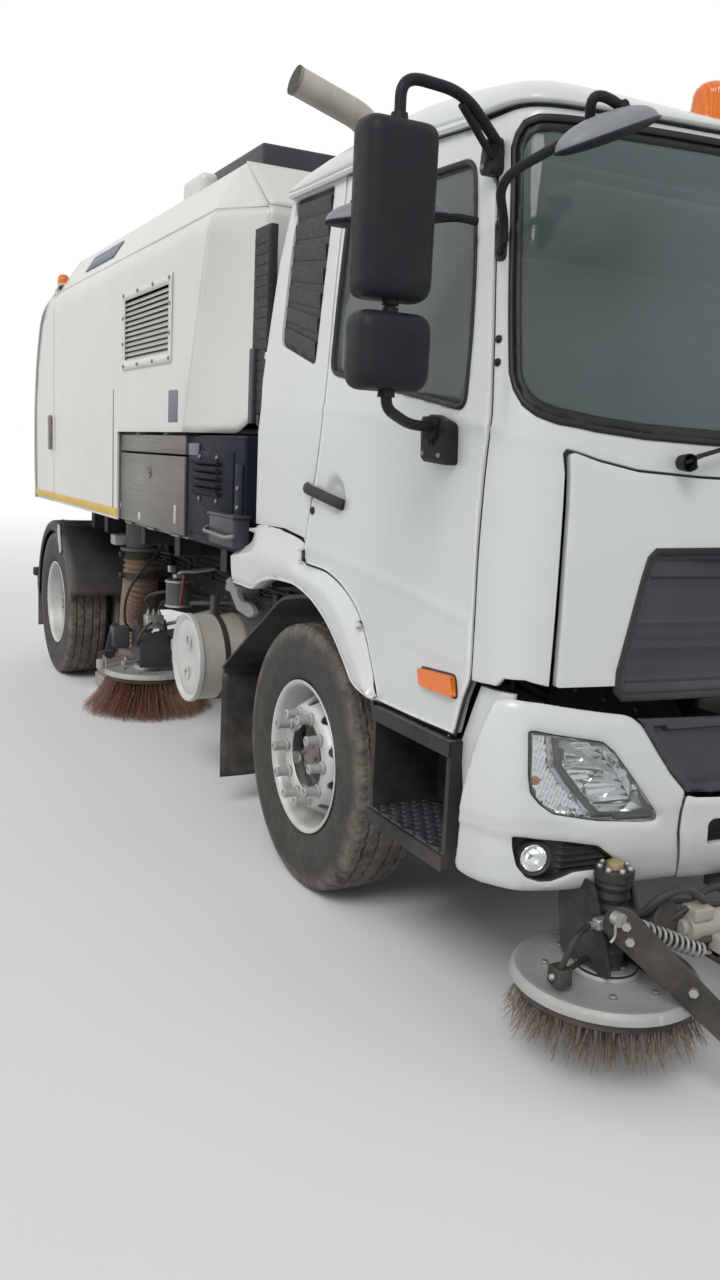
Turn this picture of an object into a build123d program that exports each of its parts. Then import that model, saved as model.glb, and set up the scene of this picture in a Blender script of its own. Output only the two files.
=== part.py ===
from build123d import *
import os
from math import cos, radians, sin

os.makedirs("parts", exist_ok=True)

# Street sweeper on a two-axle cab-over truck.
# Millimetres, Z up. The cab looks along -Y and the truck's right side is -X.
# The origin is on the ground, at the middle of the whole length and width.

# Driving dimensions
WHEELBASE = 4250
FRONT_AXLE_Y = -1550
REAR_AXLE_Y = FRONT_AXLE_Y + WHEELBASE
TYRE_RADIUS = 520
TYRE_WIDTH = 280
BEAD_RADIUS = 288
FRONT_TRACK = 2030
REAR_TRACK = 1840
DUAL_SPACING = 316
KING_PIN_SETBACK = 175
KING_PIN_X = FRONT_TRACK / 2 - KING_PIN_SETBACK
STEER_ARM = 230
STUD_COUNT = 10
STUD_CIRCLE = 335
AXLE_Z = 520
REAR_OVERHANG = 450

RAIL_OUT = 430
RAIL_FLANGE = 80
RAIL_WEB = 8
RAIL_Z = (700, 950)
SUBFRAME_TOP = 1100
DECK_Z = 1244
RUNNING_GAP = 6
DOOR_GAP = 8
PIN_PLAY = 0.3

CAB_HALF = 1200
CAB_WALL = 40
CAB_FLOOR_Z = 1200
CAB_BACK = 390
CAB_PIVOT = (-1370, 800)

HULL_HALF = 1230
HULL_WALL = 40
HULL_FRONT = 730
HULL_SEAM = WHEELBASE - 100
HULL_TIP_PIN = (WHEELBASE + 200, 1150)

FA = FRONT_AXLE_Y
SIDES = (-1, 1)


def block(x, y, z, mode=Mode.ADD):
    """A box between its limits along X, Y and Z."""
    with Locations(((x[0] + x[1]) / 2, (y[0] + y[1]) / 2, (z[0] + z[1]) / 2)):
        Box(abs(x[1] - x[0]), abs(y[1] - y[0]), abs(z[1] - z[0]), mode=mode)


def rod(start, end, radius, mode=Mode.ADD):
    """A round bar from one point to another."""
    run = Vector(*end) - Vector(*start)
    with Locations(Plane(origin=start, z_dir=run).location):
        Cylinder(radius, run.length, align=(Align.CENTER, Align.CENTER, Align.MIN), mode=mode)


def pipe(points, bend, radius, bore=0):
    """A round tube along straight runs joined by tangent arcs."""
    with BuildPart() as tube:
        with BuildLine() as route:
            FilletPolyline(*points, radius=bend)
        with BuildSketch(Plane(origin=route.line @ 0, z_dir=route.line % 0)):
            Circle(radius)
            if bore:
                Circle(bore, mode=Mode.SUBTRACT)
        sweep(path=route.line)
    return tube.part


def side_slab(outline, x):
    """A flat piece seen from the side: (y, z) corners, between two X planes."""
    with BuildPart() as slab:
        with BuildSketch(Plane.YZ.offset(min(x))):
            with BuildLine():
                Polyline(*outline, close=True)
            make_face()
        extrude(amount=abs(x[1] - x[0]))
    return slab.part


def from_axle(outline):
    """Side-view corners given from the front axle's centre line."""
    return [(FA + y, z) for y, z in outline]


# Chassis ladder: two channel rails with cross members, the front beam that carries
# the bumper, the rear underrun bar and the spring brackets.
FRAME_FRONT = FA - 1400
TOW_BORE = 41
TOW_OUT = 55
TOW_Z = 795
FRAME_REAR = REAR_AXLE_Y + REAR_OVERHANG
CROSS_MEMBERS = (
    -1300, -840, 1240, 1800, WHEELBASE - 1750, WHEELBASE - 750, WHEELBASE + REAR_OVERHANG - 40,
)
DROP_ARM = (
    (-200, 720), (0, 720), (200, 530), (280, 530), (280, 620), (200, 690), (0, 880), (-200, 880),
)
SPRING_SEATS = (
    # axle y, middle x, half length
    (FRONT_AXLE_Y, 390, 700),
    (REAR_AXLE_Y, 500, 650),
)

with BuildPart() as chassis_frame:
    with BuildSketch(Plane.XZ.offset(-FRAME_REAR)):
        with BuildLine():
            Polyline(
                (RAIL_OUT, RAIL_Z[0]),
                (RAIL_OUT, RAIL_Z[1]),
                (RAIL_OUT - RAIL_FLANGE, RAIL_Z[1]),
                (RAIL_OUT - RAIL_FLANGE, RAIL_Z[1] - RAIL_WEB),
                (RAIL_OUT - RAIL_WEB, RAIL_Z[1] - RAIL_WEB),
                (RAIL_OUT - RAIL_WEB, RAIL_Z[0] + RAIL_WEB),
                (RAIL_OUT - RAIL_FLANGE, RAIL_Z[0] + RAIL_WEB),
                (RAIL_OUT - RAIL_FLANGE, RAIL_Z[0]),
                close=True,
            )
        make_face()
    extrude(amount=FRAME_REAR - FRAME_FRONT)
    mirror(about=Plane.YZ)
    inner = RAIL_OUT - RAIL_WEB
    for y in CROSS_MEMBERS:
        block((-inner, inner), (FA + y - 35, FA + y + 35), (RAIL_Z[0] + 20, RAIL_Z[1] - 60))
    # front beam behind the bumper, with the pivot pins that the cab tilts about
    block((-760, 760), (FRAME_FRONT + 20, FRAME_FRONT + 80), (620, RAIL_Z[0]))
    for side in SIDES:
        pivot = (FA + CAB_PIVOT[0], CAB_PIVOT[1])
        rod((side * inner, *pivot), (side * 520, *pivot), 20)
    # towing plate with its pin bore on the last cross member
    block((-70, 70), (FRAME_REAR - 10, FRAME_REAR + 100), (TOW_Z - 15, TOW_Z + 15))
    with Locations((0, FRAME_REAR + TOW_OUT, TOW_Z)):
        Cylinder(TOW_BORE / 2, 60, mode=Mode.SUBTRACT)
    # rear underrun bar on two drop arms
    block((-1180, 1180), (FRAME_REAR + 200, FRAME_REAR + 280), (530, 620))
    for side in SIDES:
        block((side * 380, side * RAIL_OUT), (FRAME_REAR - 120, FRAME_REAR), (710, 880))
        add(side_slab([(FRAME_REAR + y, z) for y, z in DROP_ARM], (side * 425, side * 445)))
    # spring brackets
    for axle_y, mid, half in SPRING_SEATS:
        for side in SIDES:
            for end in (-1, 1):
                low = 640 if axle_y == FRONT_AXLE_Y else 660
                block(
                    (side * (mid - 40), side * (mid + 40)),
                    (axle_y + end * (half - 90), axle_y + end * half),
                    (low, RAIL_Z[0] + 60 if mid > RAIL_OUT else RAIL_Z[0]),
                )
                if mid > RAIL_OUT:
                    block(
                        (side * RAIL_OUT, side * mid),
                        (axle_y + end * (half - 90), axle_y + end * half),
                        (RAIL_Z[0] + 20, RAIL_Z[0] + 60),
                    )

# Leaf springs: bowed packs under the brackets, clamped on the axle beams.
with BuildPart() as leaf_springs:
    for axle_y, mid, half in SPRING_SEATS:
        bed = 475 if axle_y == FRONT_AXLE_Y else 596
        tip = 640 if axle_y == FRONT_AXLE_Y else 660
        with BuildSketch(Plane.YZ.offset(mid - 38)):
            with BuildLine():
                low = Polyline((axle_y - 60, bed), (axle_y + 60, bed))
                rise = Line(low @ 1, (axle_y + half - 20, tip - 26))
                Line(rise @ 1, (axle_y + half - 20, tip))
                Polyline(
                    (axle_y + half - 20, tip),
                    (axle_y + half - 90, tip),
                    (axle_y + 90, bed + 62),
                    (axle_y - 90, bed + 62),
                    (axle_y - half + 90, tip),
                    (axle_y - half + 20, tip),
                    (axle_y - half + 20, tip - 26),
                    low @ 0,
                )
            make_face()
        extrude(amount=76)
    mirror(about=Plane.YZ)

# Steered front axle: a dropped beam with an eye for each king pin.
BEAM_OUTLINE = (
    # x, low z, high z
    (0, 385, 475),
    (KING_PIN_X - 230, 385, 475),
    (KING_PIN_X - 90, 465, 560),
    (KING_PIN_X, 465, 575),
)
with BuildPart() as front_axle:
    with BuildSketch(Plane.XZ.offset(-FA - 45)):
        with BuildLine():
            Polyline(
                *[(x, low) for x, low, high in BEAM_OUTLINE],
                *[(x, high) for x, low, high in reversed(BEAM_OUTLINE)],
                close=True,
            )
        make_face()
        mirror(about=Plane.YZ)
    extrude(amount=90)
    for side in SIDES:
        with Locations((side * KING_PIN_X, FA, 520)):
            Cylinder(45, 110)
            Cylinder(22, 200, mode=Mode.SUBTRACT)


def knuckle(side):
    """Stub axle that turns on the king pin, with its steering arm."""
    pin = side * KING_PIN_X
    with BuildPart() as body:
        with Locations((pin, FA, 422)):
            Cylinder(45, 76)
        with Locations((pin, FA, 610)):
            Cylinder(45, 56)
        with Locations((pin, FA, 520)):
            Cylinder(22 - PIN_PLAY, 220)
        block((pin, pin + side * 75), (FA - 45, FA + 45), (384, 459))
        block((pin, pin + side * 75), (FA - 45, FA + 45), (582, 638))
        block((pin + side * 50, pin + side * 75), (FA - 60, FA + 60), (384, 638))
        rod((pin + side * 60, FA, AXLE_Z), (side * (FRONT_TRACK / 2 + 75), FA, AXLE_Z), 40)
        # steering arm, straight back from the king pin
        block((pin - 22, pin + 22), (FA + 30, FA + STEER_ARM), (386, 408))
        with Locations((pin, FA + STEER_ARM, 397)):
            Cylinder(22, 22)
        with Locations((pin, FA + STEER_ARM, 425)):
            Cylinder(11, 50)
    return body.part


with BuildPart() as knuckle_left:
    add(knuckle(1))
with BuildPart() as knuckle_right:
    add(knuckle(-1))

with BuildPart() as tie_rod:
    rod((-KING_PIN_X, FA + STEER_ARM, 432), (KING_PIN_X, FA + STEER_ARM, 432), 16)
    for side in SIDES:
        with Locations((side * KING_PIN_X, FA + STEER_ARM, 428)):
            Cylinder(26, 36)
    for side in SIDES:
        with Locations((side * KING_PIN_X, FA + STEER_ARM, 428)):
            Cylinder(11 + PIN_PLAY, 60, mode=Mode.SUBTRACT)

# Driven rear axle: tube and banjo casing, with the propeller shaft to the gearbox.
with BuildPart() as rear_axle:
    rod((-640, REAR_AXLE_Y, AXLE_Z), (640, REAR_AXLE_Y, AXLE_Z), 76)
    rod((-900, REAR_AXLE_Y, AXLE_Z), (900, REAR_AXLE_Y, AXLE_Z), 55)
    with Locations((0, REAR_AXLE_Y, AXLE_Z)):
        Sphere(185)
    rod((0, REAR_AXLE_Y - 300, AXLE_Z), (0, REAR_AXLE_Y, AXLE_Z), 95)
    rod((0, FA + 1154, 650), (0, REAR_AXLE_Y - 280, AXLE_Z), 45)


def tyre(width, mids):
    """Tyres of one wheel body, each revolved about the axle: x positions from the first."""
    half = width / 2
    with BuildPart() as ring:
        for mid in mids:
            with BuildSketch(Plane.XZ):
                with BuildLine():
                    Polyline(
                        (mid - half + 30, BEAD_RADIUS),
                        (mid - half, BEAD_RADIUS + 75),
                        (mid - half, TYRE_RADIUS - 70),
                        (mid - half + 22, TYRE_RADIUS - 14),
                        (mid - half + 50, TYRE_RADIUS),
                        (mid + half - 50, TYRE_RADIUS),
                        (mid + half - 22, TYRE_RADIUS - 14),
                        (mid + half, TYRE_RADIUS - 70),
                        (mid + half, BEAD_RADIUS + 75),
                        (mid + half - 30, BEAD_RADIUS),
                        close=True,
                    )
                make_face()
            revolve(axis=Axis.X)
    return ring.part


def barrel(mid, rim_half=112):
    """Closed (x, r) corners of one rim barrel, flanges outside the tyre's beads."""
    return (
        (mid - rim_half, BEAD_RADIUS),
        (mid + rim_half, BEAD_RADIUS),
        (mid + rim_half, BEAD_RADIUS - 10),
        (mid + rim_half - 45, BEAD_RADIUS - 14),
        (mid - rim_half + 45, BEAD_RADIUS - 14),
        (mid - rim_half, BEAD_RADIUS - 10),
    )


def front_wheel(side):
    """Steel wheel with a bulged disc, ten nut sleeves and the hub."""
    outer = FRONT_TRACK / 2
    with BuildPart() as wheel:
        with BuildSketch(Plane.XZ):
            with BuildLine():
                Polyline(*barrel(outer), close=True)
            make_face()
            # disc from the barrel's outer end, bulged outward, to the hub flange
            with BuildLine():
                Polyline(
                    (outer + 60, BEAD_RADIUS - 12),
                    (outer + 96, 225),
                    (outer + 110, 205),
                    (outer + 110, 90),
                    (outer + 92, 90),
                    (outer + 92, 200),
                    (outer + 80, 215),
                    (outer + 46, BEAD_RADIUS - 13),
                    close=True,
                )
            make_face()
            # hub barrel over the stub axle
            with BuildLine():
                Polyline(
                    (outer + 92, 95),
                    (outer + 92, 150),
                    (outer + 78, 150),
                    (outer + 70, 100),
                    (outer - 40, 90),
                    (outer - 40, 40 + PIN_PLAY),
                    (outer + 92, 40 + PIN_PLAY),
                    close=True,
                )
            make_face()
        revolve(axis=Axis.X)
        for turn in range(STUD_COUNT):
            a = radians(turn * 360 / STUD_COUNT)
            y, z = STUD_CIRCLE / 2 * sin(a), STUD_CIRCLE / 2 * cos(a)
            rod((outer + 105, y, z), (outer + 172, y, z), 17)
            b = radians((turn + 0.5) * 360 / STUD_COUNT)
            hole = (245 * sin(b), 245 * cos(b))
            rod((outer + 20, *hole), (outer + 150, *hole), 22, mode=Mode.SUBTRACT)
        if side < 0:
            mirror(about=Plane.YZ, mode=Mode.REPLACE)
    return wheel.part


def rear_wheel(side):
    """Dual steel wheels bolted disc to disc on one hub."""
    mid = REAR_TRACK / 2
    inner, outer = mid - DUAL_SPACING / 2, mid + DUAL_SPACING / 2
    with BuildPart() as wheel:
        with BuildSketch(Plane.XZ):
            for rim in (inner, outer):
                with BuildLine():
                    Polyline(*barrel(rim), close=True)
                make_face()
            with BuildLine():
                Polyline(
                    (outer - 46, BEAD_RADIUS - 13),
                    (outer - 60, BEAD_RADIUS - 12),
                    (outer - 100, 225),
                    (mid, 215),
                    (mid, 110),
                    (mid + 14, 110),
                    (mid + 14, 205),
                    (outer - 86, 215),
                    close=True,
                )
            make_face()
            with BuildLine():
                Polyline(
                    (inner + 46, BEAD_RADIUS - 13),
                    (inner + 60, BEAD_RADIUS - 12),
                    (inner + 100, 225),
                    (mid, 215),
                    (mid, 110),
                    (mid - 14, 110),
                    (mid - 14, 205),
                    (inner + 86, 215),
                    close=True,
                )
            make_face()
            # hub and brake drum
            with BuildLine():
                Polyline(
                    (mid - 14, 150),
                    (mid - 14, 200),
                    (mid - 170, 200),
                    (mid - 170, 186),
                    (mid - 40, 186),
                    (mid - 60, 100),
                    (mid - 150, 100),
                    (mid - 150, 55 + PIN_PLAY),
                    (mid + 10, 55 + PIN_PLAY),
                    (mid + 10, 0),
                    (mid + 120, 0),
                    (mid + 120, 90),
                    (mid + 100, 112),
                    (mid - 14, 118),
                    close=True,
                )
            make_face()
        revolve(axis=Axis.X)
        for turn in range(STUD_COUNT):
            a = radians(turn * 360 / STUD_COUNT)
            y, z = STUD_CIRCLE / 2 * sin(a), STUD_CIRCLE / 2 * cos(a)
            rod((mid + 10, y, z), (mid + 60, y, z), 16)
        if side < 0:
            mirror(about=Plane.YZ, mode=Mode.REPLACE)
    return wheel.part


front_tyre_form = tyre(TYRE_WIDTH, (FRONT_TRACK / 2,))
rear_tyre_form = tyre(
    TYRE_WIDTH, (REAR_TRACK / 2 - DUAL_SPACING / 2, REAR_TRACK / 2 + DUAL_SPACING / 2)
)
front_hub = Location((0, FRONT_AXLE_Y, AXLE_Z))
rear_hub = Location((0, REAR_AXLE_Y, AXLE_Z))

with BuildPart() as front_tyre_left:
    with Locations(front_hub):
        add(front_tyre_form)
with BuildPart() as front_tyre_right:
    with Locations(front_hub):
        add(front_tyre_form.mirror(Plane.YZ))
with BuildPart() as front_wheel_left:
    with Locations(front_hub):
        add(front_wheel(1))
with BuildPart() as front_wheel_right:
    with Locations(front_hub):
        add(front_wheel(-1))
with BuildPart() as rear_tyres_left:
    with Locations(rear_hub):
        add(rear_tyre_form)
with BuildPart() as rear_tyres_right:
    with Locations(rear_hub):
        add(rear_tyre_form.mirror(Plane.YZ))
with BuildPart() as rear_wheels_left:
    with Locations(rear_hub):
        add(rear_wheel(1))
with BuildPart() as rear_wheels_right:
    with Locations(rear_hub):
        add(rear_wheel(-1))

# Front bumper: one bowed moulding round both corners, open behind, with pockets for
# the headlamps and fog lamps and a wide lower grille opening.
BUMPER_Z = (505, 1080)


def front_bow(depth, half, sketch_z):
    """Plan outline of the cab front: bowed face and rounded corners, closed at the back."""
    with BuildSketch(Plane.XY.offset(sketch_z)) as plan:
        with BuildLine():
            face = ThreePointArc(
                (-half + 130, FA - 1400 + depth),
                (0, FA - 1500 + depth),
                (half - 130, FA - 1400 + depth),
            )
            left = ThreePointArc(
                face @ 1,
                (half - 30, FA - 1330 + depth * 0.6),
                (half, FA - 1180),
            )
            Line(left @ 1, (-half, FA - 1180))
            ThreePointArc(
                (-half, FA - 1180),
                (-half + 30, FA - 1330 + depth * 0.6),
                face @ 0,
            )
        make_face()
    return plan.sketch


# The bumper seen from the side (y from the axle, z) and from the front (x, z).
BUMPER_SIDE = (
    (-1600, 500), (-1600, 1100), (-1386, 1100), (-1386, 1071), (-1345, 1023), (-1310, 951),
    (-1287, 889), (-1261, 810), (-1233, 700), (-1224, 593), (-1219, 500),
)
BUMPER_FRONT = (
    (1250, 500), (1250, 1082), (1100, 1062), (825, 992), (740, 915), (605, 770),
    (-605, 770), (-740, 915), (-825, 992), (-1100, 1062), (-1250, 1082), (-1250, 500),
)
LAMP_OUTLINE = ((1150, 990), (1120, 800), (890, 710), (680, 690), (890, 940))
FOG_OUTLINE = ((1190, 700), (1170, 600), (1080, 570), (960, 600), (810, 620), (900, 690))


def face_slab(outline, y):
    """A flat piece seen from the front: (x, z) corners, between two Y planes."""
    with BuildPart() as slab:
        with BuildSketch(Plane.XZ.offset(-max(y))):
            with BuildLine():
                Polyline(*outline, close=True)
            make_face()
        extrude(amount=abs(y[1] - y[0]))
    return slab.part


def mirrored(outline):
    """The same outline on the truck's other side."""
    return [(-x, z) for x, z in outline]



def bow_shell(depth, half, z):
    """The bowed front outline raised between two heights."""
    plan = front_bow(depth, half, z[0])
    with BuildPart() as body:
        add(plan)
        extrude(amount=z[1] - z[0])
    return body.part


bumper_core = bow_shell(60, 1175, BUMPER_Z)
bumper_cuts = [
    face_slab(corners, (FA - 1600, FA - 1290))
    for outline in (LAMP_OUTLINE, FOG_OUTLINE)
    for corners in (outline, mirrored(outline))
]
with BuildPart() as front_bumper:
    add(bow_shell(0, 1235, BUMPER_Z))
    add(bumper_core, mode=Mode.SUBTRACT)
    for cut in bumper_cuts:
        add(cut, mode=Mode.SUBTRACT)
    add(side_slab(from_axle(BUMPER_SIDE), (-1300, 1300)), mode=Mode.INTERSECT)
    add(face_slab(BUMPER_FRONT, (FA - 1600, FA - 1100)), mode=Mode.INTERSECT)
    # brackets to the frame's front beam
    for side in SIDES:
        block((side * 600, side * 700), (FA - 1445, FA - 1380), (640, 690))

# Headlamps and fog lamps fill the pockets, set back behind the bumper's face.
lamp_band = bow_shell(12, 1223, BUMPER_Z)
lamp_core = bow_shell(58, 1177, BUMPER_Z)
with BuildPart() as front_lamps:
    add(lamp_band)
    add(lamp_core, mode=Mode.SUBTRACT)
    add(bumper_cuts[0] + bumper_cuts[1] + bumper_cuts[2] + bumper_cuts[3], mode=Mode.INTERSECT)

# Step wells: a box with two treads under each door.
STEP_FRONT = -1160
with BuildPart() as step_wells:
    for side in SIDES:
        block((side * 900, side * 1205), (FA + STEP_FRONT, FA - 690), (505, 888))
        block((side * 960, side * 1215), (FA - 1140, FA - 710), (545, 850), mode=Mode.SUBTRACT)
        block((side * RAIL_OUT, side * 900), (FA - 980, FA - 900), (720, 800))

# Filler plates close the gap from the step wells to the bumper, below the doors' front edges.
FILLER = ((STEP_FRONT, 700), (STEP_FRONT, 885), (-1200, 1060), (-1284, 1060), (-1280, 890), (-1240, 700))
with BuildPart() as step_fillers:
    for side in SIDES:
        add(side_slab(from_axle(FILLER), (side * 1126, side * 1148)))

# Truck engine, radiator and gearbox, each one plain block between the rails.
with BuildPart() as engine_blocks:
    block((-300, 300), (FA - 780, FA + 480), (570, 1150))
    for side in SIDES:
        block((side * 300, side * (RAIL_OUT - RAIL_WEB)), (FA - 200, FA - 80), (760, 840))
    block((-350, 350), (FA - 1230, FA - 1120), (660, 1130))
    block((-180, 180), (FA + 480, FA + 1150), (560, 900))

# Sub-frame on the rails, with cross bearers that carry the sweeper body, and the
# hinge lugs and pins at the rear that the body tips about.
REST_BEARERS = (WHEELBASE - 1690, WHEELBASE - 820)
BEARERS = (620, 1180, 1900, *REST_BEARERS, WHEELBASE - 460)
with BuildPart() as sub_frame:
    for side in SIDES:
        block((side * 350, side * RAIL_OUT), (FA + 540, REAR_AXLE_Y + 250), (RAIL_Z[1], SUBFRAME_TOP))
    for y in BEARERS:
        block((-1040, 1040), (FA + y - 35, FA + y + 35), (SUBFRAME_TOP, DECK_Z))
    pin_y, pin_z = FA + HULL_TIP_PIN[0], HULL_TIP_PIN[1]
    for side in SIDES:
        block((side * 380, side * 420), (pin_y - 50, pin_y + 50), (SUBFRAME_TOP - 40, pin_z + 45))
        rod((side * 380, pin_y, pin_z), (side * 480, pin_y, pin_z), 25)
    # rest pads under the body's floor
    for side in SIDES:
        for y in REST_BEARERS:
            block((side * 600, side * 700), (FA + y - 30, FA + y + 30), (DECK_Z, DECK_Z + 5.7))

# Service housing with the sweeper's own engine, closed, right across behind the cab.
HOUSING_Y = (530, 1262)
with BuildPart() as service_housing:
    block((-1195, 1195), (FA + HOUSING_Y[0], FA + HOUSING_Y[1]), (DECK_Z, 1739))

# Tool cabinets, one on each side, open at the outer face where the door drops down.
CABINET_Y = (1264, 2420)
with BuildPart() as tool_cabinets:
    for side in SIDES:
        block((side * 760, side * 1190), (FA + CABINET_Y[0], FA + CABINET_Y[1]), (DECK_Z, 1739))
        block(
            (side * 785, side * 1200),
            (FA + CABINET_Y[0] + 25, FA + CABINET_Y[1] - 25),
            (DECK_Z + 25, 1714),
            mode=Mode.SUBTRACT,
        )
        rod(
            (side * 1202, FA + CABINET_Y[0] + 200, DECK_Z + 8),
            (side * 1202, FA + CABINET_Y[1] - 200, DECK_Z + 8),
            6,
        )
        for y in (CABINET_Y[0] + 200, CABINET_Y[1] - 240):
            block((side * 1180, side * 1204), (FA + y, FA + y + 40), (DECK_Z, DECK_Z + 14))


def cabinet_door(side):
    """Drop-down door, hinged along its lower edge."""
    with BuildPart() as door:
        block(
            (side * 1191, side * 1216),
            (FA + CABINET_Y[0] + 8, FA + CABINET_Y[1] - 8),
            (DECK_Z + 18, 1732),
        )
        for y in (CABINET_Y[0] + 300, CABINET_Y[1] - 400):
            block((side * 1194, side * 1210), (FA + y, FA + y + 100), (DECK_Z, DECK_Z + 20))
        rod(
            (side * 1202, FA + CABINET_Y[0] + 100, DECK_Z + 8),
            (side * 1202, FA + CABINET_Y[1] - 100, DECK_Z + 8),
            6 + PIN_PLAY,
            mode=Mode.SUBTRACT,
        )
    return door.part


with BuildPart() as cabinet_door_left:
    add(cabinet_door(1))
with BuildPart() as cabinet_door_right:
    add(cabinet_door(-1))

# Exhaust stack of the sweeper engine, bent outward at the top.
stack_form = pipe(
    ((-620, FA + 600, 1739), (-620, FA + 600, 3095), (-1000, FA + 600, 3150)), 130, 58, 54
)
with BuildPart() as exhaust_stack:
    add(stack_form)

# Truck's own silencer, a drum across the right side, hung from the rail.
with BuildPart() as silencer_drum:
    rod((-560, FA + 1400, 645), (-1150, FA + 1400, 645), 222)
    block((-RAIL_OUT, -600), (FA + 1360, FA + 1440), (740, 800))

# Fuel tank and air tanks on the left side.
with BuildPart() as tanks:
    block((560, 1150), (FA + 1150, FA + 2050), (430, 950))
    block((RAIL_OUT, 560), (FA + 1300, FA + 1360), (760, 820))
    block((RAIL_OUT, 560), (FA + 1840, FA + 1900), (760, 820))
    rod((640, FA + 2250, 800), (640, FA + 2950, 800), 130)
    block((RAIL_OUT, 540), (FA + 2560, FA + 2620), (780, 840))

# Mudguards: liner and flap behind each front wheel, arched guard over each rear pair.
with BuildPart() as mudguards:
    for side in SIDES:
        liner = FRONT_TRACK / 2 - 255
        with BuildSketch(Plane.YZ.offset(liner if side > 0 else -liner - 370)):
            with BuildLine():
                outer = ThreePointArc(
                    (FA - 560, 820), (FA - 60, 1165), (FA + 500, 985)
                )
                Polyline(outer @ 1, (FA + 960, 700), (FA + 960, 150), (FA + 945, 150), (FA + 945, 690))
                Line((FA + 945, 690), (FA + 490, 970))
                ThreePointArc((FA + 490, 970), (FA - 60, 1150), (FA - 548, 812))
                Line((FA - 548, 812), outer @ 0)
            make_face()
        extrude(amount=370)
        block((side * RAIL_OUT, side * (liner + 5)), (FA + 590, FA + 640), (860, 930))
        # rear guard
        with BuildSketch(Plane.YZ.offset(620 if side > 0 else -1222)):
            with BuildLine():
                top = CenterArc((REAR_AXLE_Y, AXLE_Z), 600, 0, 168)
                Line(top @ 1, top @ 1 + (0, -60))
                Line(top @ 1 + (0, -60), top @ 1 + (12, -60))
                low = CenterArc((REAR_AXLE_Y, AXLE_Z), 588, 0, 168)
                Line(low @ 1, top @ 1 + (12, -60))
                Polyline(low @ 0, low @ 0 + (0, -270), low @ 0 + (12, -270), top @ 0)
            make_face()
        extrude(amount=602)
        block((side * RAIL_OUT, side * 640), (REAR_AXLE_Y - 20, REAR_AXLE_Y + 20), (1050, 1085))
        block((side * 600, side * 640), (REAR_AXLE_Y - 20, REAR_AXLE_Y + 20), (1085, 1112))

# Suction gear behind the side brush: flexible tube down from the body, and its nozzle.
SUCTION_Y = WHEELBASE - 710
TUBE_ROUTE = (
    (-860, SUCTION_Y - 320, DECK_Z - 10), (-860, SUCTION_Y - 320, 800),
    (-800, SUCTION_Y, 520), (-800, SUCTION_Y, 250.3),
)
tube_line = [(x, FA + y, z) for x, y, z in TUBE_ROUTE]
tube_outer = pipe(tube_line, 200, 120)
tube_inner = pipe(tube_line, 200, 108)
with BuildPart() as suction_tube:
    add(tube_outer)
    block((-780, -RAIL_OUT), (FA + SUCTION_Y - 340, FA + SUCTION_Y - 300), (860, 910))
    add(tube_inner, mode=Mode.SUBTRACT)

with BuildPart() as suction_nozzle:
    block((-1050, -480), (FA + SUCTION_Y - 110, FA + SUCTION_Y + 150), (30, 250))
    block((-1020, -510), (FA + SUCTION_Y - 85, FA + SUCTION_Y + 125), (20, 220), mode=Mode.SUBTRACT)
    with Locations((-800, FA + SUCTION_Y, 235)):
        Cylinder(108, 60, mode=Mode.SUBTRACT)
    stay = (FA + SUCTION_Y + 100, FA + SUCTION_Y + 140)
    block((-500, -RAIL_OUT + 30), stay, (150, 190))
    block((-RAIL_OUT - 30, -RAIL_OUT + 30), stay, (190, RAIL_Z[0]))

# Rear lamp bar under the body's overhang.
with BuildPart() as rear_lamps:
    for side in SIDES:
        block((side * 700, side * 1130), (FRAME_REAR + 215, FRAME_REAR + 285), (620, 730))

# Cab
# Horizontal sections of the cab's skin, from the step line to the roof.
CAB_SECTIONS = (
    # z, half width, bowed front at the middle, front where the corner starts, corner x
    (840, 1195, -1500, -1420, 1040),
    (1750, 1198, -1470, -1385, 1030),
    (2480, 1130, -1345, -1255, 980),
    (2790, 1075, -1250, -1160, 930),
)
# Side view of the cab, and its view from the front, that trim the sections.
CAB_SIDE = (
    (-1600, 840),
    (-1600, 2400),
    (-1300, 2560),
    (-1120, 2660),
    (-820, 2735),
    (-500, 2760),
    (CAB_BACK - 80, 2700),
    (CAB_BACK - 60, 2600),
    (CAB_BACK, 1950),
    (CAB_BACK, 1405),
    (CAB_BACK - 70, 1200),
    (CAB_BACK - 70, 840),
)


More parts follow.
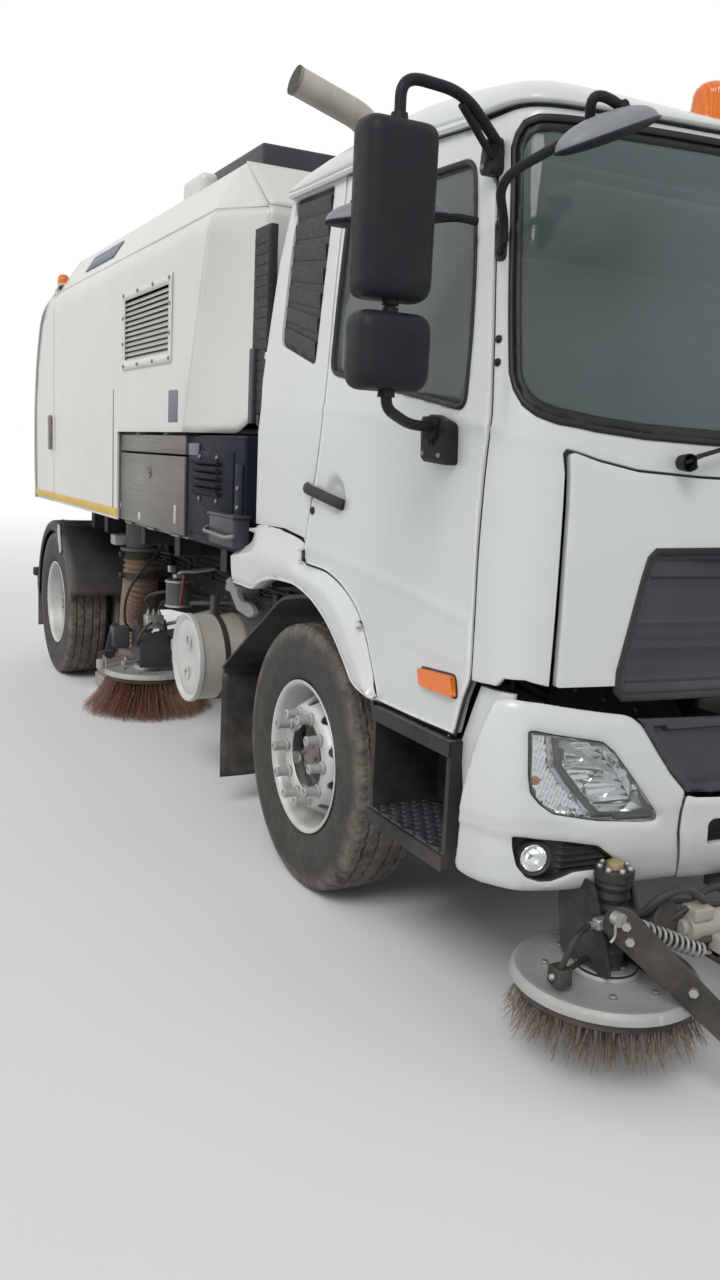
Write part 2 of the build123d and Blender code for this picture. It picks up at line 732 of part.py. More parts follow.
def cab_form(skin):
    """The cab's outer form, drawn in from the outside by a skin thickness."""
    with BuildPart() as form:
        for z, half, front, corner, corner_x in CAB_SECTIONS:
            with BuildSketch(Plane.XY.offset(z)):
                with BuildLine():
                    face = ThreePointArc(
                        (-corner_x, FA + corner + skin),
                        (0, FA + front + skin),
                        (corner_x, FA + corner + skin),
                    )
                    bend = ThreePointArc(
                        face @ 1,
                        (half - 45 - skin * 0.7, FA + corner + 75 + skin * 0.7),
                        (half - skin, FA + corner + 190 + skin),
                    )
                    Polyline(
                        bend @ 1,
                        (half - skin, FA + CAB_BACK + 50 - skin),
                        (-half + skin, FA + CAB_BACK + 50 - skin),
                        (-half + skin, FA + corner + 190 + skin),
                    )
                    ThreePointArc(
                        (-half + skin, FA + corner + 190 + skin),
                        (-half + 45 + skin * 0.7, FA + corner + 75 + skin * 0.7),
                        face @ 0,
                    )
                make_face()
        loft(ruled=True)
        with BuildSketch(Plane.YZ.offset(-1300)):
            with BuildLine():
                Polyline(*from_axle(CAB_SIDE), close=True)
            make_face()
            if skin:
                offset(amount=-skin)
        extrude(amount=2600, mode=Mode.INTERSECT)
        with BuildSketch(Plane.XZ.offset(-FA - 1000)):
            with BuildLine():
                Polyline((-1250, 800), (-1250, 2500), (-1110, 2560), (-930, 2735))
                ThreePointArc((-930, 2735), (0, 2775), (930, 2735))
                Polyline((930, 2735), (1110, 2560), (1250, 2500), (1250, 800), (-1250, 800))
            make_face()
            if skin:
                offset(amount=-skin)
        extrude(amount=3000, mode=Mode.INTERSECT)
    return form.part


cab_skin = cab_form(0)
cab_core = cab_form(CAB_WALL)
with BuildPart() as cab_hollow:
    add(cab_skin)
    add(cab_core, mode=Mode.SUBTRACT)

DOOR_OUTLINE = (
    (-1156, 905), (-1190, 1020), (-1220, 1085), (-1214, 1415), (-1204, 1750), (-1200, 2400), (-1150, 2520),
    (-245, 2585), (-200, 1980), (-90, 1360), (-90, 1295), (-325, 1248), (-545, 1035),
    (-655, 905),
)
WINDOW_OUTLINE = ((-1120, 1830), (-1085, 2420), (-1040, 2460), (-385, 2530), (-290, 1985))
WINDSCREEN = ((-1035, 1830), (-985, 2440), (985, 2440), (1035, 1830), (800, 1775), (-800, 1775))
GRILLE = ((-880, 1135), (-780, 1460), (780, 1460), (880, 1135), (850, 1075), (-850, 1075))
ARCH = ((-650, 850), (-650, 900), (-500, 930), (-250, 1115), (170, 1196), (590, 1196), (590, 850))

FLARE = (
    (-649, 898), (-538, 1029), (-319, 1241), (-82, 1286), (-82, 1352), (310, 1399), (330, 1290),
    (515, 1235), (515, 1110), (440, 1090), (170, 1196), (-120, 1180), (-320, 1060), (-490, 930), (-620, 888),
)
UNDER_FLARE = ((-700, 800), (-700, 1100), (-82, 1352), (310, 1399), (800, 1399), (800, 800))

with BuildPart() as door_region:
    with BuildSketch(Plane.YZ.offset(-1300)):
        with BuildLine():
            Polyline(*from_axle(DOOR_OUTLINE), close=True)
        make_face()
    extrude(amount=2600)
with BuildPart() as door_opening:
    with BuildSketch(Plane.YZ.offset(-1300)):
        with BuildLine():
            Polyline(*from_axle(DOOR_OUTLINE), close=True)
        make_face()
        offset(amount=DOOR_GAP, kind=Kind.INTERSECTION)
    extrude(amount=2600)
window_region = side_slab(from_axle(WINDOW_OUTLINE), (-1300, 1300))
screen_region = face_slab(WINDSCREEN, (FA - 1600, FA - 1050))
grille_region = face_slab(GRILLE, (FA - 1600, FA - 1300))
arch_region = side_slab(from_axle(ARCH), (-1300, 1300))

FRONT_SPLIT = FA - 1240
ROOF_SPLIT = 2590
BACK_SPLIT = FA + CAB_BACK - 130
with BuildPart() as cab_front:
    add(cab_hollow.part)
    block((-1300, 1300), (FA - 1700, FRONT_SPLIT), (1100, ROOF_SPLIT), mode=Mode.INTERSECT)
    add(screen_region, mode=Mode.SUBTRACT)
    add(grille_region, mode=Mode.SUBTRACT)
with BuildPart() as cab_roof:
    add(cab_hollow.part)
    block((-1300, 1300), (FA - 1700, BACK_SPLIT), (ROOF_SPLIT, 2900), mode=Mode.INTERSECT)
DOOR_HINGE = (1189, -1190)
HINGE_Z = (1180, 1560)
HINGE_LEAF = 50
HINGE_PIN = 4
flare_cuts = [side_slab(from_axle(UNDER_FLARE), (side * 1156, side * 1300)) for side in SIDES]
with BuildPart() as cab_back_wall:
    add(cab_hollow.part)
    block((-1300, 1300), (BACK_SPLIT, FA + 600), (CAB_FLOOR_Z, 2900), mode=Mode.INTERSECT)
    for cut in flare_cuts:
        add(cut, mode=Mode.SUBTRACT)
with BuildPart() as cab_sides:
    add(cab_hollow.part)
    block((-1300, 1300), (FRONT_SPLIT, BACK_SPLIT), (CAB_FLOOR_Z, ROOF_SPLIT), mode=Mode.INTERSECT)
    add(door_opening.part, mode=Mode.SUBTRACT)
    add(screen_region, mode=Mode.SUBTRACT)
    for cut in flare_cuts:
        add(cut, mode=Mode.SUBTRACT)
    # door hinges: a leaf from the pillar, with its pin
    for side in SIDES:
        x, y = side * DOOR_HINGE[0], FA + DOOR_HINGE[1]
        for z in HINGE_Z:
            block((x - 5, x + 5), (FRONT_SPLIT, y), (z, z + HINGE_LEAF))
            with Locations((x, y, z + HINGE_LEAF / 2)):
                Cylinder(5, HINGE_LEAF)
                Cylinder(HINGE_PIN, HINGE_LEAF + 60)

with BuildPart() as windscreen:
    add(cab_hollow.part)
    add(screen_region, mode=Mode.INTERSECT)



def cab_door(side):
    """Door cut from the cab's side, as thick as the wall, with its window open."""
    half = (side * 1000, side * 1300)
    with BuildPart() as door:
        add(cab_hollow.part)
        block(half, (FA - 1400, FA + 300), (900, 2700), mode=Mode.INTERSECT)
        add(door_region.part, mode=Mode.INTERSECT)
        add(window_region, mode=Mode.SUBTRACT)
        x, y = side * DOOR_HINGE[0], FA + DOOR_HINGE[1]
        for z in HINGE_Z:
            rod((x, y, z - 32), (x, y, z + HINGE_LEAF + 32), HINGE_PIN + PIN_PLAY, mode=Mode.SUBTRACT)
        for z in HINGE_Z:
            block(half, (y - 70, y + 10), (z - 2, z + HINGE_LEAF + 2), mode=Mode.SUBTRACT)
    return door.part


def door_glass(side):
    """Pane that fills the door's window."""
    half = (side * 1000, side * 1300)
    with BuildPart() as pane:
        add(cab_hollow.part)
        block(half, (FA - 1400, FA + 300), (900, 2700), mode=Mode.INTERSECT)
        add(window_region, mode=Mode.INTERSECT)
    return pane.part


with BuildPart() as door_left:
    add(cab_door(1))
with BuildPart() as door_right:
    add(cab_door(-1))
with BuildPart() as door_glass_left:
    add(door_glass(1))
with BuildPart() as door_glass_right:
    add(door_glass(-1))

# Floor with the engine tunnel, sills, and the two arms down to the pivot pins.
ARM_OUTLINE = (
    (-1405, 800), (-1370, 765), (-1335, 770), (-1140, 960), (-1140, 1200), (-1210, 1200),
    (-1210, 1010), (-1390, 835),
)
with BuildPart() as cab_floor:
    add(cab_core)
    floor_half = CAB_HALF - CAB_WALL - 26
    block((-floor_half, floor_half), (FA - 1460, FA + 400), (CAB_FLOOR_Z, CAB_FLOOR_Z + 36), mode=Mode.INTERSECT)
    block((-360, 360), (FA - 900, FA + 279), (CAB_FLOOR_Z, CAB_FLOOR_Z + 230))
    block((-325, 325), (FA - 870, FA + 250), (CAB_FLOOR_Z - 10, CAB_FLOOR_Z + 195), mode=Mode.SUBTRACT)
    for side in SIDES:
        block((side * 1090, side * 1120), (FA - 1165, FA - 660), (930, CAB_FLOOR_Z))
        add(side_slab(from_axle(ARM_OUTLINE), (side * 450, side * 510)))
        pivot = (FA + CAB_PIVOT[0], CAB_PIVOT[1])
        rod((side * 440, *pivot), (side * 525, *pivot), 20 + PIN_PLAY, mode=Mode.SUBTRACT)

# Wheel-arch flares on the cab's sides.
with BuildPart() as cab_fenders:
    for side in SIDES:
        add(side_slab(from_axle(FLARE), (side * 1157, side * 1212)))

# Black plastic grille in the front panel.
with BuildPart() as front_trim:
    add(cab_hollow.part)
    add(grille_region, mode=Mode.INTERSECT)

# Seats, dashboard and steering column, seen through the glass.
with BuildPart() as cab_interior:
    for x, half in ((620, 250), (-620, 250)):
        block((x - half, x + half), (FA - 560, FA - 60), (CAB_FLOOR_Z + 36, 1560))
        block((x - half, x + half), (FA - 120, FA + 20), (1560, 2180))
    block((-1040, 1040), (FA - 1330, FA - 1080), (CAB_FLOOR_Z + 36, 1740))

with BuildPart() as roof_beacon:
    with Locations((-200, FA - 900, 2720)):
        Cylinder(75, 175, align=(Align.CENTER, Align.CENTER, Align.MIN))
    add(cab_skin, mode=Mode.SUBTRACT)


# Mirrors on the doors: two heads on a bent tube, and the kerb mirror.
def mirrors(side):
    """Both heads and their arm, from the door's brackets."""
    arm = pipe(
        [
            (side * x, FA + y, z)
            for x, y, z in (
                (1100, -1090, 2470), (1300, -1180, 2590), (1495, -1205, 2590),
                (1495, -1205, 1790), (1260, -1090, 1700), (1165, -1065, 1700),
            )
        ],
        35,
        14,
    )
    with BuildPart() as heads:
        add(arm)
        block((side * 1392, side * 1598), (FA - 1260, FA - 1160), (2060, 2490))
        block((side * 1385, side * 1600), (FA - 1260, FA - 1160), (1840, 2040))
        block((side * 1110, side * 1150), (FA - 1130, FA - 1060), (2430, 2510))
        block((side * 1165, side * 1230), (FA - 1100, FA - 1020), (1660, 1790))
        add(cab_skin, mode=Mode.SUBTRACT)
    return heads.part


with BuildPart() as mirrors_left:
    add(mirrors(1))
with BuildPart() as mirrors_right:
    add(mirrors(-1))

# Under-view mirror ahead of the windscreen's right corner.
front_arm = pipe(
    ((-1130, FA - 1200, 2230), (-1180, FA - 1330, 2260), (-1150, FA - 1440, 2500), (-1000, FA - 1480, 2560)),
    40,
    13,
)
with BuildPart() as front_view_mirror:
    add(front_arm)
    block((-1190, -960), (FA - 1560, FA - 1460), (2420, 2540))
    add(cab_skin, mode=Mode.SUBTRACT)

# Sweeper body
HULL_SIDE = (
    (HULL_FRONT, 1750), (HULL_FRONT, 2900), (HULL_SEAM, 2900), (HULL_SEAM + 230, 2620),
    (HULL_SEAM + 550, 2440), (HULL_SEAM + 680, 2000), (HULL_SEAM + 680, 1250),
    (2430, 1250), (2430, 1750),
)
HULL_END = ((-1230, 1200), (-1230, 2690), (-1060, 2900), (1060, 2900), (1230, 2690), (1230, 1200))


def hull_form(skin):
    """The body's outer form, drawn in by a wall thickness."""
    with BuildPart() as form:
        with BuildSketch(Plane.YZ.offset(-1300)):
            with BuildLine():
                Polyline(*from_axle(HULL_SIDE), close=True)
            make_face()
            if skin:
                offset(amount=-skin, kind=Kind.INTERSECTION)
        extrude(amount=2600)
        with BuildSketch(Plane.XZ.offset(-FA - HULL_SEAM - 850)):
            with BuildLine():
                Polyline(*HULL_END, close=True)
            make_face()
            if skin:
                offset(amount=-skin, kind=Kind.INTERSECTION)
        extrude(amount=HULL_SEAM + 250, mode=Mode.INTERSECT)
    return form.part


hull_skin = hull_form(0)
hull_core = hull_form(HULL_WALL)
SEAM_Y = FA + HULL_SEAM
with BuildPart() as hopper_shell:
    add(hull_skin)
    add(hull_core, mode=Mode.SUBTRACT)
    block((-1300, 1300), (FA + 600, SEAM_Y), (1200, 3000), mode=Mode.INTERSECT)
    for side in SIDES:
        pin_y, pin_z = FA + HULL_TIP_PIN[0], HULL_TIP_PIN[1]
        # hinge arms under the floor, back to the tipping pins
        block((side * 440, side * 475), (SEAM_Y - 250, pin_y + 50), (pin_z - 50, 1235))
        block((side * 440, side * 475), (SEAM_Y - 250, SEAM_Y), (1235, 1250))
        rod((side * 430, pin_y, pin_z), (side * 490, pin_y, pin_z), 25 + PIN_PLAY, mode=Mode.SUBTRACT)
        # tailgate hinge lugs
        block((side * 700, side * 730), (SEAM_Y - 100, SEAM_Y + 20), (2900, 2960))
        rod((side * 690, SEAM_Y, 2935), (side * 790, SEAM_Y, 2935), 12)

with BuildPart() as tailgate:
    add(hull_skin)
    add(hull_core, mode=Mode.SUBTRACT)
    block((-1300, 1300), (SEAM_Y + RUNNING_GAP, SEAM_Y + 850), (1200, 3000), mode=Mode.INTERSECT)
    for side in SIDES:
        block((side * 740, side * 770), (SEAM_Y - 20, SEAM_Y + 20), (2910, 2955))
        block((side * 740, side * 770), (SEAM_Y + 10, SEAM_Y + 120), (2850, 2930))
        rod((side * 735, SEAM_Y, 2935), (side * 775, SEAM_Y, 2935), 12 + PIN_PLAY, mode=Mode.SUBTRACT)

with BuildPart() as hopper_duct:
    block((-920, 920), (FA + 1150, FA + 2100), (2900, 3050))

# Side brush on a swinging arm, behind the silencer.
BRUSH_AT = (-880, WHEELBASE - 1280)
ARM_PIVOT = (-520, WHEELBASE - 1950)
with BuildPart() as side_brush_arm:
    with Locations((ARM_PIVOT[0], FA + ARM_PIVOT[1], 640)):
        Cylinder(45, 160)
    rod((ARM_PIVOT[0], FA + ARM_PIVOT[1] + 20, 640), (BRUSH_AT[0], FA + BRUSH_AT[1], 470), 32)
    with Locations((BRUSH_AT[0], FA + BRUSH_AT[1], 415)):
        Cylinder(75, 170)
    with Locations((ARM_PIVOT[0], FA + ARM_PIVOT[1], 640)):
        Cylinder(20 + PIN_PLAY, 400, mode=Mode.SUBTRACT)
    with Locations((BRUSH_AT[0], FA + BRUSH_AT[1], 330)):
        Cylinder(18 + PIN_PLAY, 160, mode=Mode.SUBTRACT)

with BuildPart() as brush_post:
    with Locations((ARM_PIVOT[0], FA + ARM_PIVOT[1], 640)):
        Cylinder(20, 260)
    block((ARM_PIVOT[0] - 45, -RAIL_OUT), (FA + ARM_PIVOT[1] - 40, FA + ARM_PIVOT[1] + 40), (760, 790))


def brush(disc, tip, height):
    """Disc with a cone of bristles below it and a stub shaft above, about its own axis."""
    with BuildPart() as rotor:
        with BuildSketch(Plane.XZ):
            with BuildLine():
                Polyline(
                    (0, 0), (tip * 0.6, 0), (tip, 0), (disc, height), (disc, height + 25),
                    (60, height + 45), (18, height + 45), (18, height + 140), (0, height + 140),
                    close=True,
                )
            make_face()
        revolve(axis=Axis.Z)
    return rotor.part


with BuildPart() as side_brush:
    with Locations((BRUSH_AT[0], FA + BRUSH_AT[1], 12)):
        add(brush(270, 420, 230))

# Front brush on its own arm, under a bracket from the frame's front beam.
FRONT_BRUSH_AT = (-850, -1480)
FRONT_PIVOT = (-330, -1650)
with BuildPart() as front_brush_arm:
    with Locations((FRONT_PIVOT[0], FA + FRONT_PIVOT[1], 365)):
        Cylinder(50, 110)
    rod(
        (FRONT_PIVOT[0], FA + FRONT_PIVOT[1], 370),
        (FRONT_BRUSH_AT[0], FA + FRONT_BRUSH_AT[1], 370),
        30,
    )
    with Locations((FRONT_BRUSH_AT[0], FA + FRONT_BRUSH_AT[1], 380)):
        Cylinder(70, 140)
    block((-640, -560), (FA - 1900, FA - 1560), (350, 390))
    with Locations((FRONT_PIVOT[0], FA + FRONT_PIVOT[1], 365)):
        Cylinder(20 + PIN_PLAY, 200, mode=Mode.SUBTRACT)
    with Locations((FRONT_BRUSH_AT[0], FA + FRONT_BRUSH_AT[1], 380)):
        Cylinder(18 + PIN_PLAY, 200, mode=Mode.SUBTRACT)
with BuildPart() as front_post:
    with Locations((FRONT_PIVOT[0], FA + FRONT_PIVOT[1], 370)):
        Cylinder(20, 120)
    block((-400, -260), (FA - 1710, FA - 1380), (425, 490))
    block((-400, -260), (FA - 1400, FA - 1380), (490, 690))

with BuildPart() as front_brush:
    with Locations((FRONT_BRUSH_AT[0], FA + FRONT_BRUSH_AT[1], 12)):
        add(brush(270, 300, 240))

pieces = {
    "chassis_frame": chassis_frame, "leaf_springs": leaf_springs, "front_axle": front_axle,
    "knuckle_left": knuckle_left, "knuckle_right": knuckle_right, "tie_rod": tie_rod,
    "rear_axle": rear_axle,
    "front_tyre_left": front_tyre_left, "front_tyre_right": front_tyre_right,
    "front_wheel_left": front_wheel_left, "front_wheel_right": front_wheel_right,
    "rear_tyres_left": rear_tyres_left, "rear_tyres_right": rear_tyres_right,
    "rear_wheels_left": rear_wheels_left, "rear_wheels_right": rear_wheels_right,
    "front_bumper": front_bumper, "front_lamps": front_lamps, "step_wells": step_wells,
    "step_fillers": step_fillers,
    "engine_blocks": engine_blocks, "sub_frame": sub_frame, "service_housing": service_housing,
    "tool_cabinets": tool_cabinets, "cabinet_door_left": cabinet_door_left,
    "cabinet_door_right": cabinet_door_right, "exhaust_stack": exhaust_stack,
    "silencer_drum": silencer_drum, "tanks": tanks, "mudguards": mudguards,
    "suction_tube": suction_tube, "suction_nozzle": suction_nozzle, "rear_lamps": rear_lamps,
    "cab_front": cab_front, "cab_roof": cab_roof, "cab_back_wall": cab_back_wall,
    "cab_sides": cab_sides, "cab_floor": cab_floor, "cab_fenders": cab_fenders,
    "windscreen": windscreen, "front_trim": front_trim, "cab_interior": cab_interior,
    "roof_beacon": roof_beacon, "front_view_mirror": front_view_mirror,
    "door_left": door_left, "door_right": door_right,
    "door_glass_left": door_glass_left, "door_glass_right": door_glass_right,
    "mirrors_left": mirrors_left, "mirrors_right": mirrors_right,
    "hopper_shell": hopper_shell, "hopper_duct": hopper_duct, "tailgate": tailgate,
    "side_brush_arm": side_brush_arm, "brush_post": brush_post, "side_brush": side_brush,
    "front_brush_arm": front_brush_arm, "front_post": front_post, "front_brush": front_brush,
}
# the whole truck stands on its tyres
standing = Location((0, 0, TYRE_RADIUS - AXLE_Z))
for name, piece in pieces.items():
    piece.part.move(standing)
    piece.part.label = name
    export_step(piece.part, f"parts/{name}.step")
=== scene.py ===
import math
import bmesh
import bpy
import numpy as np
from mathutils import Matrix, Vector
from mathutils.geometry import delaunay_2d_cdt


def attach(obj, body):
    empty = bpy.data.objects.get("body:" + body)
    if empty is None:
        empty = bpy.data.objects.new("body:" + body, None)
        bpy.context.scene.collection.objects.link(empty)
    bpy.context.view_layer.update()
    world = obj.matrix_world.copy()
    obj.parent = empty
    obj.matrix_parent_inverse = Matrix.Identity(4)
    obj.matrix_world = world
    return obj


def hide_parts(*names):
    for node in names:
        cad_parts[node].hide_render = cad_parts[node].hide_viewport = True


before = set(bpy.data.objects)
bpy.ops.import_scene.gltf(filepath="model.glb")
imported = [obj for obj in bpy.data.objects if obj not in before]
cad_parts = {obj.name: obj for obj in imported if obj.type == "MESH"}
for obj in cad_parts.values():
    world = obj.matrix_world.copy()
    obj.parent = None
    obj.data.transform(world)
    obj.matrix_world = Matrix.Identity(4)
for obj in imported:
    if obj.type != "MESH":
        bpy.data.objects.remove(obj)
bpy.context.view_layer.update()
print("frame loaded")

# The truck faces -Y and its right side is -X. Every y in this file is counted
# from the front axle, and meshFrom adds the axle's own place.
axleY, axleZ, wheelbase = -1.55, 0.52, 4.25
sides = ((1, "left"), (-1, "right"))
# directions of a plate that stands upright along the truck
upright = ((0, 1, 0), (0, 0, 1))
# the slot of each finish, where a piece names no other
slots = {"tyreRubber": "tyre", "wheelSilver": "wheel_paint", "discPale": "steel", "castGrey": "cast",
         "cabPaint": "white_paint", "rubberSeal": "black_plastic", "blackPlastic": "black_plastic",
         "lampClear": "lamp", "reflector": "lamp", "paleShell": "pale_grey_paint",
         "greyPlastic": "black_plastic", "amberLens": "amber", "hullPaint": "white_paint",
         "steelDusty": "steel", "redLens": "red_lamp", "bluePaint": "navy_paint",
         "frameBlack": "frame_paint", "bristleGrey": "bristle", "brassWorn": "steel",
         "cylinderBeige": "pale_grey_paint", "steelBright": "steel", "hoseBlack": "hose",
         "bristle": "bristle", "ductBrown": "hose", "drumGrey": "pale_grey_paint",
         "drumBeige": "pale_grey_paint", "canGreen": "black_plastic", "leverRed": "red_lamp",
         "stackBeige": "steel", "mirrorGrey": "pale_grey_paint", "mirrorPlastic": "black_plastic",
         "seatCloth": "interior_plastic", "dashPlastic": "interior_plastic",
         "liningGrey": "interior_plastic", "plateBare": "white_paint", "ventBlack": "black_plastic",
         "glassDark": "glass", "glass": "glass", "stripePaint": "white_paint", "slateVinyl": "navy_paint",
         "stainless": "steel", "mirrorFace": "glass", "guardBlack": "black_plastic"}
made = []


# mesh helpers

def meshFrom(name, part, finishName, body="chassis", smooth=40, slot=None, instead=(), tag=None):
    # a (points, faces) pair becomes one object that rides on a body; tag is a value per point
    points, faces = part
    mesh = bpy.data.meshes.new(name)
    pts = np.array(points, float)
    pts[:, 1] += axleY
    mesh.from_pydata(pts.tolist(), [], faces if isinstance(faces, list) else np.asarray(faces).tolist())
    mesh.materials.append(look[finishName])
    if tag:
        mesh.attributes.new(tag[0], "FLOAT", "POINT").data.foreach_set("value",
                                                                       np.asarray(tag[1], float).ravel())
    obj = bpy.data.objects.new(name, mesh)
    bpy.context.scene.collection.objects.link(obj)
    if smooth:
        mesh.shade_smooth()
        mesh.set_sharp_from_angle(angle=math.radians(smooth))
    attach(obj, body)
    slot or slots[finishName]
    if instead:
        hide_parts(*instead)
    made.append(obj)
    return obj


def gridFaces(rows, cols, closeRows=False, closeCols=False, flip=False):
    # quads of a rows x cols grid of points, wrapped round where asked
    r = np.arange(rows if closeRows else rows - 1)
    c = np.arange(cols if closeCols else cols - 1)
    i, j = [a.ravel() for a in np.meshgrid(r, c, indexing="ij")]
    i2, j2 = (i + 1) % rows, (j + 1) % cols
    quads = np.stack([i * cols + j, i2 * cols + j, i2 * cols + j2, i * cols + j2], 1)
    return quads[:, ::-1] if flip else quads


def joined(parts):
    # several (points, faces) pairs as one pair; faces may be arrays or lists
    points, faces, base = [], [], 0
    for p, f in parts:
        p = np.asarray(p, float).reshape(-1, 3)
        points.append(p)
        faces += [[int(k) + base for k in face] for face in f]
        base += len(p)
    return np.concatenate(points), faces


def turned(part, axis, degrees, about=(0, 0, 0)):
    # a (points, faces) pair turned about an axis through a point
    p, f = part
    a = math.radians(degrees)
    u = np.array(axis, float) / np.linalg.norm(axis)
    q = np.asarray(p, float) - about
    q = q * math.cos(a) + np.cross(u, q) * math.sin(a) + np.outer(q @ u, u) * (1 - math.cos(a))
    return q + about, f


def shifted(part, by):
    return np.asarray(part[0], float) + np.asarray(by, float), part[1]


def otherSide(part):
    # mirror image across the truck's middle, faces turned back outwards
    p = np.array(part[0], float)
    p[:, 0] *= -1
    return p, [list(f)[::-1] for f in part[1]]


def spun(profile, count=96, axis="x", centre=(0, 0, 0), close=False, bend=None):
    # revolve: each (along, radius) of the profile runs round the axis; bend(along, radius, angle) may move it
    prof = np.asarray(profile, float)
    ang = angles(count)
    along = np.repeat(prof[:, 0][:, None], count, 1)
    rad = np.repeat(prof[:, 1][:, None], count, 1)
    a = np.repeat(ang[None], len(prof), 0)
    if bend:
        along, rad = bend(along, rad, a)
    if axis == "x":
        p = np.stack([along, rad * np.cos(a), rad * np.sin(a)], -1)
    elif axis == "y":
        p = np.stack([rad * np.sin(a), along, rad * np.cos(a)], -1)
    else:
        p = np.stack([rad * np.cos(a), rad * np.sin(a), along], -1)
    return p.reshape(-1, 3) + centre, gridFaces(len(prof), count, close, True, flip=True)


def alongPath(path, section, closed=True, caps=True):
    # carries an (a, b) section along path points; frames turn as little as they can
    path = np.asarray(path, float)
    t = np.gradient(path, axis=0)
    t /= np.linalg.norm(t, axis=1)[:, None]
    up = np.array([0, 0, 1.0]) if abs(t[0][2]) < 0.9 else np.array([1.0, 0, 0])
    n = np.cross(t[0], up)
    n /= np.linalg.norm(n)
    frames = []
    for k in range(len(path)):
        n = n - t[k] * (n @ t[k])
        n /= np.linalg.norm(n)
        frames.append((n, np.cross(t[k], n)))
    sec = np.asarray(section, float)
    if sec.ndim == 2:
        sec = np.repeat(sec[None], len(path), 0)
    a = np.array([f[0] for f in frames])[:, None]
    b = np.array([f[1] for f in frames])[:, None]
    p = path[:, None] + a * sec[..., :1] + b * sec[..., 1:]
    m = sec.shape[1]
    faces = gridFaces(len(path), m, False, closed).tolist()
    if caps and closed:
        faces += [list(range(m)), list(range((len(path) - 1) * m, len(path) * m))[::-1]]
    return p.reshape(-1, 3), faces


def angles(count):
    return np.linspace(0, 2 * math.pi, count, endpoint=False)


def ring(radius, count=16, squash=1.0):
    a = angles(count)
    return np.stack([radius * np.cos(a), radius * squash * np.sin(a)], 1)


def rod(low, high, radius, count, axis="x", centre=(0, 0, 0)):
    return spun([(low, 0), (low, radius), (high, radius), (high, 0)], count, axis, centre)


def hoop(low, high, inner, outer, count, axis="x", centre=(0, 0, 0)):
    # band round an axis with a square section
    return spun([(low, inner), (low, outer), (high, outer), (high, inner)], count, axis, centre, close=True)


def sheetOf(x, y, z, flip=False):
    # a grid of places as one (points, faces) pair
    x, y, z = np.broadcast_arrays(x, y, z)
    return np.stack([x, y, z], -1).reshape(-1, 3), gridFaces(*x.shape, flip=flip)


def boxLoop(x0, y0, x1, y1, radius=None, steps=6):
    corners = [(x0, y0), (x1, y0), (x1, y1), (x0, y1)]
    return np.array(corners) if radius is None else roundedLoop(corners, radius, steps)


def easedPath(points, radius, step=0.012):
    # straight runs with the corners rounded by quadratic arcs, evenly sampled
    pts = [np.array(p, float) for p in points]
    out = [pts[0]]
    for k in range(1, len(pts) - 1):
        a, b, c = pts[k - 1], pts[k], pts[k + 1]
        ra = min(radius, 0.48 * np.linalg.norm(b - a))
        rc = min(radius, 0.48 * np.linalg.norm(c - b))
        p0, p2 = b + (a - b) / np.linalg.norm(a - b) * ra, b + (c - b) / np.linalg.norm(c - b) * rc
        w = np.linspace(0, 1, max(5, int((ra + rc) / step)))[:, None]
        out += list((1 - w) ** 2 * p0 + 2 * w * (1 - w) * b + w ** 2 * p2)
    out.append(pts[-1])
    return np.array(out)


def tube(points, radius, bend=0.05, count=14):
    return alongPath(easedPath(points, bend), ring(radius, count))


def softBox(low, high, radius=0.01, steps=3):
    # box with rounded edges: a sphere's points pushed out to the eight corners
    low, high = np.array(low, float), np.array(high, float)
    r = min(radius, (high - low).min() * 0.499)
    lat = np.concatenate([np.linspace(-90, 0, steps + 2), np.linspace(0, 90, steps + 2)])
    lon = np.concatenate([np.linspace(q * 90, q * 90 + 90, steps + 1) for q in range(4)])
    la, lo = np.meshgrid(np.radians(lat), np.radians(lon), indexing="ij")
    d = np.stack([np.cos(la) * np.cos(lo), np.cos(la) * np.sin(lo), np.sin(la)], -1)
    quad = np.repeat(np.arange(4), steps + 1)
    sx = np.where((quad == 0) | (quad == 3), 1, -1)
    sy = np.where(quad < 2, 1, -1)
    sz = np.where(np.arange(len(lat)) < len(lat) // 2, -1, 1)
    sign = np.stack([np.broadcast_to(sx, la.shape), np.broadcast_to(sy, la.shape),
                     np.broadcast_to(sz[:, None], la.shape)], -1)
    p = (low + high) / 2 + sign * ((high - low) / 2 - r) + d * r
    p = np.round(p.reshape(-1, 3), 6)
    m = len(lon)
    cap = np.arange(4) * (steps + 1)
    faces = gridFaces(len(lat), m, False, True, flip=True).tolist()
    faces += [cap[::-1].tolist(), (cap + m * (len(lat) - 1)).tolist()]
    keep, back = np.unique(p, axis=0, return_inverse=True)
    faces = [list(dict.fromkeys(back.ravel()[f].tolist())) for f in faces]
    return keep, [f for f in faces if len(f) > 2]


def roundedLoop(corners, radius, steps=6):
    # closed outline with each corner rounded; a corner may carry its own radius as a third value
    out = []
    c = [np.array(p[:2], float) for p in corners]
    for k in range(len(c)):
        a, b, d = c[k - 1], c[k], c[(k + 1) % len(c)]
        r = corners[k][2] if len(corners[k]) > 2 else radius
        ra = min(r, 0.48 * np.linalg.norm(b - a))
        rd = min(r, 0.48 * np.linalg.norm(d - b))
        if min(ra, rd) < 1e-5:
            out.append(b)
            continue
        p0, p2 = b + (a - b) / np.linalg.norm(a - b) * ra, b + (d - b) / np.linalg.norm(d - b) * rd
        w = np.linspace(0, 1, steps)[:, None]
        out += list((1 - w) ** 2 * p0 + 2 * w * (1 - w) * b + w ** 2 * p2)
    return np.array(out)


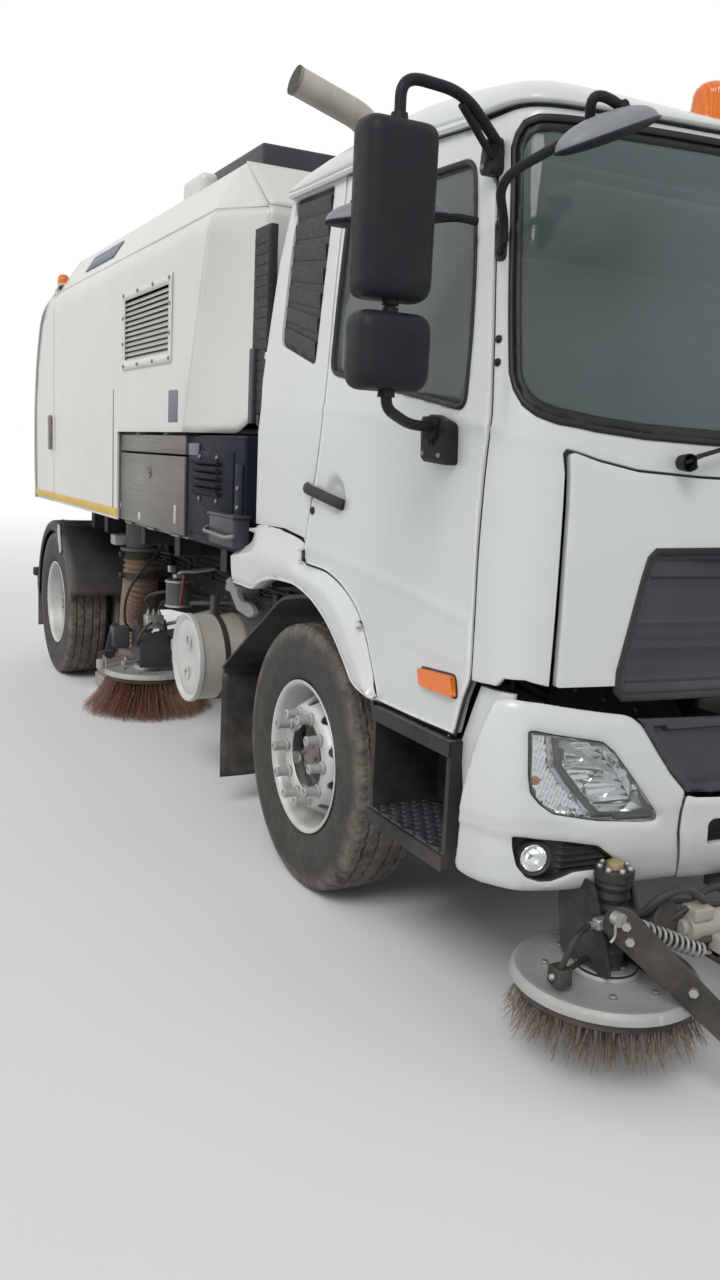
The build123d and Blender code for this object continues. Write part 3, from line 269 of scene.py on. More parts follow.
def denser(loop, step):
    # adds points along a closed outline so that no edge is longer than step
    out = []
    for a, b in zip(loop, np.roll(loop, -1, 0)):
        n = max(1, int(np.ceil(np.linalg.norm(b - a) / step)))
        out += [a + (b - a) * k / n for k in range(n)]
    return np.array(out)


def insideLoop(pts, loop):
    # counts how often a level ray from each point crosses the outline
    x, y = pts[:, 0][:, None], pts[:, 1][:, None]
    x1, y1 = loop[:, 0], loop[:, 1]
    x2, y2 = np.roll(x1, -1), np.roll(y1, -1)
    dy = np.where(np.abs(y2 - y1) < 1e-12, 1e-12, y2 - y1)
    cross = ((y1 > y) != (y2 > y)) & (x < (x2 - x1) * (y - y1) / dy + x1)
    return cross.sum(1) % 2 == 1


def nearLine(x, y, line):
    # distance from each point to an open line
    line = np.array(line, float)
    a, b = line[:-1], line[1:]
    ab = b - a
    p = np.stack([x, y], -1)[:, None]
    t = np.clip(((p - a) * ab).sum(-1) / np.maximum((ab ** 2).sum(-1), 1e-12), 0, 1)[..., None]
    return np.linalg.norm(p - (a + ab * t), axis=-1).min(1)


def nearLoop(pts, loop):
    return nearLine(pts[:, 0], pts[:, 1], np.vstack([loop, loop[:1]]))


def panel(outline, holes, step, lay, flip=False):
    # flat sheet in two parameters: an even grid inside the outline, joined to its edges
    # and to the holes' edges, then laid on a surface by lay(a, b) -> (n,3)
    loops = [denser(np.asarray(outline), step)] + [denser(np.asarray(h), step) for h in holes]
    low, high = loops[0].min(0), loops[0].max(0)
    na, nb = [max(2, int((h - l) / step)) for l, h in zip(low, high)]
    g = np.stack(np.meshgrid(np.linspace(low[0], high[0], na), np.linspace(low[1], high[1], nb)), -1)
    g = g.reshape(-1, 2)
    keep = insideLoop(g, loops[0]) & (nearLoop(g, loops[0]) > step * 0.45)
    for h in loops[1:]:
        keep &= ~insideLoop(g, h) & (nearLoop(g, h) > step * 0.45)
    g = g[keep]
    pts, edges = [], []
    for h in loops:
        base = len(pts)
        pts += h.tolist()
        edges += [(base + k, base + (k + 1) % len(h)) for k in range(len(h))]
    pts = np.array(pts + g.tolist())
    got = delaunay_2d_cdt([Vector(p) for p in pts], edges, [], 0, 1e-6)
    flat = np.array([v[:] for v in got[0]])
    tris = np.array([f[:] for f in got[2]])
    mid = flat[tris].mean(1)
    ok = insideLoop(mid, loops[0])
    for h in loops[1:]:
        ok &= ~insideLoop(mid, h)
    tris = tris[ok]
    return lay(flat[:, 0], flat[:, 1]), (tris[:, ::-1] if flip else tris)


def runOf(points):
    # length along a line up to each of its points
    return np.concatenate([[0], np.cumsum(np.linalg.norm(np.diff(points, axis=0), axis=1))])


def thicken(obj, depth, bevel=0.0, offset=-1):
    m = obj.modifiers.new("wall", "SOLIDIFY")
    m.thickness, m.offset, m.use_even_offset = depth, offset, False
    if bevel:
        b = obj.modifiers.new("edge", "BEVEL")
        b.width, b.segments, b.limit_method, b.angle_limit = bevel, 2, "ANGLE", math.radians(50)
        b.harden_normals = False
    return obj


def smoothThrough(xs, ys, x):
    # monotone cubic through the given values
    xs, ys = np.array(xs, float), np.array(ys, float)
    h, d = np.diff(xs), np.diff(ys) / np.diff(xs)
    inner = np.where(d[1:] * d[:-1] > 0, 2 * d[1:] * d[:-1] / (d[1:] + d[:-1] + 1e-15), 0)
    m = np.concatenate([[d[0]], inner, [d[-1]]])
    x = np.clip(np.asarray(x, float), xs[0], xs[-1])
    k = np.clip(np.searchsorted(xs, x) - 1, 0, len(h) - 1)
    t = (x - xs[k]) / h[k]
    return ((2 * t**3 - 3 * t**2 + 1) * ys[k] + (t**3 - 2 * t**2 + t) * h[k] * m[k] + (3 * t**2 - 2 * t**3)
            * ys[k + 1] + (t**3 - t**2) * h[k] * m[k + 1])


# finishes

look = {}


def add(tree, kind, **values):
    # a new node; each value goes to the input or the setting of its name, and a socket is linked
    node = tree.nodes.new(kind)
    for key, value in values.items():
        if isinstance(value, bpy.types.NodeSocket):
            tree.links.new(value, node.inputs[key])
        elif key in node.inputs:
            node.inputs[key].default_value = value
        else:
            setattr(node, key, value)
    return node


def feed(tree, node, values):
    for key, value in values.items():
        if isinstance(value, bpy.types.NodeSocket):
            tree.links.new(value, node.inputs[key])
        else:
            node.inputs[key].default_value = value
    return node


def nodesOf(name):
    # a new finish: its tree, its shader and the object coordinates
    look[name] = bpy.data.materials.new(name)
    look[name].use_nodes = True
    tree = look[name].node_tree
    return tree, tree.nodes["Principled BSDF"], add(tree, "ShaderNodeTexCoord").outputs["Object"]


def noiseAt(tree, where, scale, detail=4.0, rough=0.55, stretch=None):
    # fractal noise over the given coordinates, drawn out along an axis where asked
    if stretch:
        where = add(tree, "ShaderNodeMapping", Scale=stretch, Vector=where).outputs["Vector"]
    noise = add(tree, "ShaderNodeTexNoise", Scale=scale, Detail=detail, Roughness=rough, Vector=where)
    return noise.outputs["Fac"]


def rangeOf(tree, value, low, high, toLow=0.0, toHigh=1.0):
    values = {"Value": value, "From Min": low, "From Max": high, "To Min": toLow, "To Max": toHigh}
    return feed(tree, add(tree, "ShaderNodeMapRange"), values).outputs["Result"]


def blendOf(tree, amount, first, second):
    n = add(tree, "ShaderNodeMix", data_type="RGBA")
    tree.links.new(amount, n.inputs["Factor"])
    for key, v in (("A", first), ("B", second)):
        socket = [s for s in n.inputs if s.name == key and s.type == "RGBA"][0]
        if isinstance(v, bpy.types.NodeSocket):
            tree.links.new(v, socket)
        else:
            socket.default_value = (*v, 1)
    return [s for s in n.outputs if s.type == "RGBA"][0]


def timesOf(tree, first, second, kind="MULTIPLY"):
    return feed(tree, add(tree, "ShaderNodeMath", operation=kind), {0: first, 1: second}).outputs[0]


def bumpOf(tree, height, strength, distance):
    return add(tree, "ShaderNodeBump", Strength=strength, Distance=distance,
               Height=height).outputs["Normal"]


def shade(colour, by):
    return tuple(min(0.95, c * by) for c in colour)


def tintOf(tree, place, colour, by):
    # slow change between a colour and its darker shade
    return blendOf(tree, rangeOf(tree, noiseAt(tree, place, 1.4, 3), 0.35, 0.65), colour, shade(colour, by))


def finish(name, colour, rough=0.5, metal=0.0, tone=0.08, dust=0.0, dustTo=1.0,
           dustColour=(0.36, 0.31, 0.25), scratch=0.0, grain=0.0, grainScale=300.0, wave=0.0, coat=0.0,
           stretch=None, spot=3.0, shine=0.5):
    # body colour shifted by two noises, dust thicker toward the ground, fine scratches,
    # roughness that follows the dirt, and a grain or a slow wave in the surface
    tree, shader, place = nodesOf(name)
    cloud = rangeOf(tree, noiseAt(tree, place, spot, 5, 0.6, stretch), 0.35, 0.65)
    out = blendOf(tree, cloud, shade(colour, 1 - tone), shade(colour, 1 + tone * 0.6))
    fine = noiseAt(tree, place, spot * 14, 3, 0.6, stretch)
    spread = 0.05 if coat else 0.17
    roughness = rangeOf(tree, fine, 0.3, 0.7, rough * (1 - spread), min(1, rough * (1 + spread)))
    if dust:
        height = add(tree, "ShaderNodeSeparateXYZ", Vector=place).outputs["Z"]
        low = rangeOf(tree, height, dustTo, 0.0)
        patch = rangeOf(tree, noiseAt(tree, place, 5.0, 8, 0.65), 0.36, 0.66)
        film = rangeOf(tree, noiseAt(tree, place, 1.3, 2), 0.4, 0.62, 0.0, dust * 0.22)
        amount = timesOf(tree, timesOf(tree, timesOf(tree, low, patch), dust), film, "ADD")
        out = blendOf(tree, amount, out, dustColour)
        roughness = timesOf(tree, roughness, timesOf(tree, amount, 0.35), "ADD")
    if scratch:
        marks = rangeOf(tree, noiseAt(tree, place, 26.0, 2, 0.4, (1, 1, 0.12)), 0.66, 0.72)
        out = blendOf(tree, timesOf(tree, marks, scratch), out,
                      tuple(min(0.9, c * 1.5 + 0.08) for c in colour))
    feed(tree, shader, {"Base Color": out, "Roughness": roughness, "Metallic": metal,
                        "Specular IOR Level": shine})
    if coat:
        feed(tree, shader, {"Coat Weight": coat, "Coat Roughness": 0.08})
    if grain or wave:
        height = noiseAt(tree, place, grainScale if grain else 9.0, 2, 0.5, stretch)
        feed(tree, shader, {"Normal": bumpOf(tree, height, 0.35, grain or wave)})


def glassFinish(name, colour, rough, through, film):
    # clear sheet with a faint film of dust that dulls it in patches
    tree, shader, place = nodesOf(name)
    patch = rangeOf(tree, noiseAt(tree, place, 2.2, 6, 0.6), 0.42, 0.75, rough, rough + film * 0.35)
    feed(tree, shader, {"Roughness": patch, "Base Color": tintOf(tree, place, colour, 0.88),
                        "Transmission Weight": through, "IOR": 1.45})


def paneFinish(name, colour, cover, edge):
    # window sheet: a thin tint that covers more toward grazing sight, with a film of dust in patches
    tree, shader, place = nodesOf(name)
    film = rangeOf(tree, noiseAt(tree, place, 2.4, 6, 0.6), 0.45, 0.75, 0.0, 0.05)
    facing = add(tree, "ShaderNodeLayerWeight", Blend=0.35).outputs["Facing"]
    hold = timesOf(tree, rangeOf(tree, facing, 0.0, 1.0, cover, edge), film, "ADD")
    feed(tree, shader, {"Alpha": hold, "Base Color": tintOf(tree, place, colour, 0.8),
                        "Roughness": rangeOf(tree, film, 0.0, 0.05, 0.02, 0.1), "IOR": 1.52})


def lampFinish(name, colour, pitch=0.01, through=0.6):
    # moulded lens: fine flutes run across it; the colour darkens toward each flute's low side as painted
    # shade
    tree, shader, place = nodesOf(name)
    flutes = add(tree, "ShaderNodeTexWave", Scale=0.32 / pitch, bands_direction="X",
                 Vector=place).outputs["Fac"]
    feed(tree, shader, {"Normal": bumpOf(tree, flutes, 0.5, 0.002),
                        "Base Color": blendOf(tree, flutes, shade(colour, 0.82), colour),
                        "Roughness": rangeOf(tree, noiseAt(tree, place, 40, 3), 0.3, 0.7, 0.08, 0.2),
                        "Transmission Weight": through, "IOR": 1.49})


def rubberFinish(name, colour, dust):
    # tyre rubber: dust lies in the treads and on the shoulder, the walls stay darker
    tree, shader, place = nodesOf(name)
    depth = add(tree, "ShaderNodeAttribute", attribute_name="depth").outputs["Fac"]
    cloud = rangeOf(tree, noiseAt(tree, place, 7, 7, 0.65), 0.36, 0.64)
    base = blendOf(tree, cloud, shade(colour, 0.8), shade(colour, 1.35))
    patch = rangeOf(tree, noiseAt(tree, place, 16, 8, 0.7), 0.34, 0.68, 0.15, 1.0)
    amount = timesOf(tree, timesOf(tree, depth, patch), dust)
    feed(tree, shader, {"Base Color": blendOf(tree, amount, base, (0.27, 0.235, 0.19)),
                        "Roughness": rangeOf(tree, cloud, 0, 1, 0.62, 0.86), "Specular IOR Level": 0.35,
                        "Normal": bumpOf(tree, noiseAt(tree, place, 130, 3), 0.4, 0.0012)})


def bristleFinish(name, colour, tip):
    # plastic bristles: each strand takes its own tone, tips worn pale
    tree, shader, place = nodesOf(name)
    strand = add(tree, "ShaderNodeAttribute", attribute_name="strand").outputs["Fac"]
    worn = rangeOf(tree, noiseAt(tree, place, 60, 3), 0.4, 0.7, 0, 0.6)
    out = blendOf(tree, worn, blendOf(tree, strand, colour, tip), shade(colour, 0.6))
    feed(tree, shader, {"Base Color": out, "Roughness": rangeOf(tree, strand, 0, 1, 0.45, 0.75)})


finish("cabPaint", (0.585, 0.605, 0.605), 0.3, tone=0.02, dust=0.22, dustTo=1.4, coat=0.3)
finish("hullPaint", (0.6, 0.59, 0.555), 0.34, tone=0.03, dust=0.16, dustTo=2.4, wave=0.0006, coat=0.25,
       dustColour=(0.42, 0.39, 0.34))
finish("bluePaint", (0.0095, 0.0125, 0.022), tone=0.16, dust=0.02, dustTo=2.2, wave=0.0006, shine=0.08)
finish("stripePaint", (0.62, 0.4, 0.03), 0.42, tone=0.1, dust=0.25, dustTo=2.0, scratch=0.2)
finish("blackPlastic", (0.015, 0.015, 0.017), 0.55, tone=0.2, dust=0.2, dustTo=1.4, shine=0.3, grain=0.0006,
       grainScale=420)
finish("ventBlack", (0.032, 0.031, 0.033), tone=0.1, dust=0.08, dustTo=3.0, shine=0.2)
finish("greyPlastic", (0.03, 0.034, 0.043), 0.42, tone=0.12, dust=0.12, dustTo=1.5, shine=0.35,
       grain=0.0006, grainScale=420)
finish("slateVinyl", (0.12, 0.14, 0.19), tone=0.12, dust=0.2, dustTo=2.4)
finish("paleShell", (0.46, 0.47, 0.475), 0.4, dust=0.2, dustTo=3.0, wave=0.0008)
finish("frameBlack", (0.017, 0.017, 0.018), 0.55, tone=0.25, dust=0.26, dustTo=1.2, scratch=0.15, shine=0.3,
       wave=0.0012)
finish("steelDusty", (0.23, 0.22, 0.2), 0.48, 0.7, 0.2, 0.5, 1.2, scratch=0.25, grain=0.0004,
       grainScale=200)
finish("stainless", (0.165, 0.157, 0.145), 0.4, 0.85, 0.14, 0.3, 2.2, stretch=(1, 0.04, 1), spot=9,
       grain=0.0003, grainScale=160)
finish("wheelSilver", (0.55, 0.555, 0.56), 0.38, 0.25, 0.1, 0.5, 1.15, scratch=0.12, wave=0.0007)
finish("castGrey", (0.12, 0.118, 0.112), 0.62, 0.3, 0.2, 0.6, 1.4, grain=0.0015, grainScale=110)
finish("drumGrey", (0.55, 0.56, 0.55), 0.4, 0.2, 0.1, 0.45, 1.4, wave=0.001, scratch=0.15)
finish("stackBeige", (0.4, 0.37, 0.32), 0.5, 0.3, 0.2, 0.2, 3.0, scratch=0.2)
finish("hoseBlack", (0.015, 0.015, 0.016), tone=0.2, dust=0.2, dustTo=1.2, grain=0.0005, shine=0.35,
       grainScale=260)
finish("ductBrown", (0.2, 0.118, 0.074), 0.58, tone=0.2, dust=0.5, dustTo=1.1, wave=0.001)
finish("discPale", (0.36, 0.375, 0.375), 0.45, 0.2, 0.14, 0.55, 0.8, scratch=0.3)
finish("seatCloth", (0.045, 0.047, 0.052), 0.85, tone=0.2, grain=0.0012, grainScale=700)
finish("dashPlastic", (0.11, 0.11, 0.115), 0.6, tone=0.1, grain=0.0008, grainScale=380)
finish("liningGrey", (0.2, 0.2, 0.205), 0.75, tone=0.1, grain=0.001)
finish("rubberSeal", (0.01, 0.01, 0.011), tone=0.25, shine=0.35, grain=0.0003)
finish("mirrorFace", (0.75, 0.77, 0.78), 0.04, 1.0, 0.03)
finish("reflector", (0.8, 0.81, 0.82), 0.12, 1.0, 0.05, grain=0.002, grainScale=70)
finish("plateBare", (0.5, 0.51, 0.52), 0.45, tone=0.07, dust=0.3)
finish("leverRed", (0.16, 0.012, 0.02), tone=0.2, dust=0.2, dustTo=1.2)
finish("brassWorn", (0.42, 0.33, 0.17), 0.45, 0.6, 0.2, 0.3)
finish("cylinderBeige", (0.36, 0.35, 0.315), 0.48, tone=0.16, dust=0.5, scratch=0.25)
finish("steelBright", (0.42, 0.41, 0.385), 0.4, 0.75, 0.2, 0.4)
finish("drumBeige", (0.44, 0.42, 0.37), 0.5, 0.15, 0.12, 0.45, 1.4, scratch=0.15)
finish("canGreen", (0.04, 0.052, 0.05), tone=0.2, dust=0.4, dustTo=1.4, wave=0.0008)
finish("mirrorPlastic", (0.012, 0.0135, 0.018), 0.46, shine=0.16, tone=0.15, dust=0.05, dustTo=3.4,
       grain=0.0005, grainScale=420)
finish("mirrorGrey", (0.2, 0.215, 0.235), tone=0.12, dust=0.2, dustTo=3.4, grain=0.0004, grainScale=380)
finish("guardBlack", (0.014, 0.014, 0.016), 0.55, tone=0.25, dust=0.3, dustTo=1.1, grain=0.0006,
       grainScale=160)
paneFinish("glass", (0.2, 0.26, 0.255), 0.22, 0.7)
paneFinish("glassDark", (0.15, 0.185, 0.185), 0.26, 0.8)
glassFinish("lampClear", (0.86, 0.88, 0.88), 0.03, 0.95, 0.08)
lampFinish("amberLens", (0.92, 0.2, 0.006), through=0.25)
lampFinish("redLens", (0.55, 0.02, 0.015))
rubberFinish("tyreRubber", (0.026, 0.025, 0.024), 0.75)
bristleFinish("bristle", (0.085, 0.03, 0.018), (0.26, 0.12, 0.07))
bristleFinish("bristleGrey", (0.075, 0.048, 0.034), (0.28, 0.23, 0.18))
print("finishes:", len(look))


# floor, light and camera

stage = {"floorHalf": 60.0, "floorSink": 0.001, "lit": (7.0, 20.0), "soft": (0.95, 0.975, 1.0, 1),
         "softStrength": 0.62, "suns": (("keySun", (0.62, 0.6, -0.85), 1.55, 26),
                                        ("fillSun", (0.9, -0.5, -0.5), 0.35, 60))}
# where the photograph was taken: yaw from +Y toward +X, pitch down, and a slight roll
view = {"at": (-2.811, -5.175, 1.681), "yaw": 0.4843, "pitch": 0.1721, "roll": 0.046, "lens": 29.907,
        "sensor": 36.0}


def mixOf(tree, amount, first, second):
    return feed(tree, add(tree, "ShaderNodeMixShader"), {0: amount, 1: first, 2: second}).outputs[0]


def rayOf(tree, *kinds):
    # one where the ray is of any of the given kinds
    path = add(tree, "ShaderNodeLightPath")
    seen = path.outputs[kinds[0]]
    for kind in kinds[1:]:
        seen = timesOf(tree, seen, path.outputs[kind], "MAXIMUM")
    return seen


def setFloor():
    # pale ground that fades into the white background far from the truck
    count = 25
    g = np.linspace(-stage["floorHalf"], stage["floorHalf"], count)
    p = np.stack(np.meshgrid(g, g, indexing="ij"), -1).reshape(-1, 2)
    mesh = bpy.data.meshes.new("studioFloor")
    mesh.from_pydata(np.column_stack([p, np.full(len(p), -stage["floorSink"])]).tolist(), [],
                     gridFaces(count, count).tolist())
    floor = bpy.data.objects.new("studioFloor", mesh)
    bpy.context.scene.collection.objects.link(floor)
    tree, shader, place = nodesOf("floorPale")
    tone = blendOf(tree, noiseAt(tree, place, 0.6, 2), (0.7, 0.7, 0.7), (0.72, 0.72, 0.72))
    feed(tree, shader, {"Base Color": tone, "Roughness": 0.9, "Specular IOR Level": 0.1})
    far = add(tree, "ShaderNodeVectorMath", operation="LENGTH")
    tree.links.new(place, far.inputs[0])
    fade = rangeOf(tree, far.outputs["Value"], *stage["lit"])
    white = add(tree, "ShaderNodeEmission", Color=(1, 1, 1, 1), Strength=1.0)
    amount = timesOf(tree, fade, rayOf(tree, "Is Camera Ray", "Is Glossy Ray"))
    surface = mixOf(tree, amount, shader.outputs[0], white.outputs[0])
    tree.links.new(surface, tree.nodes["Material Output"].inputs["Surface"])
    mesh.materials.append(look["floorPale"])


def setLight():
    world = bpy.data.worlds.new("studioWorld")
    bpy.context.scene.world = world
    world.use_nodes = True
    tree = world.node_tree
    tree.nodes.clear()
    soft = add(tree, "ShaderNodeBackground", Color=stage["soft"], Strength=stage["softStrength"])
    white = add(tree, "ShaderNodeBackground", Color=(1, 1, 1, 1), Strength=1.0)
    seen = rayOf(tree, "Is Camera Ray", "Is Glossy Ray", "Is Transmission Ray")
    add(tree, "ShaderNodeOutputWorld", Surface=mixOf(tree, seen, soft.outputs[0], white.outputs[0]))
    for name, toward, strength, angle in stage["suns"]:
        lamp = bpy.data.lights.new(name, "SUN")
        lamp.energy, lamp.angle, lamp.color = strength, math.radians(angle), (1.0, 0.985, 0.96)
        sun = bpy.data.objects.new(name, lamp)
        sun.rotation_euler = Vector(toward).to_track_quat("-Z", "Y").to_euler()
        bpy.context.scene.collection.objects.link(sun)


def setCamera():
    yaw, pitch, roll = view["yaw"], view["pitch"], view["roll"]
    ahead = np.array([math.sin(yaw) * math.cos(pitch), math.cos(yaw) * math.cos(pitch), -math.sin(pitch)])
    right = np.array([math.cos(yaw), -math.sin(yaw), 0])
    up = np.cross(right, ahead)
    cam = bpy.data.cameras.new("photoCamera")
    cam.lens, cam.sensor_width, cam.sensor_fit, cam.clip_end = view["lens"], view["sensor"], "AUTO", 500
    obj = bpy.data.objects.new("photoCamera", cam)
    m = np.eye(4)
    m[:3, 0] = math.cos(roll) * right + math.sin(roll) * up
    m[:3, 1] = math.cos(roll) * up - math.sin(roll) * right
    m[:3, 2], m[:3, 3] = -ahead, view["at"]
    obj.matrix_world = Matrix(m.tolist())
    bpy.context.scene.collection.objects.link(obj)
    bpy.context.scene.camera = obj


bpy.context.scene.view_settings.view_transform = "Standard"
setFloor()
setLight()
setCamera()
print("floor, light and camera set")


# wheels and tyres

tyre = {"half": 0.14, "across": 100, "around": 400, "grooves": (-0.08, -0.03, 0.03, 0.08),
        "grooveHalf": 0.0055, "grooveDepth": 0.013, "zigzag": 0.0035, "zigs": 48, "slots": 76,
        "slotDepth": 0.005, "rings": ((0.33, 0.004), (0.47, 0.0035), (0.455, 0.003)), "ringHeight": 0.0016}


def tyreWall(across):
    # the section from bead to bead: smooth curves through (along, radius) against the run
    run = [0, 0.02, 0.06, 0.13, 0.19, 0.25, 0.29, 0.32, 0.345, 0.36]
    run += [0.5] + [1 - v for v in run[::-1]]
    side = [(-0.1, 0.289), (-0.112, 0.2985), (-0.123, 0.318), (-0.134, 0.356), (-0.1395, 0.396),
            (-0.1395, 0.436), (-0.1355, 0.468), (-0.13, 0.49), (-0.1235, 0.5055), (-0.112, 0.514)]
    prof = np.array(side + [(0, 0.52)] + [(-a, r) for a, r in side[::-1]])
    t = np.sort(np.concatenate([np.linspace(0, 0.355, int(across * 0.2)),
                                np.linspace(0.36, 0.64, int(across * 0.6)),
                                np.linspace(0.645, 1, int(across * 0.2))]))
    return np.stack([smoothThrough(run, prof[:, 0], t), smoothThrough(run, prof[:, 1], t)], 1)


def tyreForm(centre, across, around):
    prof = tyreWall(across)
    k = tyre

    def tread(along, rad, a):
        # zigzag grooves round the crown, short slots in the shoulders, thin rings on the walls
        crown = np.abs(along) < 0.112
        zig = np.abs(((a * k["zigs"] / (2 * math.pi)) % 1) - 0.5) * 4 - 1
        deep = np.zeros_like(rad)
        for at in k["grooves"]:
            near = np.abs(along - at - zig * k["zigzag"])
            deep = np.maximum(deep, np.clip((k["grooveHalf"] + 0.0015 - near) / 0.002, 0, 1))
        pitch = (a * k["slots"] / (2 * math.pi)) % 1
        slot = (np.abs(pitch - 0.5) < 0.13) & (np.abs(along) > 0.096) & (np.abs(along) < 0.1235)
        fine = (np.abs(pitch - 0.5) < 0.12) & (np.abs(np.abs(along) - 0.055) < 0.016)
        rad = rad - deep * k["grooveDepth"] * crown - slot * k["slotDepth"] - fine * 0.0025
        wall = ~crown & (rad < 0.5)
        rings = sum(np.exp(-((rad - at) / wide) ** 2) for at, wide in k["rings"])
        return along + np.sign(along) * wall * k["ringHeight"] * rings, rad

    part = spun(prof, around, "x", centre, False, tread)
    p = part[0] - np.array(centre)
    r = np.hypot(p[:, 1], p[:, 2])
    dust = np.clip((r - 0.44) / 0.06, 0.18, 0.85) + np.clip((0.5085 - r) / 0.006, 0,
                                                            0.3) * (np.abs(p[:, 0]) < 0.1)
    return part, dust


def ringOf(count, radius, phase=0.0):
    return [(radius * math.cos(v), radius * math.sin(v)) for v in angles(count) + phase]


def nutCap(length, radius=0.0175, count=14):
    # a stepped sleeve over a wheel nut with a hollowed end
    prof = [(0, radius * 1.45), (0.006, radius * 1.45), (0.01, radius * 1.12), (length - 0.014, radius),
            (length - 0.013, radius * 1.13), (length - 0.003, radius * 1.13), (length, radius * 0.95),
            (length, radius * 0.62), (length - 0.008, radius * 0.55), (length - 0.008, 0.0)]
    return spun(prof, count)


def facing(part, side):
    # parts are drawn for the +x side; the other side gets the mirror image
    return otherSide(part) if side < 0 else part


frontWheel = {"x": 1.015, "bore": 0.14, "disc": 0.2545, "holeCircle": 0.2195, "holes": 10,
              "holeSize": (0.026, 0.019)}
rearWheel = {"outer": 1.078, "inner": 0.762}
nuts = {"circle": 0.1675, "count": 10, "frontCap": 0.062, "rearCap": 0.045}
# rim flange, bead seat and well, from the outer lip to the inner one
rim = [(0.1, 0.284), (0.112, 0.2865), (0.1185, 0.2935), (0.1215, 0.2985), (0.1245, 0.2965),
       (0.1235, 0.2885), (0.1165, 0.279), (0.1, 0.2745), (0.07, 0.27), (0.045, 0.262), (0.02, 0.256),
       (-0.06, 0.2535), (-0.105, 0.274), (-0.118, 0.28), (-0.1215, 0.296), (-0.118, 0.2985),
       (-0.114, 0.287)]


def frontDisc():
    # flat disc of angle and radius: r runs from the bore to the rim, x follows the pressed shape
    k = frontWheel
    rs = [k["bore"], 0.146, 0.155, 0.185, 0.197, 0.212, 0.232, 0.246, k["disc"]]
    xs = [0.098, 0.106, 0.11, 0.11, 0.104, 0.08, 0.04, 0.018, 0.012]

    def lay(u, v):
        r = np.hypot(u, v)
        return np.stack([k["x"] + smoothThrough(rs, xs, r), u, v + axleZ], 1)

    holes = [np.array(ringOf(72, k["bore"]))]
    for cy, cz in ringOf(k["holes"], k["holeCircle"], math.pi / k["holes"]):
        a0, t = math.atan2(cz, cy), angles(22)
        u, v = k["holeSize"][0] * np.cos(t), k["holeSize"][1] * np.sin(t)
        holes.append(np.stack([cy - u * math.sin(a0) + v * math.cos(a0), cz + u * math.cos(a0) + v
                               * math.sin(a0)], 1))
    return panel(np.array(ringOf(120, k["disc"])), holes, 0.009, lay)


def frontWheelAt(side, word):
    k = frontWheel
    body = "wheel_front_" + word
    part, dust = tyreForm((side * k["x"], 0, axleZ), tyre["across"], tyre["around"])
    meshFrom("frontTyre_" + word, part, "tyreRubber", body, 30, instead=["front_tyre_" + word],
             tag=("depth", dust))
    whole = facing(shifted(spun(rim, 112, "x", (0, 0, axleZ)), (k["x"], 0, 0)), side)
    meshFrom("frontRim_" + word, whole, "wheelSilver", body, instead=["front_wheel_" + word])
    disc = meshFrom("frontDisc_" + word, facing(frontDisc(), side), "wheelSilver", body)
    thicken(disc, 0.012, 0.0022)
    caps = [shifted(nutCap(nuts["frontCap"]), (k["x"] + 0.11, y, z + axleZ)) for y,
            z in ringOf(nuts["count"], nuts["circle"])]
    meshFrom("frontNutCaps_" + word, facing(joined(caps), side), "discPale", body, slot="wheel_paint")
    hub = [(0.02, 0.15), (0.045, 0.139), (0.052, 0.118), (0.03, 0.108), (0.03, 0.082), (0.06, 0.078),
           (0.078, 0.074), (0.084, 0.066), (0.084, 0.03), (0.08, 0.026), (0.08, 0.0)]
    bits = [shifted(spun(hub, 64, "x"), (k["x"], 0, axleZ))]
    bolt = [(0, 0.0085), (0.01, 0.0085), (0.012, 0.006), (0.012, 0)]
    for count, radius, out, phase in ((6, 0.052, 0.084, 0.0), (10, 0.095, 0.03, 0.3)):
        bits += [shifted(spun(bolt, 6), (k["x"] + out, y, z + axleZ)) for y,
                 z in ringOf(count, radius, phase)]
    drum = [(-0.09, 0.0), (-0.09, 0.245), (-0.02, 0.247), (0.005, 0.235), (0.012, 0.2), (0.02, 0.15)]
    bits.append(shifted(spun(drum, 64, "x"), (k["x"], 0, axleZ)))
    meshFrom("frontHub_" + word, facing(joined(bits), side), "castGrey", body)


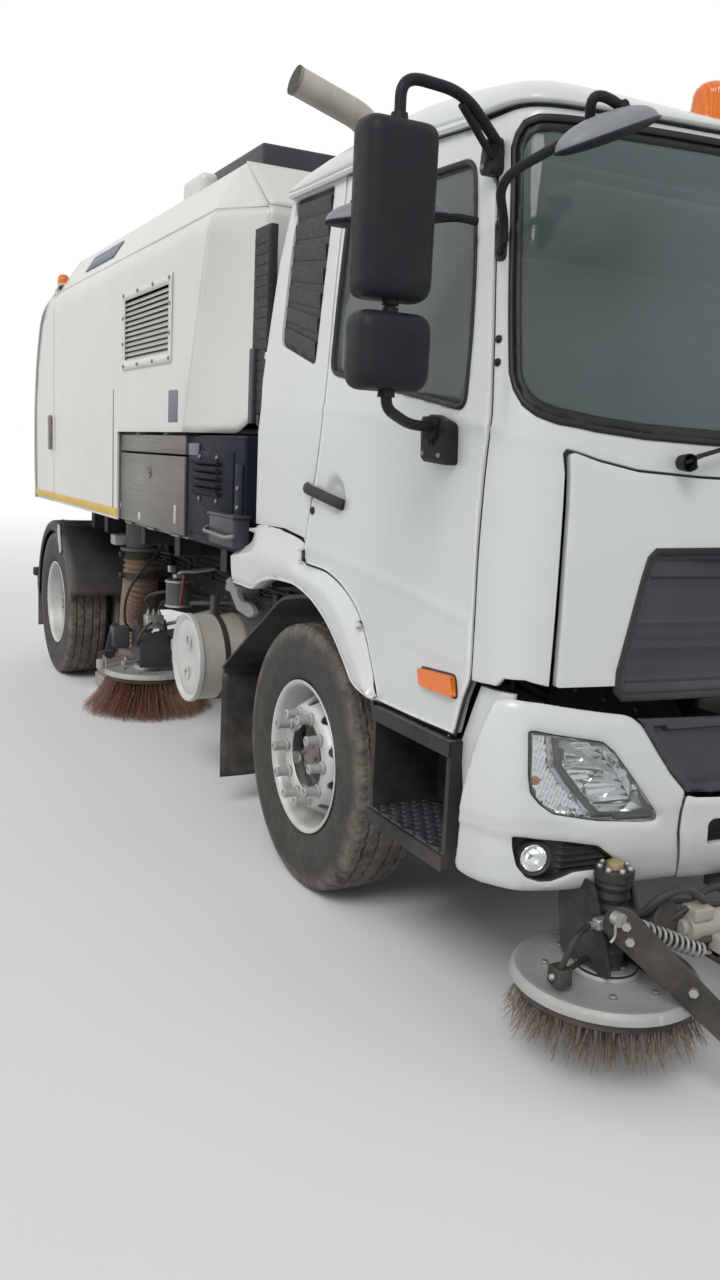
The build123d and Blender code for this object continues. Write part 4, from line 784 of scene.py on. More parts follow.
def rearWheelsAt(side, word):
    k = rearWheel
    y = wheelbase
    body = "wheels_rear_" + word
    for place in ("outer", "inner"):
        part, dust = tyreForm((side * k[place], y, axleZ), 84, 288 if place == "outer" else 220)
        meshFrom("rearTyre_%s_%s" % (place, word), part, "tyreRubber", body, 30,
                 instead=["rear_tyres_" + word] if place == "outer" else (), tag=("depth", dust))
    one = spun(rim[:1] + rim[2:], 96)
    dish = [(-0.045, 0.2545), (-0.075, 0.25), (-0.105, 0.232), (-0.135, 0.205), (-0.143, 0.195),
            (-0.143, 0.15), (-0.139, 0.142)]
    outer = joined([shifted(one, (k["outer"], y, axleZ)), shifted(spun(dish, 96, "x"),
                                                                  (k["outer"], y, axleZ))])
    inner = shifted(otherSide(one), (k["inner"], y, axleZ))
    dish2 = shifted(spun([(-a, r) for a, r in dish[::-1]], 72, "x"), (k["inner"], y, axleZ))
    meshFrom("rearRims_" + word, facing(joined([outer, inner, dish2]), side), "wheelSilver", body,
             instead=["rear_wheels_" + word])
    hub = [(-0.19, 0.0), (-0.19, 0.15), (-0.135, 0.141), (-0.12, 0.132), (-0.03, 0.118), (0.035, 0.112),
           (0.05, 0.1), (0.052, 0.07), (0.062, 0.064), (0.062, 0.0)]
    bits = [shifted(spun(hub, 64, "x"), (k["outer"], y, axleZ))]
    bits += [shifted(nutCap(nuts["rearCap"]), (k["outer"] - 0.143, y + a, b + axleZ)) for a,
             b in ringOf(nuts["count"], nuts["circle"])]
    bolt = [(0, 0.011), (0.009, 0.011), (0.012, 0.008), (0.012, 0)]
    bits += [shifted(spun(bolt, 6), (k["outer"] + 0.05, y + a, b + axleZ)) for a, b in ringOf(10, 0.086)]
    bits.append(shifted(spun([(-0.6, 0.0), (-0.6, 0.205), (-0.44, 0.205), (-0.4, 0.15), (-0.19, 0.15)], 48,
                             "x"), (k["outer"], y, axleZ)))
    meshFrom("rearHub_" + word, facing(joined(bits), side), "castGrey", body)


for side, word in sides[::-1]:
    frontWheelAt(side, word)
    rearWheelsAt(side, word)
print("wheels made")


# cab skin

cab = {"z": [0.84, 1.75, 2.1, 2.48, 2.79], "half": [1.195, 1.198, 1.17, 1.13, 1.075],
       "front": [-1.5, -1.47, -1.415, -1.345, -1.25], "corner": [-1.42, -1.385, -1.325, -1.255, -1.16],
       "cornerX": [1.04, 1.03, 1.008, 0.98, 0.93], "cornerRun": 0.27, "cornerDepth": 0.19,
       "shutLine": 0.007, "skin": 0.022}
# soft creases pressed into the skin: a line in run and height, its half width and its height
creases = [([(1.3, 1.772), (1.2, 1.752), (1.058, 1.728), (1.0, 1.722)], 0.01, 0.0035),
           ([(1.33, 1.778), (1.8, 1.8), (2.25, 1.835), (2.8, 1.845)], 0.012, 0.003),
           ([(2.418, 1.345), (2.1, 1.322), (1.7, 1.284), (1.33, 1.24)], 0.013, 0.0042),
           ([(1.7, 1.1), (1.5, 1.098), (1.33, 1.106)], 0.008, -0.003)]


def cabPoint(s, z):
    # plan at height z: a bowed face to the corner, a cubic corner, then a straight side;
    # s is the run along it from the middle of the face, negative to the right side
    side = np.where(s < 0, -1.0, 1.0)
    s = np.abs(s)
    half, front, corner, cx = [smoothThrough(cab["z"], cab[k], z) for k in ("half", "front", "corner",
                                                                            "cornerX")]
    back = corner + cab["cornerDepth"]
    t = np.clip((s - cx) / cab["cornerRun"], 0, 1)
    slope = 2 * (corner - front) / cx
    n = np.sqrt(1 + slope ** 2)
    w = [(1 - t) ** 3, 3 * t * (1 - t) ** 2, 3 * t * t * (1 - t), t ** 3]
    xc = w[0] * cx + w[1] * (cx + 0.16 / n) + (w[2] + w[3]) * half
    yc = w[0] * corner + w[1] * (corner + 0.16 * slope / n) + w[2] * (back - 0.12) + w[3] * back
    x = np.where(s < cx, s, np.where(t < 1, xc, half))
    y = np.where(s < cx, front + (corner - front) * (s / cx) ** 2,
                 np.where(t < 1, yc, back + s - cx - cab["cornerRun"]))
    return x * side, y, z


def cabLay(inward=0.0, relief=True):
    def lay(s, z):
        s, z = np.asarray(s, float), np.asarray(z, float)
        x, y, _ = cabPoint(s, z)
        x1, y1, _ = cabPoint(s + 1e-4, z)
        x0, y0, _ = cabPoint(s - 1e-4, z)
        tx, ty = x1 - x0, y1 - y0
        n = np.hypot(tx, ty)
        out = np.full(len(s), -inward)
        if relief:
            for line, wide, high in creases:
                out = out + high * np.exp(-(nearLine(np.abs(s), z, line) / wide) ** 2)
        return np.stack([x + ty / n * out, y - tx / n * out, z], 1)
    return lay


def sideRun(y, z):
    # run of a point on the straight side
    corner, cx = [smoothThrough(cab["z"], cab[k], z) for k in ("corner", "cornerX")]
    return float(cx + cab["cornerRun"] + (y - corner - cab["cornerDepth"]))


def sideLoop(points):
    return [(sideRun(y, z), z) for y, z in points]


def pointAt(lay, s, z):
    # one point of a laid surface
    return lay(np.array([s]), np.array([z]))[0]


def eased(points, step=0.03):
    # open line through the points with an even spacing, rounded a little
    p = np.array(points, float)
    d = runOf(p)
    t = np.linspace(0, d[-1], max(2, int(d[-1] / step)))
    return np.stack([smoothThrough(d, p[:, 0], t), smoothThrough(d, p[:, 1], t)], 1)


def grown(loop, by):
    # closed outline moved outward by a distance (inward if negative)
    p = np.asarray(loop, float)
    a, b = np.roll(p, 1, 0), np.roll(p, -1, 0)
    d1, d2 = p - a, b - p
    d1 /= np.maximum(np.linalg.norm(d1, axis=1), 1e-9)[:, None]
    d2 /= np.maximum(np.linalg.norm(d2, axis=1), 1e-9)[:, None]
    n = np.stack([d1[:, 1] + d2[:, 1], -d1[:, 0] - d2[:, 0]], 1)
    area = 0.5 * (p[:, 0] * b[:, 1] - b[:, 0] * p[:, 1]).sum()
    n *= np.sign(area)
    length = np.maximum(np.linalg.norm(n, axis=1), 0.35)
    n = n / length[:, None] * np.clip(2 / length, 1, 1.6)[:, None]
    return p + n * by


def mirrorLoop(half):
    # a right-hand half line from the bottom middle to the top middle becomes a closed loop
    half = np.array(half, float)
    other = half[::-1] * (-1, 1)
    keep = np.concatenate([half, other])
    gap = np.linalg.norm(keep - np.roll(keep, 1, 0), axis=1)
    return keep[gap > 1e-6]


def roofLine(s):
    return smoothThrough([0, 1.0, 1.3, 1.65, 2.4, 2.9], [2.603, 2.603, 2.612, 2.636, 2.642, 2.652], s)


doorFront = [(1.388, 0.908), (1.348, 1.018), (1.313, 1.095), (1.307, 1.25), (1.304, 1.39), (1.289, 1.605),
             (1.273, 1.732), (1.262, 1.798), (1.256, 1.897), (1.246, 2.051), (1.239, 2.261), (1.233, 2.449),
             (1.239, 2.509), (1.261, 2.552), (1.31, 2.592)]
doorRear = [(2.118, 2.624), (2.13, 2.56), (2.17, 2.4), (2.215, 2.15), (2.245, 1.98), (2.3, 1.75),
            (2.37, 1.52), (2.424, 1.362), (2.428, 1.292)]
flareSeam = [(-0.085, 1.284), (-0.117, 1.281), (-0.254, 1.276), (-0.354, 1.256), (-0.452, 1.218),
             (-0.537, 1.163), (-0.599, 1.087), (-0.651, 0.995), (-0.686, 0.92)]
windowLoop = [(1.372, 1.812, 0.05), (1.318, 2.12, 0.3), (1.322, 2.505, 0.06), (2.098, 2.54, 0.06),
              (2.15, 2.33, 0.3), (2.222, 1.952, 0.05)]
fritHalf = [(0, 1.7445), (0.3, 1.746), (0.635, 1.752), (0.82, 1.757), (0.965, 1.769), (1.058, 1.783),
            (1.107, 1.801), (1.146, 1.827), (1.174, 1.867), (1.187, 1.908), (1.185, 2.018), (1.18, 2.17),
            (1.172, 2.377), (1.167, 2.491), (1.148, 2.527), (1.113, 2.557), (1.062, 2.571), (0.97, 2.575),
            (0.734, 2.577), (0, 2.579)]
hatchHalf = [(0, 1.092), (0.843, 1.092), (1.043, 1.092), (1.04, 1.25), (1.038, 1.4), (1.035, 1.576),
             (1.035, 1.658), (1.037, 1.706), (1.03, 1.712), (0.955, 1.691), (0.836, 1.669), (0.629, 1.659),
             (0.3, 1.655), (0, 1.654)]
grilleHalf = [(0, 1.05), (0.842, 1.05), (0.866, 1.075), (0.866, 1.13), (0.806, 1.386), (0.789, 1.444),
              (0.765, 1.466), (0.556, 1.47), (0, 1.474)]


def doorLoop(less=0.0):
    # the door's outline: front edge, top, rear edge, the seam over the flare, then the foot
    top = [(1.3, 2.592), (1.65, 2.618), (2.118, 2.624)]
    loop = list(eased(doorFront, 0.02)) + list(eased(top, 0.04)[1:]) + list(eased(doorRear, 0.03)[1:])
    loop = np.array(loop + list(eased(sideLoop(flareSeam), 0.02)[1:]) + [(1.86, 0.903), (1.62, 0.903)])
    gap = np.linalg.norm(loop - np.roll(loop, 1, 0), axis=1)
    return grown(loop[gap > 0.004], -less)


def cabSkin():
    gap = cab["shutLine"]
    # front: corner pillars, header and the strip under the windscreen, one pressing
    right = [(0.0, 1.662)] + sorted((s, z + 0.0075) for s, z in hatchHalf[::-1][1:5])
    right += [(1.044, 1.722), (1.0495, 1.708), (1.045, 1.658), (1.046, 1.576), (1.049, 1.4), (1.052, 1.25),
              (1.056, 1.095), (1.11, 1.112), (1.178, 1.112), (1.207, 1.088), (1.228, 1.088), (1.305, 1.082)]
    right += [(s - gap, z) for s, z in eased(doorFront[3:], 0.03)] + [(1.312, 2.6), (1.2, 2.596),
                                                                      (0, 2.593)]
    outline = mirrorLoop(right)
    face = meshFrom("cabFace", panel(outline, [mirrorLoop(fritHalf)], 0.02, cabLay()), "cabPaint", "cab",
                    instead=["cab_front"])
    thicken(face, cab["skin"], 0.003)
    hatchLoop = roundedLoop(mirrorLoop(hatchHalf).tolist(), 0.006, 3)
    hatch = meshFrom("frontHatch", panel(hatchLoop, [mirrorLoop(grilleHalf)], 0.02, cabLay()), "cabPaint",
                     "cab")
    thicken(hatch, cab["skin"], 0.003)
    # sides behind the doors
    back = [(0.39, 1.39), (0.39, 1.95), (0.36, 2.4), (0.325, 2.636)]
    quarterOut = [(2.428 + gap + 0.004, 1.375)] + [(s + gap, z) for s, z in eased(doorRear[::-1][1:], 0.03)]
    quarterOut += [(2.12, 2.632), (2.6, 2.636)] + sideLoop(back)[::-1] + [(sideRun(0.1, 1.395), 1.395)]
    ribbed = [(2.215, 2.615, 0.02), (2.352, 1.985, 0.03), (2.668, 2.081, 0.03), (2.552, 2.622, 0.02)]
    hole = roundedLoop(ribbed, 0.03, 5)
    parts = panel(np.array(quarterOut), [hole], 0.024, cabLay())
    for side, word in sides:
        one = meshFrom("cabQuarter_" + word, facing(parts, side), "cabPaint", "cab", instead=["cab_sides"]
                       if side > 0 else ())
        thicken(one, 0.034, 0.003)
        vent = panel(grown(hole, -0.003), [], 0.03, cabLay(0.01, False))
        thicken(meshFrom("quarterVent_" + word, facing(vent, side), "ventBlack", "cab"), 0.012)
        meshFrom("quarterBars_" + word, facing(ventBars(np.array(ribbed)[:, :2]), side), "ventBlack", "cab")


def ventBars(corners):
    # seven slim bars cross the vent plate from edge to edge, each a long wedge that leans outward at its foot
    top, foot, footBack, topBack = corners
    bars = []
    for t in np.linspace(0.1, 0.92, 7):
        u = np.linspace(0.07, 0.93, 12)[:, None]
        line = (top + (foot - top) * t) * (1 - u) + (topBack + (footBack - topBack) * t) * u
        path = cabLay(0.008, False)(line[:, 0], line[:, 1])
        wedge = [(-0.002, -0.028), (0.008, -0.028), (0.01, -0.022), (0.003, 0.026), (-0.002, 0.03)]
        bars.append(alongPath(path, wedge))
    return joined(bars)


def cabDoors():
    window = roundedLoop(windowLoop, 0.05, 8)
    loop = doorLoop(cab["shutLine"] * 0.5)
    at = (sideRun(-0.32, 1.54), 1.54)
    plain = cabLay()

    def pressed(s, z):
        # the skin sinks in a round bowl behind the handle
        p = plain(s, z)
        r = np.hypot((s - at[0]) / 0.08, (z - at[1]) / 0.072)
        sink = np.clip((1 - r) / 0.42, 0, 1)
        p[:, 0] -= 0.02 * sink ** 2 * (3 - 2 * sink)
        return p

    skin = panel(loop, [window], 0.016, pressed)
    lining = panel(grown(loop, -0.035), [grown(window, 0.02)], 0.05, cabLay(0.05, False), True)
    pane = panel(grown(window, -0.004), [], 0.05, cabLay(0.01, False))
    rubber = sealOf(window, 0.017, 0.01, cabLay(0, False))
    # the handle's bar with its two feet, and the lock below it
    bar = alongPath(easedPath([(1.204, -0.405, 1.512), (1.214, -0.385, 1.518), (1.214, -0.12, 1.555),
                               (1.2, -0.098, 1.558)], 0.03), ring(0.013, 12, 1.5))
    lock = shifted(spun([(0, 0.014), (0.006, 0.014), (0.008, 0.011), (0.008, 0.004), (0.004, 0.003),
                         (0.004, 0)], 20, "x"), (1.1965, -0.15, 1.478))
    for side, word in sides:
        body = "door_%s_body" % word
        one = meshFrom("doorSkin_" + word, facing(skin, side), "cabPaint", body, instead=["door_" + word])
        thicken(one, 0.03, 0.003)
        thicken(meshFrom("doorLining_" + word, facing(lining, side), "liningGrey", body), 0.004, 0, 1)
        glass = meshFrom("doorPane_" + word, facing(pane, side), "glassDark", body,
                         instead=["door_glass_" + word])
        thicken(glass, 0.005)
        meshFrom("doorRubber_" + word, facing(rubber, side), "rubberSeal", body, 50)
        meshFrom("doorHandle_" + word, facing(joined([bar, lock]), side), "blackPlastic", body)


def gapStrips():
    # black rubber lies just below the skin along each door's shut line, partly the real seal and partly
    # painted shade that darkens the gap
    loop = denser(doorLoop(), 0.02)
    rows = [cabLay(deep, False)(*grown(loop, by).T) for by, deep in ((-0.0048, 0.006), (0.009, 0.006))]
    part = (np.array(rows).transpose(1, 0, 2).reshape(-1, 3), gridFaces(len(loop), 2, True, False))
    for side, word in sides:
        thicken(meshFrom("doorGapRubber_" + word, facing(part, side), "rubberSeal", "cab"), 0.002)


def sealOf(loop, width, height, lay, inward=0.0):
    # rubber section carried round a closed outline on the skin
    p = denser(np.asarray(loop), 0.02)
    mid = grown(p, -width * 0.35)
    section = [(0.5, -0.5), (0.5, 0.05), (0.34, 0.42), (0.05, 0.5), (-0.3, 0.34), (-0.5, 0.0), (-0.5, -0.5)]
    rows = []
    for a, h in section:
        q = grown(mid, a * width)
        base = lay(q[:, 0], q[:, 1])
        s, z, small = q[:, 0], q[:, 1], 1e-3
        ahead = lay(s + small, z) - lay(s - small, z)
        upward = lay(s, z + small) - lay(s, z - small)
        n = np.cross(ahead, upward)
        n /= np.linalg.norm(n, axis=1)[:, None]
        rows.append(base + n * (h * height - inward + height * 0.2))
    pts = np.array(rows).transpose(1, 0, 2)
    return pts.reshape(-1, 3), gridFaces(len(p), len(section), True, True, flip=True)


def windscreenSet():
    frit = mirrorLoop(fritHalf)
    shield = panel(grown(frit, -0.005), [], 0.05, cabLay(0.008, False))
    thicken(meshFrom("windscreenPane", shield, "glass", "cab", instead=["windscreen"]), 0.006)
    inner = grown(frit, -0.04)
    border = panel(grown(frit, -0.004), [inner], 0.02, cabLay(0.006, False))
    thicken(meshFrom("windscreenFrit", border, "rubberSeal", "cab"), 0.002)
    meshFrom("windscreenRubber", sealOf(frit, 0.018, 0.009, cabLay(0, False)), "rubberSeal", "cab", 50)
    wipers()


def wipers():
    # two arms rise from the scuttle, each with its blade, its pivot boss and a washer jet
    lay = cabLay(-0.018, False)
    tip = 1.905
    bits = []
    for x0, x1 in ((-0.721, -0.02), (0.1, 0.8)):
        pivot = pointAt(lay, x0, 1.7)
        s = np.linspace(x0, x1, 14)
        z = np.linspace(1.705, tip, 14)
        arm = cabLay(-0.035, False)(s, z)
        arm[0] = pivot + (0, -0.012, 0)
        bits.append(alongPath(arm, np.array(boxLoop(-0.01, -0.004, 0.01, 0.004))
                              * np.linspace(1.2, 0.6, 14)[:, None, None]))
        s2 = np.linspace(x1 - 0.34, x1 + 0.34, 24)
        z2 = tip + (s2 - x1) * 0.3 - 0.01
        blade = cabLay(-0.014, False)(s2, z2)
        bits += [alongPath(blade, [(-0.004, -0.012), (0.004, -0.012), (0.006, 0.004), (0.0, 0.01),
                                   (-0.006, 0.004)]),
                 shifted(spun([(0.012, 0.0), (0.012, 0.01), (0.006, 0.02), (-0.02, 0.024), (-0.03, 0.024)],
                              24, "y"), pivot + (0, -0.01, 0))]
        jet = pointAt(lay, x0 + 0.06, 1.69)
        bits.append(shifted(spun([(0.0, 0.0), (0.0, 0.006), (0.01, 0.01)], 12, "y"), jet + (0, 0.005, 0)))
    meshFrom("wipers", joined(bits), "rubberSeal", "cab")


cabSkin()
cabDoors()
gapStrips()
windscreenSet()
print("cab skin made")


# roof, flares and what sits on the cab

roof = {"profile": [(-1.36, 2.604), (-1.3, 2.612), (-1.22, 2.64), (-1.1, 2.682), (-0.95, 2.715),
                    (-0.75, 2.742), (-0.5, 2.76), (-0.1, 2.752), (0.2, 2.722), (0.29, 2.69), (0.33, 2.655)],
        "round": 15.0}


def cabRoof():
    # rings run in from the gutter line to the middle; height falls off as a high power of the way out
    run = np.concatenate([np.linspace(0, 1.0, 40), np.linspace(1.0, 1.4, 26)[1:],
                          np.linspace(1.4, sideRun(0.33, 2.62), 44)[1:]])
    run = np.concatenate([-run[::-1], run[1:]])
    edge = roofLine(np.abs(run))
    x, y, _ = cabPoint(run, np.full(len(run), 2.6))
    sink = np.linspace(0, 1, 34) ** 1.9
    midY = np.maximum(y, -0.82)
    a = np.repeat(x[None], len(sink), 0) * (1 - sink[:, None])
    b = y[None] * (1 - sink[:, None]) + midY[None] * sink[:, None]
    profile = np.array(roof["profile"])
    top = smoothThrough(profile[:, 0], profile[:, 1], b)
    rise = np.sqrt(np.clip(1 - (1 - sink[:, None]) ** roof["round"], 0, 1))
    z = edge[None] + (np.maximum(top, edge[None] + 0.002) - edge[None]) * rise
    swage = 0.01 * sum(np.exp(-((np.abs(a) - at) / 0.022) ** 2)
                       for at in (0.34, 0.68)) * np.clip((b + 0.62) / 0.1, 0, 1)
    z = z + swage * np.clip((0.22 - b) / 0.06, 0, 1)
    shell = meshFrom("cabRoof", sheetOf(a, b, z), "cabPaint", "cab", 45, instead=["cab_roof"])
    thicken(shell, 0.02, 0.0)
    # rain gutter along each side
    s = np.linspace(1.27, sideRun(0.31, 2.62), 60)
    lift = roofLine(s) - 0.004
    p = cabLay(-0.01, False)(s, lift)
    section = [(-0.012, -0.008), (0.014, -0.008), (0.018, 0.004), (0.012, 0.014), (0.004, 0.01),
               (-0.012, 0.01)]
    rail = alongPath(p, section)
    hatch = softBox((-0.33, -0.55, 2.745), (0.33, 0.02, 2.795), 0.02, 4)
    meshFrom("roofHatch", hatch, "blackPlastic", "cab")
    for side, word in sides:
        meshFrom("gutter_" + word, facing(rail, side), "cabPaint", "cab")


flare = {"seam": [(-0.702, 0.914), (-0.686, 0.92), (-0.651, 0.992), (-0.599, 1.084), (-0.537, 1.16),
                  (-0.452, 1.215), (-0.354, 1.252), (-0.254, 1.272), (-0.117, 1.277), (-0.085, 1.284),
                  (-0.085, 1.352), (-0.053, 1.362), (0.0, 1.372), (0.306, 1.392), (0.388, 1.376),
                  (0.425, 1.318), (0.47, 1.296), (0.592, 1.262)], "lip": [(0.59, 1.13), (0.395, 1.128),
                                                                          (0.335, 1.152), (0.275, 1.174),
                                                                          (0.135, 1.198), (-0.011, 1.201),
                                                                          (-0.151, 1.179), (-0.299, 1.122),
                                                                          (-0.415, 1.045), (-0.48, 0.99),
                                                                          (-0.545, 0.934), (-0.6, 0.918),
                                                                          (-0.662, 0.91)],
         "ridge": [(0.6, 1.236), (0.35, 1.262), (0.148, 1.258), (-0.02, 1.25), (-0.162, 1.234),
                   (-0.331, 1.199), (-0.441, 1.14), (-0.551, 1.035), (-0.625, 0.955), (-0.7, 0.89)],
         "low": 1.2, "high": 1.226}


def cabFlares():
    seam, lip, ridge = [np.array(flare[k]) for k in ("seam", "lip", "ridge")]
    seamFine, lipFine = eased(seam, 0.025), eased(lip, 0.025)
    loop = np.concatenate([seamFine, lipFine])
    above = np.concatenate([seam + (0, 0.004), ridge])

    def lay(y, z):
        dSeam, dLip, dRidge = [nearLine(y, z, line) for line in (seam, lip, ridge)]
        t = dSeam / (dSeam + dRidge + 1e-6)
        u = dLip / (dLip + dRidge + 1e-6)
        up = insideLoop(np.stack([y, z], 1), above)
        span = flare["high"] - flare["low"]
        x = np.where(up, flare["low"] + span * (3 * t ** 2 - 2 * t ** 3), flare["high"] - 0.008
                     * (1 - u) ** 1.5)
        x = x - 0.01 * np.exp(-dLip / 0.007) - 0.004 * np.exp(-dSeam / 0.004)
        return np.stack([x, y, z], 1)

    part = panel(loop[::-1], [], 0.013, lay)
    rows = [(1.215, 0.0), (1.205, -0.003), (1.185, -0.002), (1.15, 0.0)]
    wall = np.array([[(x, p[0], p[1] + dz) for x, dz in rows] for p in lipFine]).reshape(-1, 3)
    for side, word in sides:
        one = meshFrom("cabFlare_" + word, facing(part, side), "cabPaint", "cab", 45,
                       instead=["cab_fenders"] if side > 0 else ())
        thicken(one, 0.012, 0.003)
        inner = meshFrom("flareLip_" + word, facing((wall, gridFaces(len(lipFine), len(rows))), side),
                         "cabPaint", "cab")
        thicken(inner, 0.006, 0, 0)
        base = panel(np.array(sideLoop([(-0.085, 1.285), (-0.085, 1.33), (0.39, 1.37), (0.39, 1.26),
                                        (0.1, 1.2)])), [], 0.05, cabLay(0.02, False))
        thicken(meshFrom("flareBack_" + word, facing(base, side), "cabPaint", "cab"), 0.01)


def cornerFillers():
    # body-coloured plates between the doors' front edges and the bumper, fixed to the steps
    loop = np.array([(-1.15, 0.886), (-1.172, 0.935), (-1.206, 1.012), (-1.232, 1.066), (-1.352, 1.066),
                     (-1.345, 0.9), (-1.3, 0.8), (-1.25, 0.74), (-1.175, 0.74)])

    def lay(y, z):
        return np.stack([1.166 - np.clip(-1.24 - y, 0, 1) ** 2 * 2.0 + 0 * z, y, z], 1)
    for side, word in sides:
        part = panel(loop, [], 0.03, lay)
        one = meshFrom("cornerFiller_" + word, facing(part, side), "cabPaint", instead=["step_fillers"]
                       if side > 0 else ())
        thicken(one, 0.016, 0.003)


def bowlOf(loop, lay, depths, close=True, step=0.02):
    # walls that sink from an outline into a pocket: each (grow, inward) is one ring
    loop = denser(np.asarray(loop), step)
    rings = []
    for by, inward in depths:
        q = grown(loop, by)
        rings.append(lay(inward)(q[:, 0], q[:, 1]))
    pts = np.array(rings)
    parts = [(pts.reshape(-1, 3), gridFaces(len(depths), len(loop), False, True))]
    if close:
        last = grown(loop, depths[-1][0])
        parts.append(panel(last, [], step, lay(depths[-1][1])))
    return joined(parts)


bumper = {"plan": [(0, -1.505), (0.35, -1.5), (0.7, -1.48), (1.0, -1.452), (1.09, -1.438), (1.155, -1.414),
                   (1.203, -1.372), (1.226, -1.32), (1.234, -1.26), (1.235, -1.15)],
          "leanZ": [0.49, 0.56, 0.64, 0.715, 0.74, 0.9, 1.09], "lean": [0.04, 0.016, 0.006, 0.004, 0.0,
                                                                        0.008, 0.034],
          "side": [(0.588, 0.506), (0.954, 0.508), (1.1, 0.52), (1.232, 0.53), (1.385, 0.522, 0.02),
                   (1.4, 0.54, 0.02), (1.377, 0.6), (1.364, 0.68), (1.338, 0.811), (1.311, 0.928),
                   (1.288, 0.995), (1.262, 1.052, 0.03), (1.192, 1.058), (1.095, 1.05), (0.99, 1.032),
                   (0.901, 1.018), (0.812, 1.006, 0.03), (0.771, 0.974), (0.721, 0.903), (0.668, 0.833),
                   (0.61, 0.775), (0.619, 0.738), (0.621, 0.653)], "middle": [(0, 0.49), (0.49, 0.494),
                                                                              (0.582, 0.502),
                                                                              (0.612, 0.653),
                                                                              (0.611, 0.738),
                                                                              (0.602, 0.766),
                                                                              (0.577, 0.757), (0.489, 0.75),
                                                                              (0, 0.745)],
          "lamp": [(1.137, 0.976), (1.12, 0.979), (1.051, 0.966), (0.901, 0.939), (0.863, 0.91),
                   (0.814, 0.852), (0.71, 0.725), (0.701, 0.706), (0.712, 0.699), (0.749, 0.699),
                   (0.902, 0.715), (1.049, 0.747), (1.094, 0.777), (1.123, 0.809), (1.131, 0.855),
                   (1.134, 0.915)], "fog": [(1.166, 0.687), (1.125, 0.685), (1.004, 0.666), (0.893, 0.643),
                                            (0.841, 0.604), (0.804, 0.566), (0.881, 0.57), (0.963, 0.569),
                                            (0.988, 0.559), (1.029, 0.547), (1.066, 0.549), (1.112, 0.565),
                                            (1.145, 0.6), (1.161, 0.649)]}


def bumperPlan(s):
    plan = np.array(bumper["plan"])
    run = runOf(plan)
    return smoothThrough(run, plan[:, 0], s), smoothThrough(run, plan[:, 1], s)


def bumperLay(inward=0.0, relief=()):
    # the plan swept up, leaning in toward top and bottom; relief outlines roll the edge in
    def lay(s, z):
        s, z = np.asarray(s, float), np.asarray(z, float)
        side = np.where(s < 0, -1.0, 1.0)
        t = np.abs(s)
        x, y = bumperPlan(t)
        x1, y1 = bumperPlan(t + 2e-3)
        x0, y0 = bumperPlan(np.maximum(t - 2e-3, 0))
        tx, ty = x1 - x0, y1 - y0
        n = np.hypot(tx, ty)
        sunk = inward + smoothThrough(bumper["leanZ"], bumper["lean"], z)
        for loop, wide, deep in relief:
            sunk = sunk + deep * np.exp(-nearLoop(np.stack([t, z], 1), loop) / wide)
        step = np.clip((smoothThrough([1.16, 1.27, 1.39], [0.686, 0.698, 0.682], t) - z) / 0.012, 0, 1)
        sunk = sunk + 0.008 * step * np.clip((t - 1.13) / 0.05, 0, 1)
        return np.stack([(x - ty / n * sunk) * side, y + tx / n * sunk, z], 1)
    return lay


def frontBumper():
    b = bumper
    lamp, fog = [roundedLoop(b[k], 0.008, 3) for k in ("lamp", "fog")]
    edge = roundedLoop(b["side"], 0.012, 4)
    lay = bumperLay(0, ((lamp, 0.006, 0.008), (fog, 0.005, 0.006), (edge, 0.007, 0.01)))
    part = panel(edge, [lamp, fog], 0.012, lay)
    middle = roundedLoop(mirrorLoop(b["middle"]).tolist(), 0.01, 3)
    tow = [(0.4, 0.606, 0.012), (0.512, 0.606, 0.012), (0.518, 0.672, 0.012), (0.503, 0.686, 0.01),
           (0.4, 0.686, 0.012)]
    tow = roundedLoop(tow, 0.01, 5)
    midLay = bumperLay(0, ((middle, 0.007, 0.008),))
    bar = panel(middle, [tow, tow * (-1, 1)], 0.014, midLay)
    thicken(meshFrom("bumperMiddle", bar, "cabPaint", instead=["front_bumper"]), 0.02, 0.003)
    towBowl = bowlOf(tow, bumperLay, ((0.002, 0.004), (0.0, 0.055)))
    for side, word in sides:
        meshFrom("towPocket_" + word, facing(towBowl, side), "blackPlastic")
        one = meshFrom("bumperSide_" + word, facing(part, side), "cabPaint")
        thicken(one, 0.02, 0.003)
        headLamp(side, word, lamp)
        fogLamp(side, word, fog)


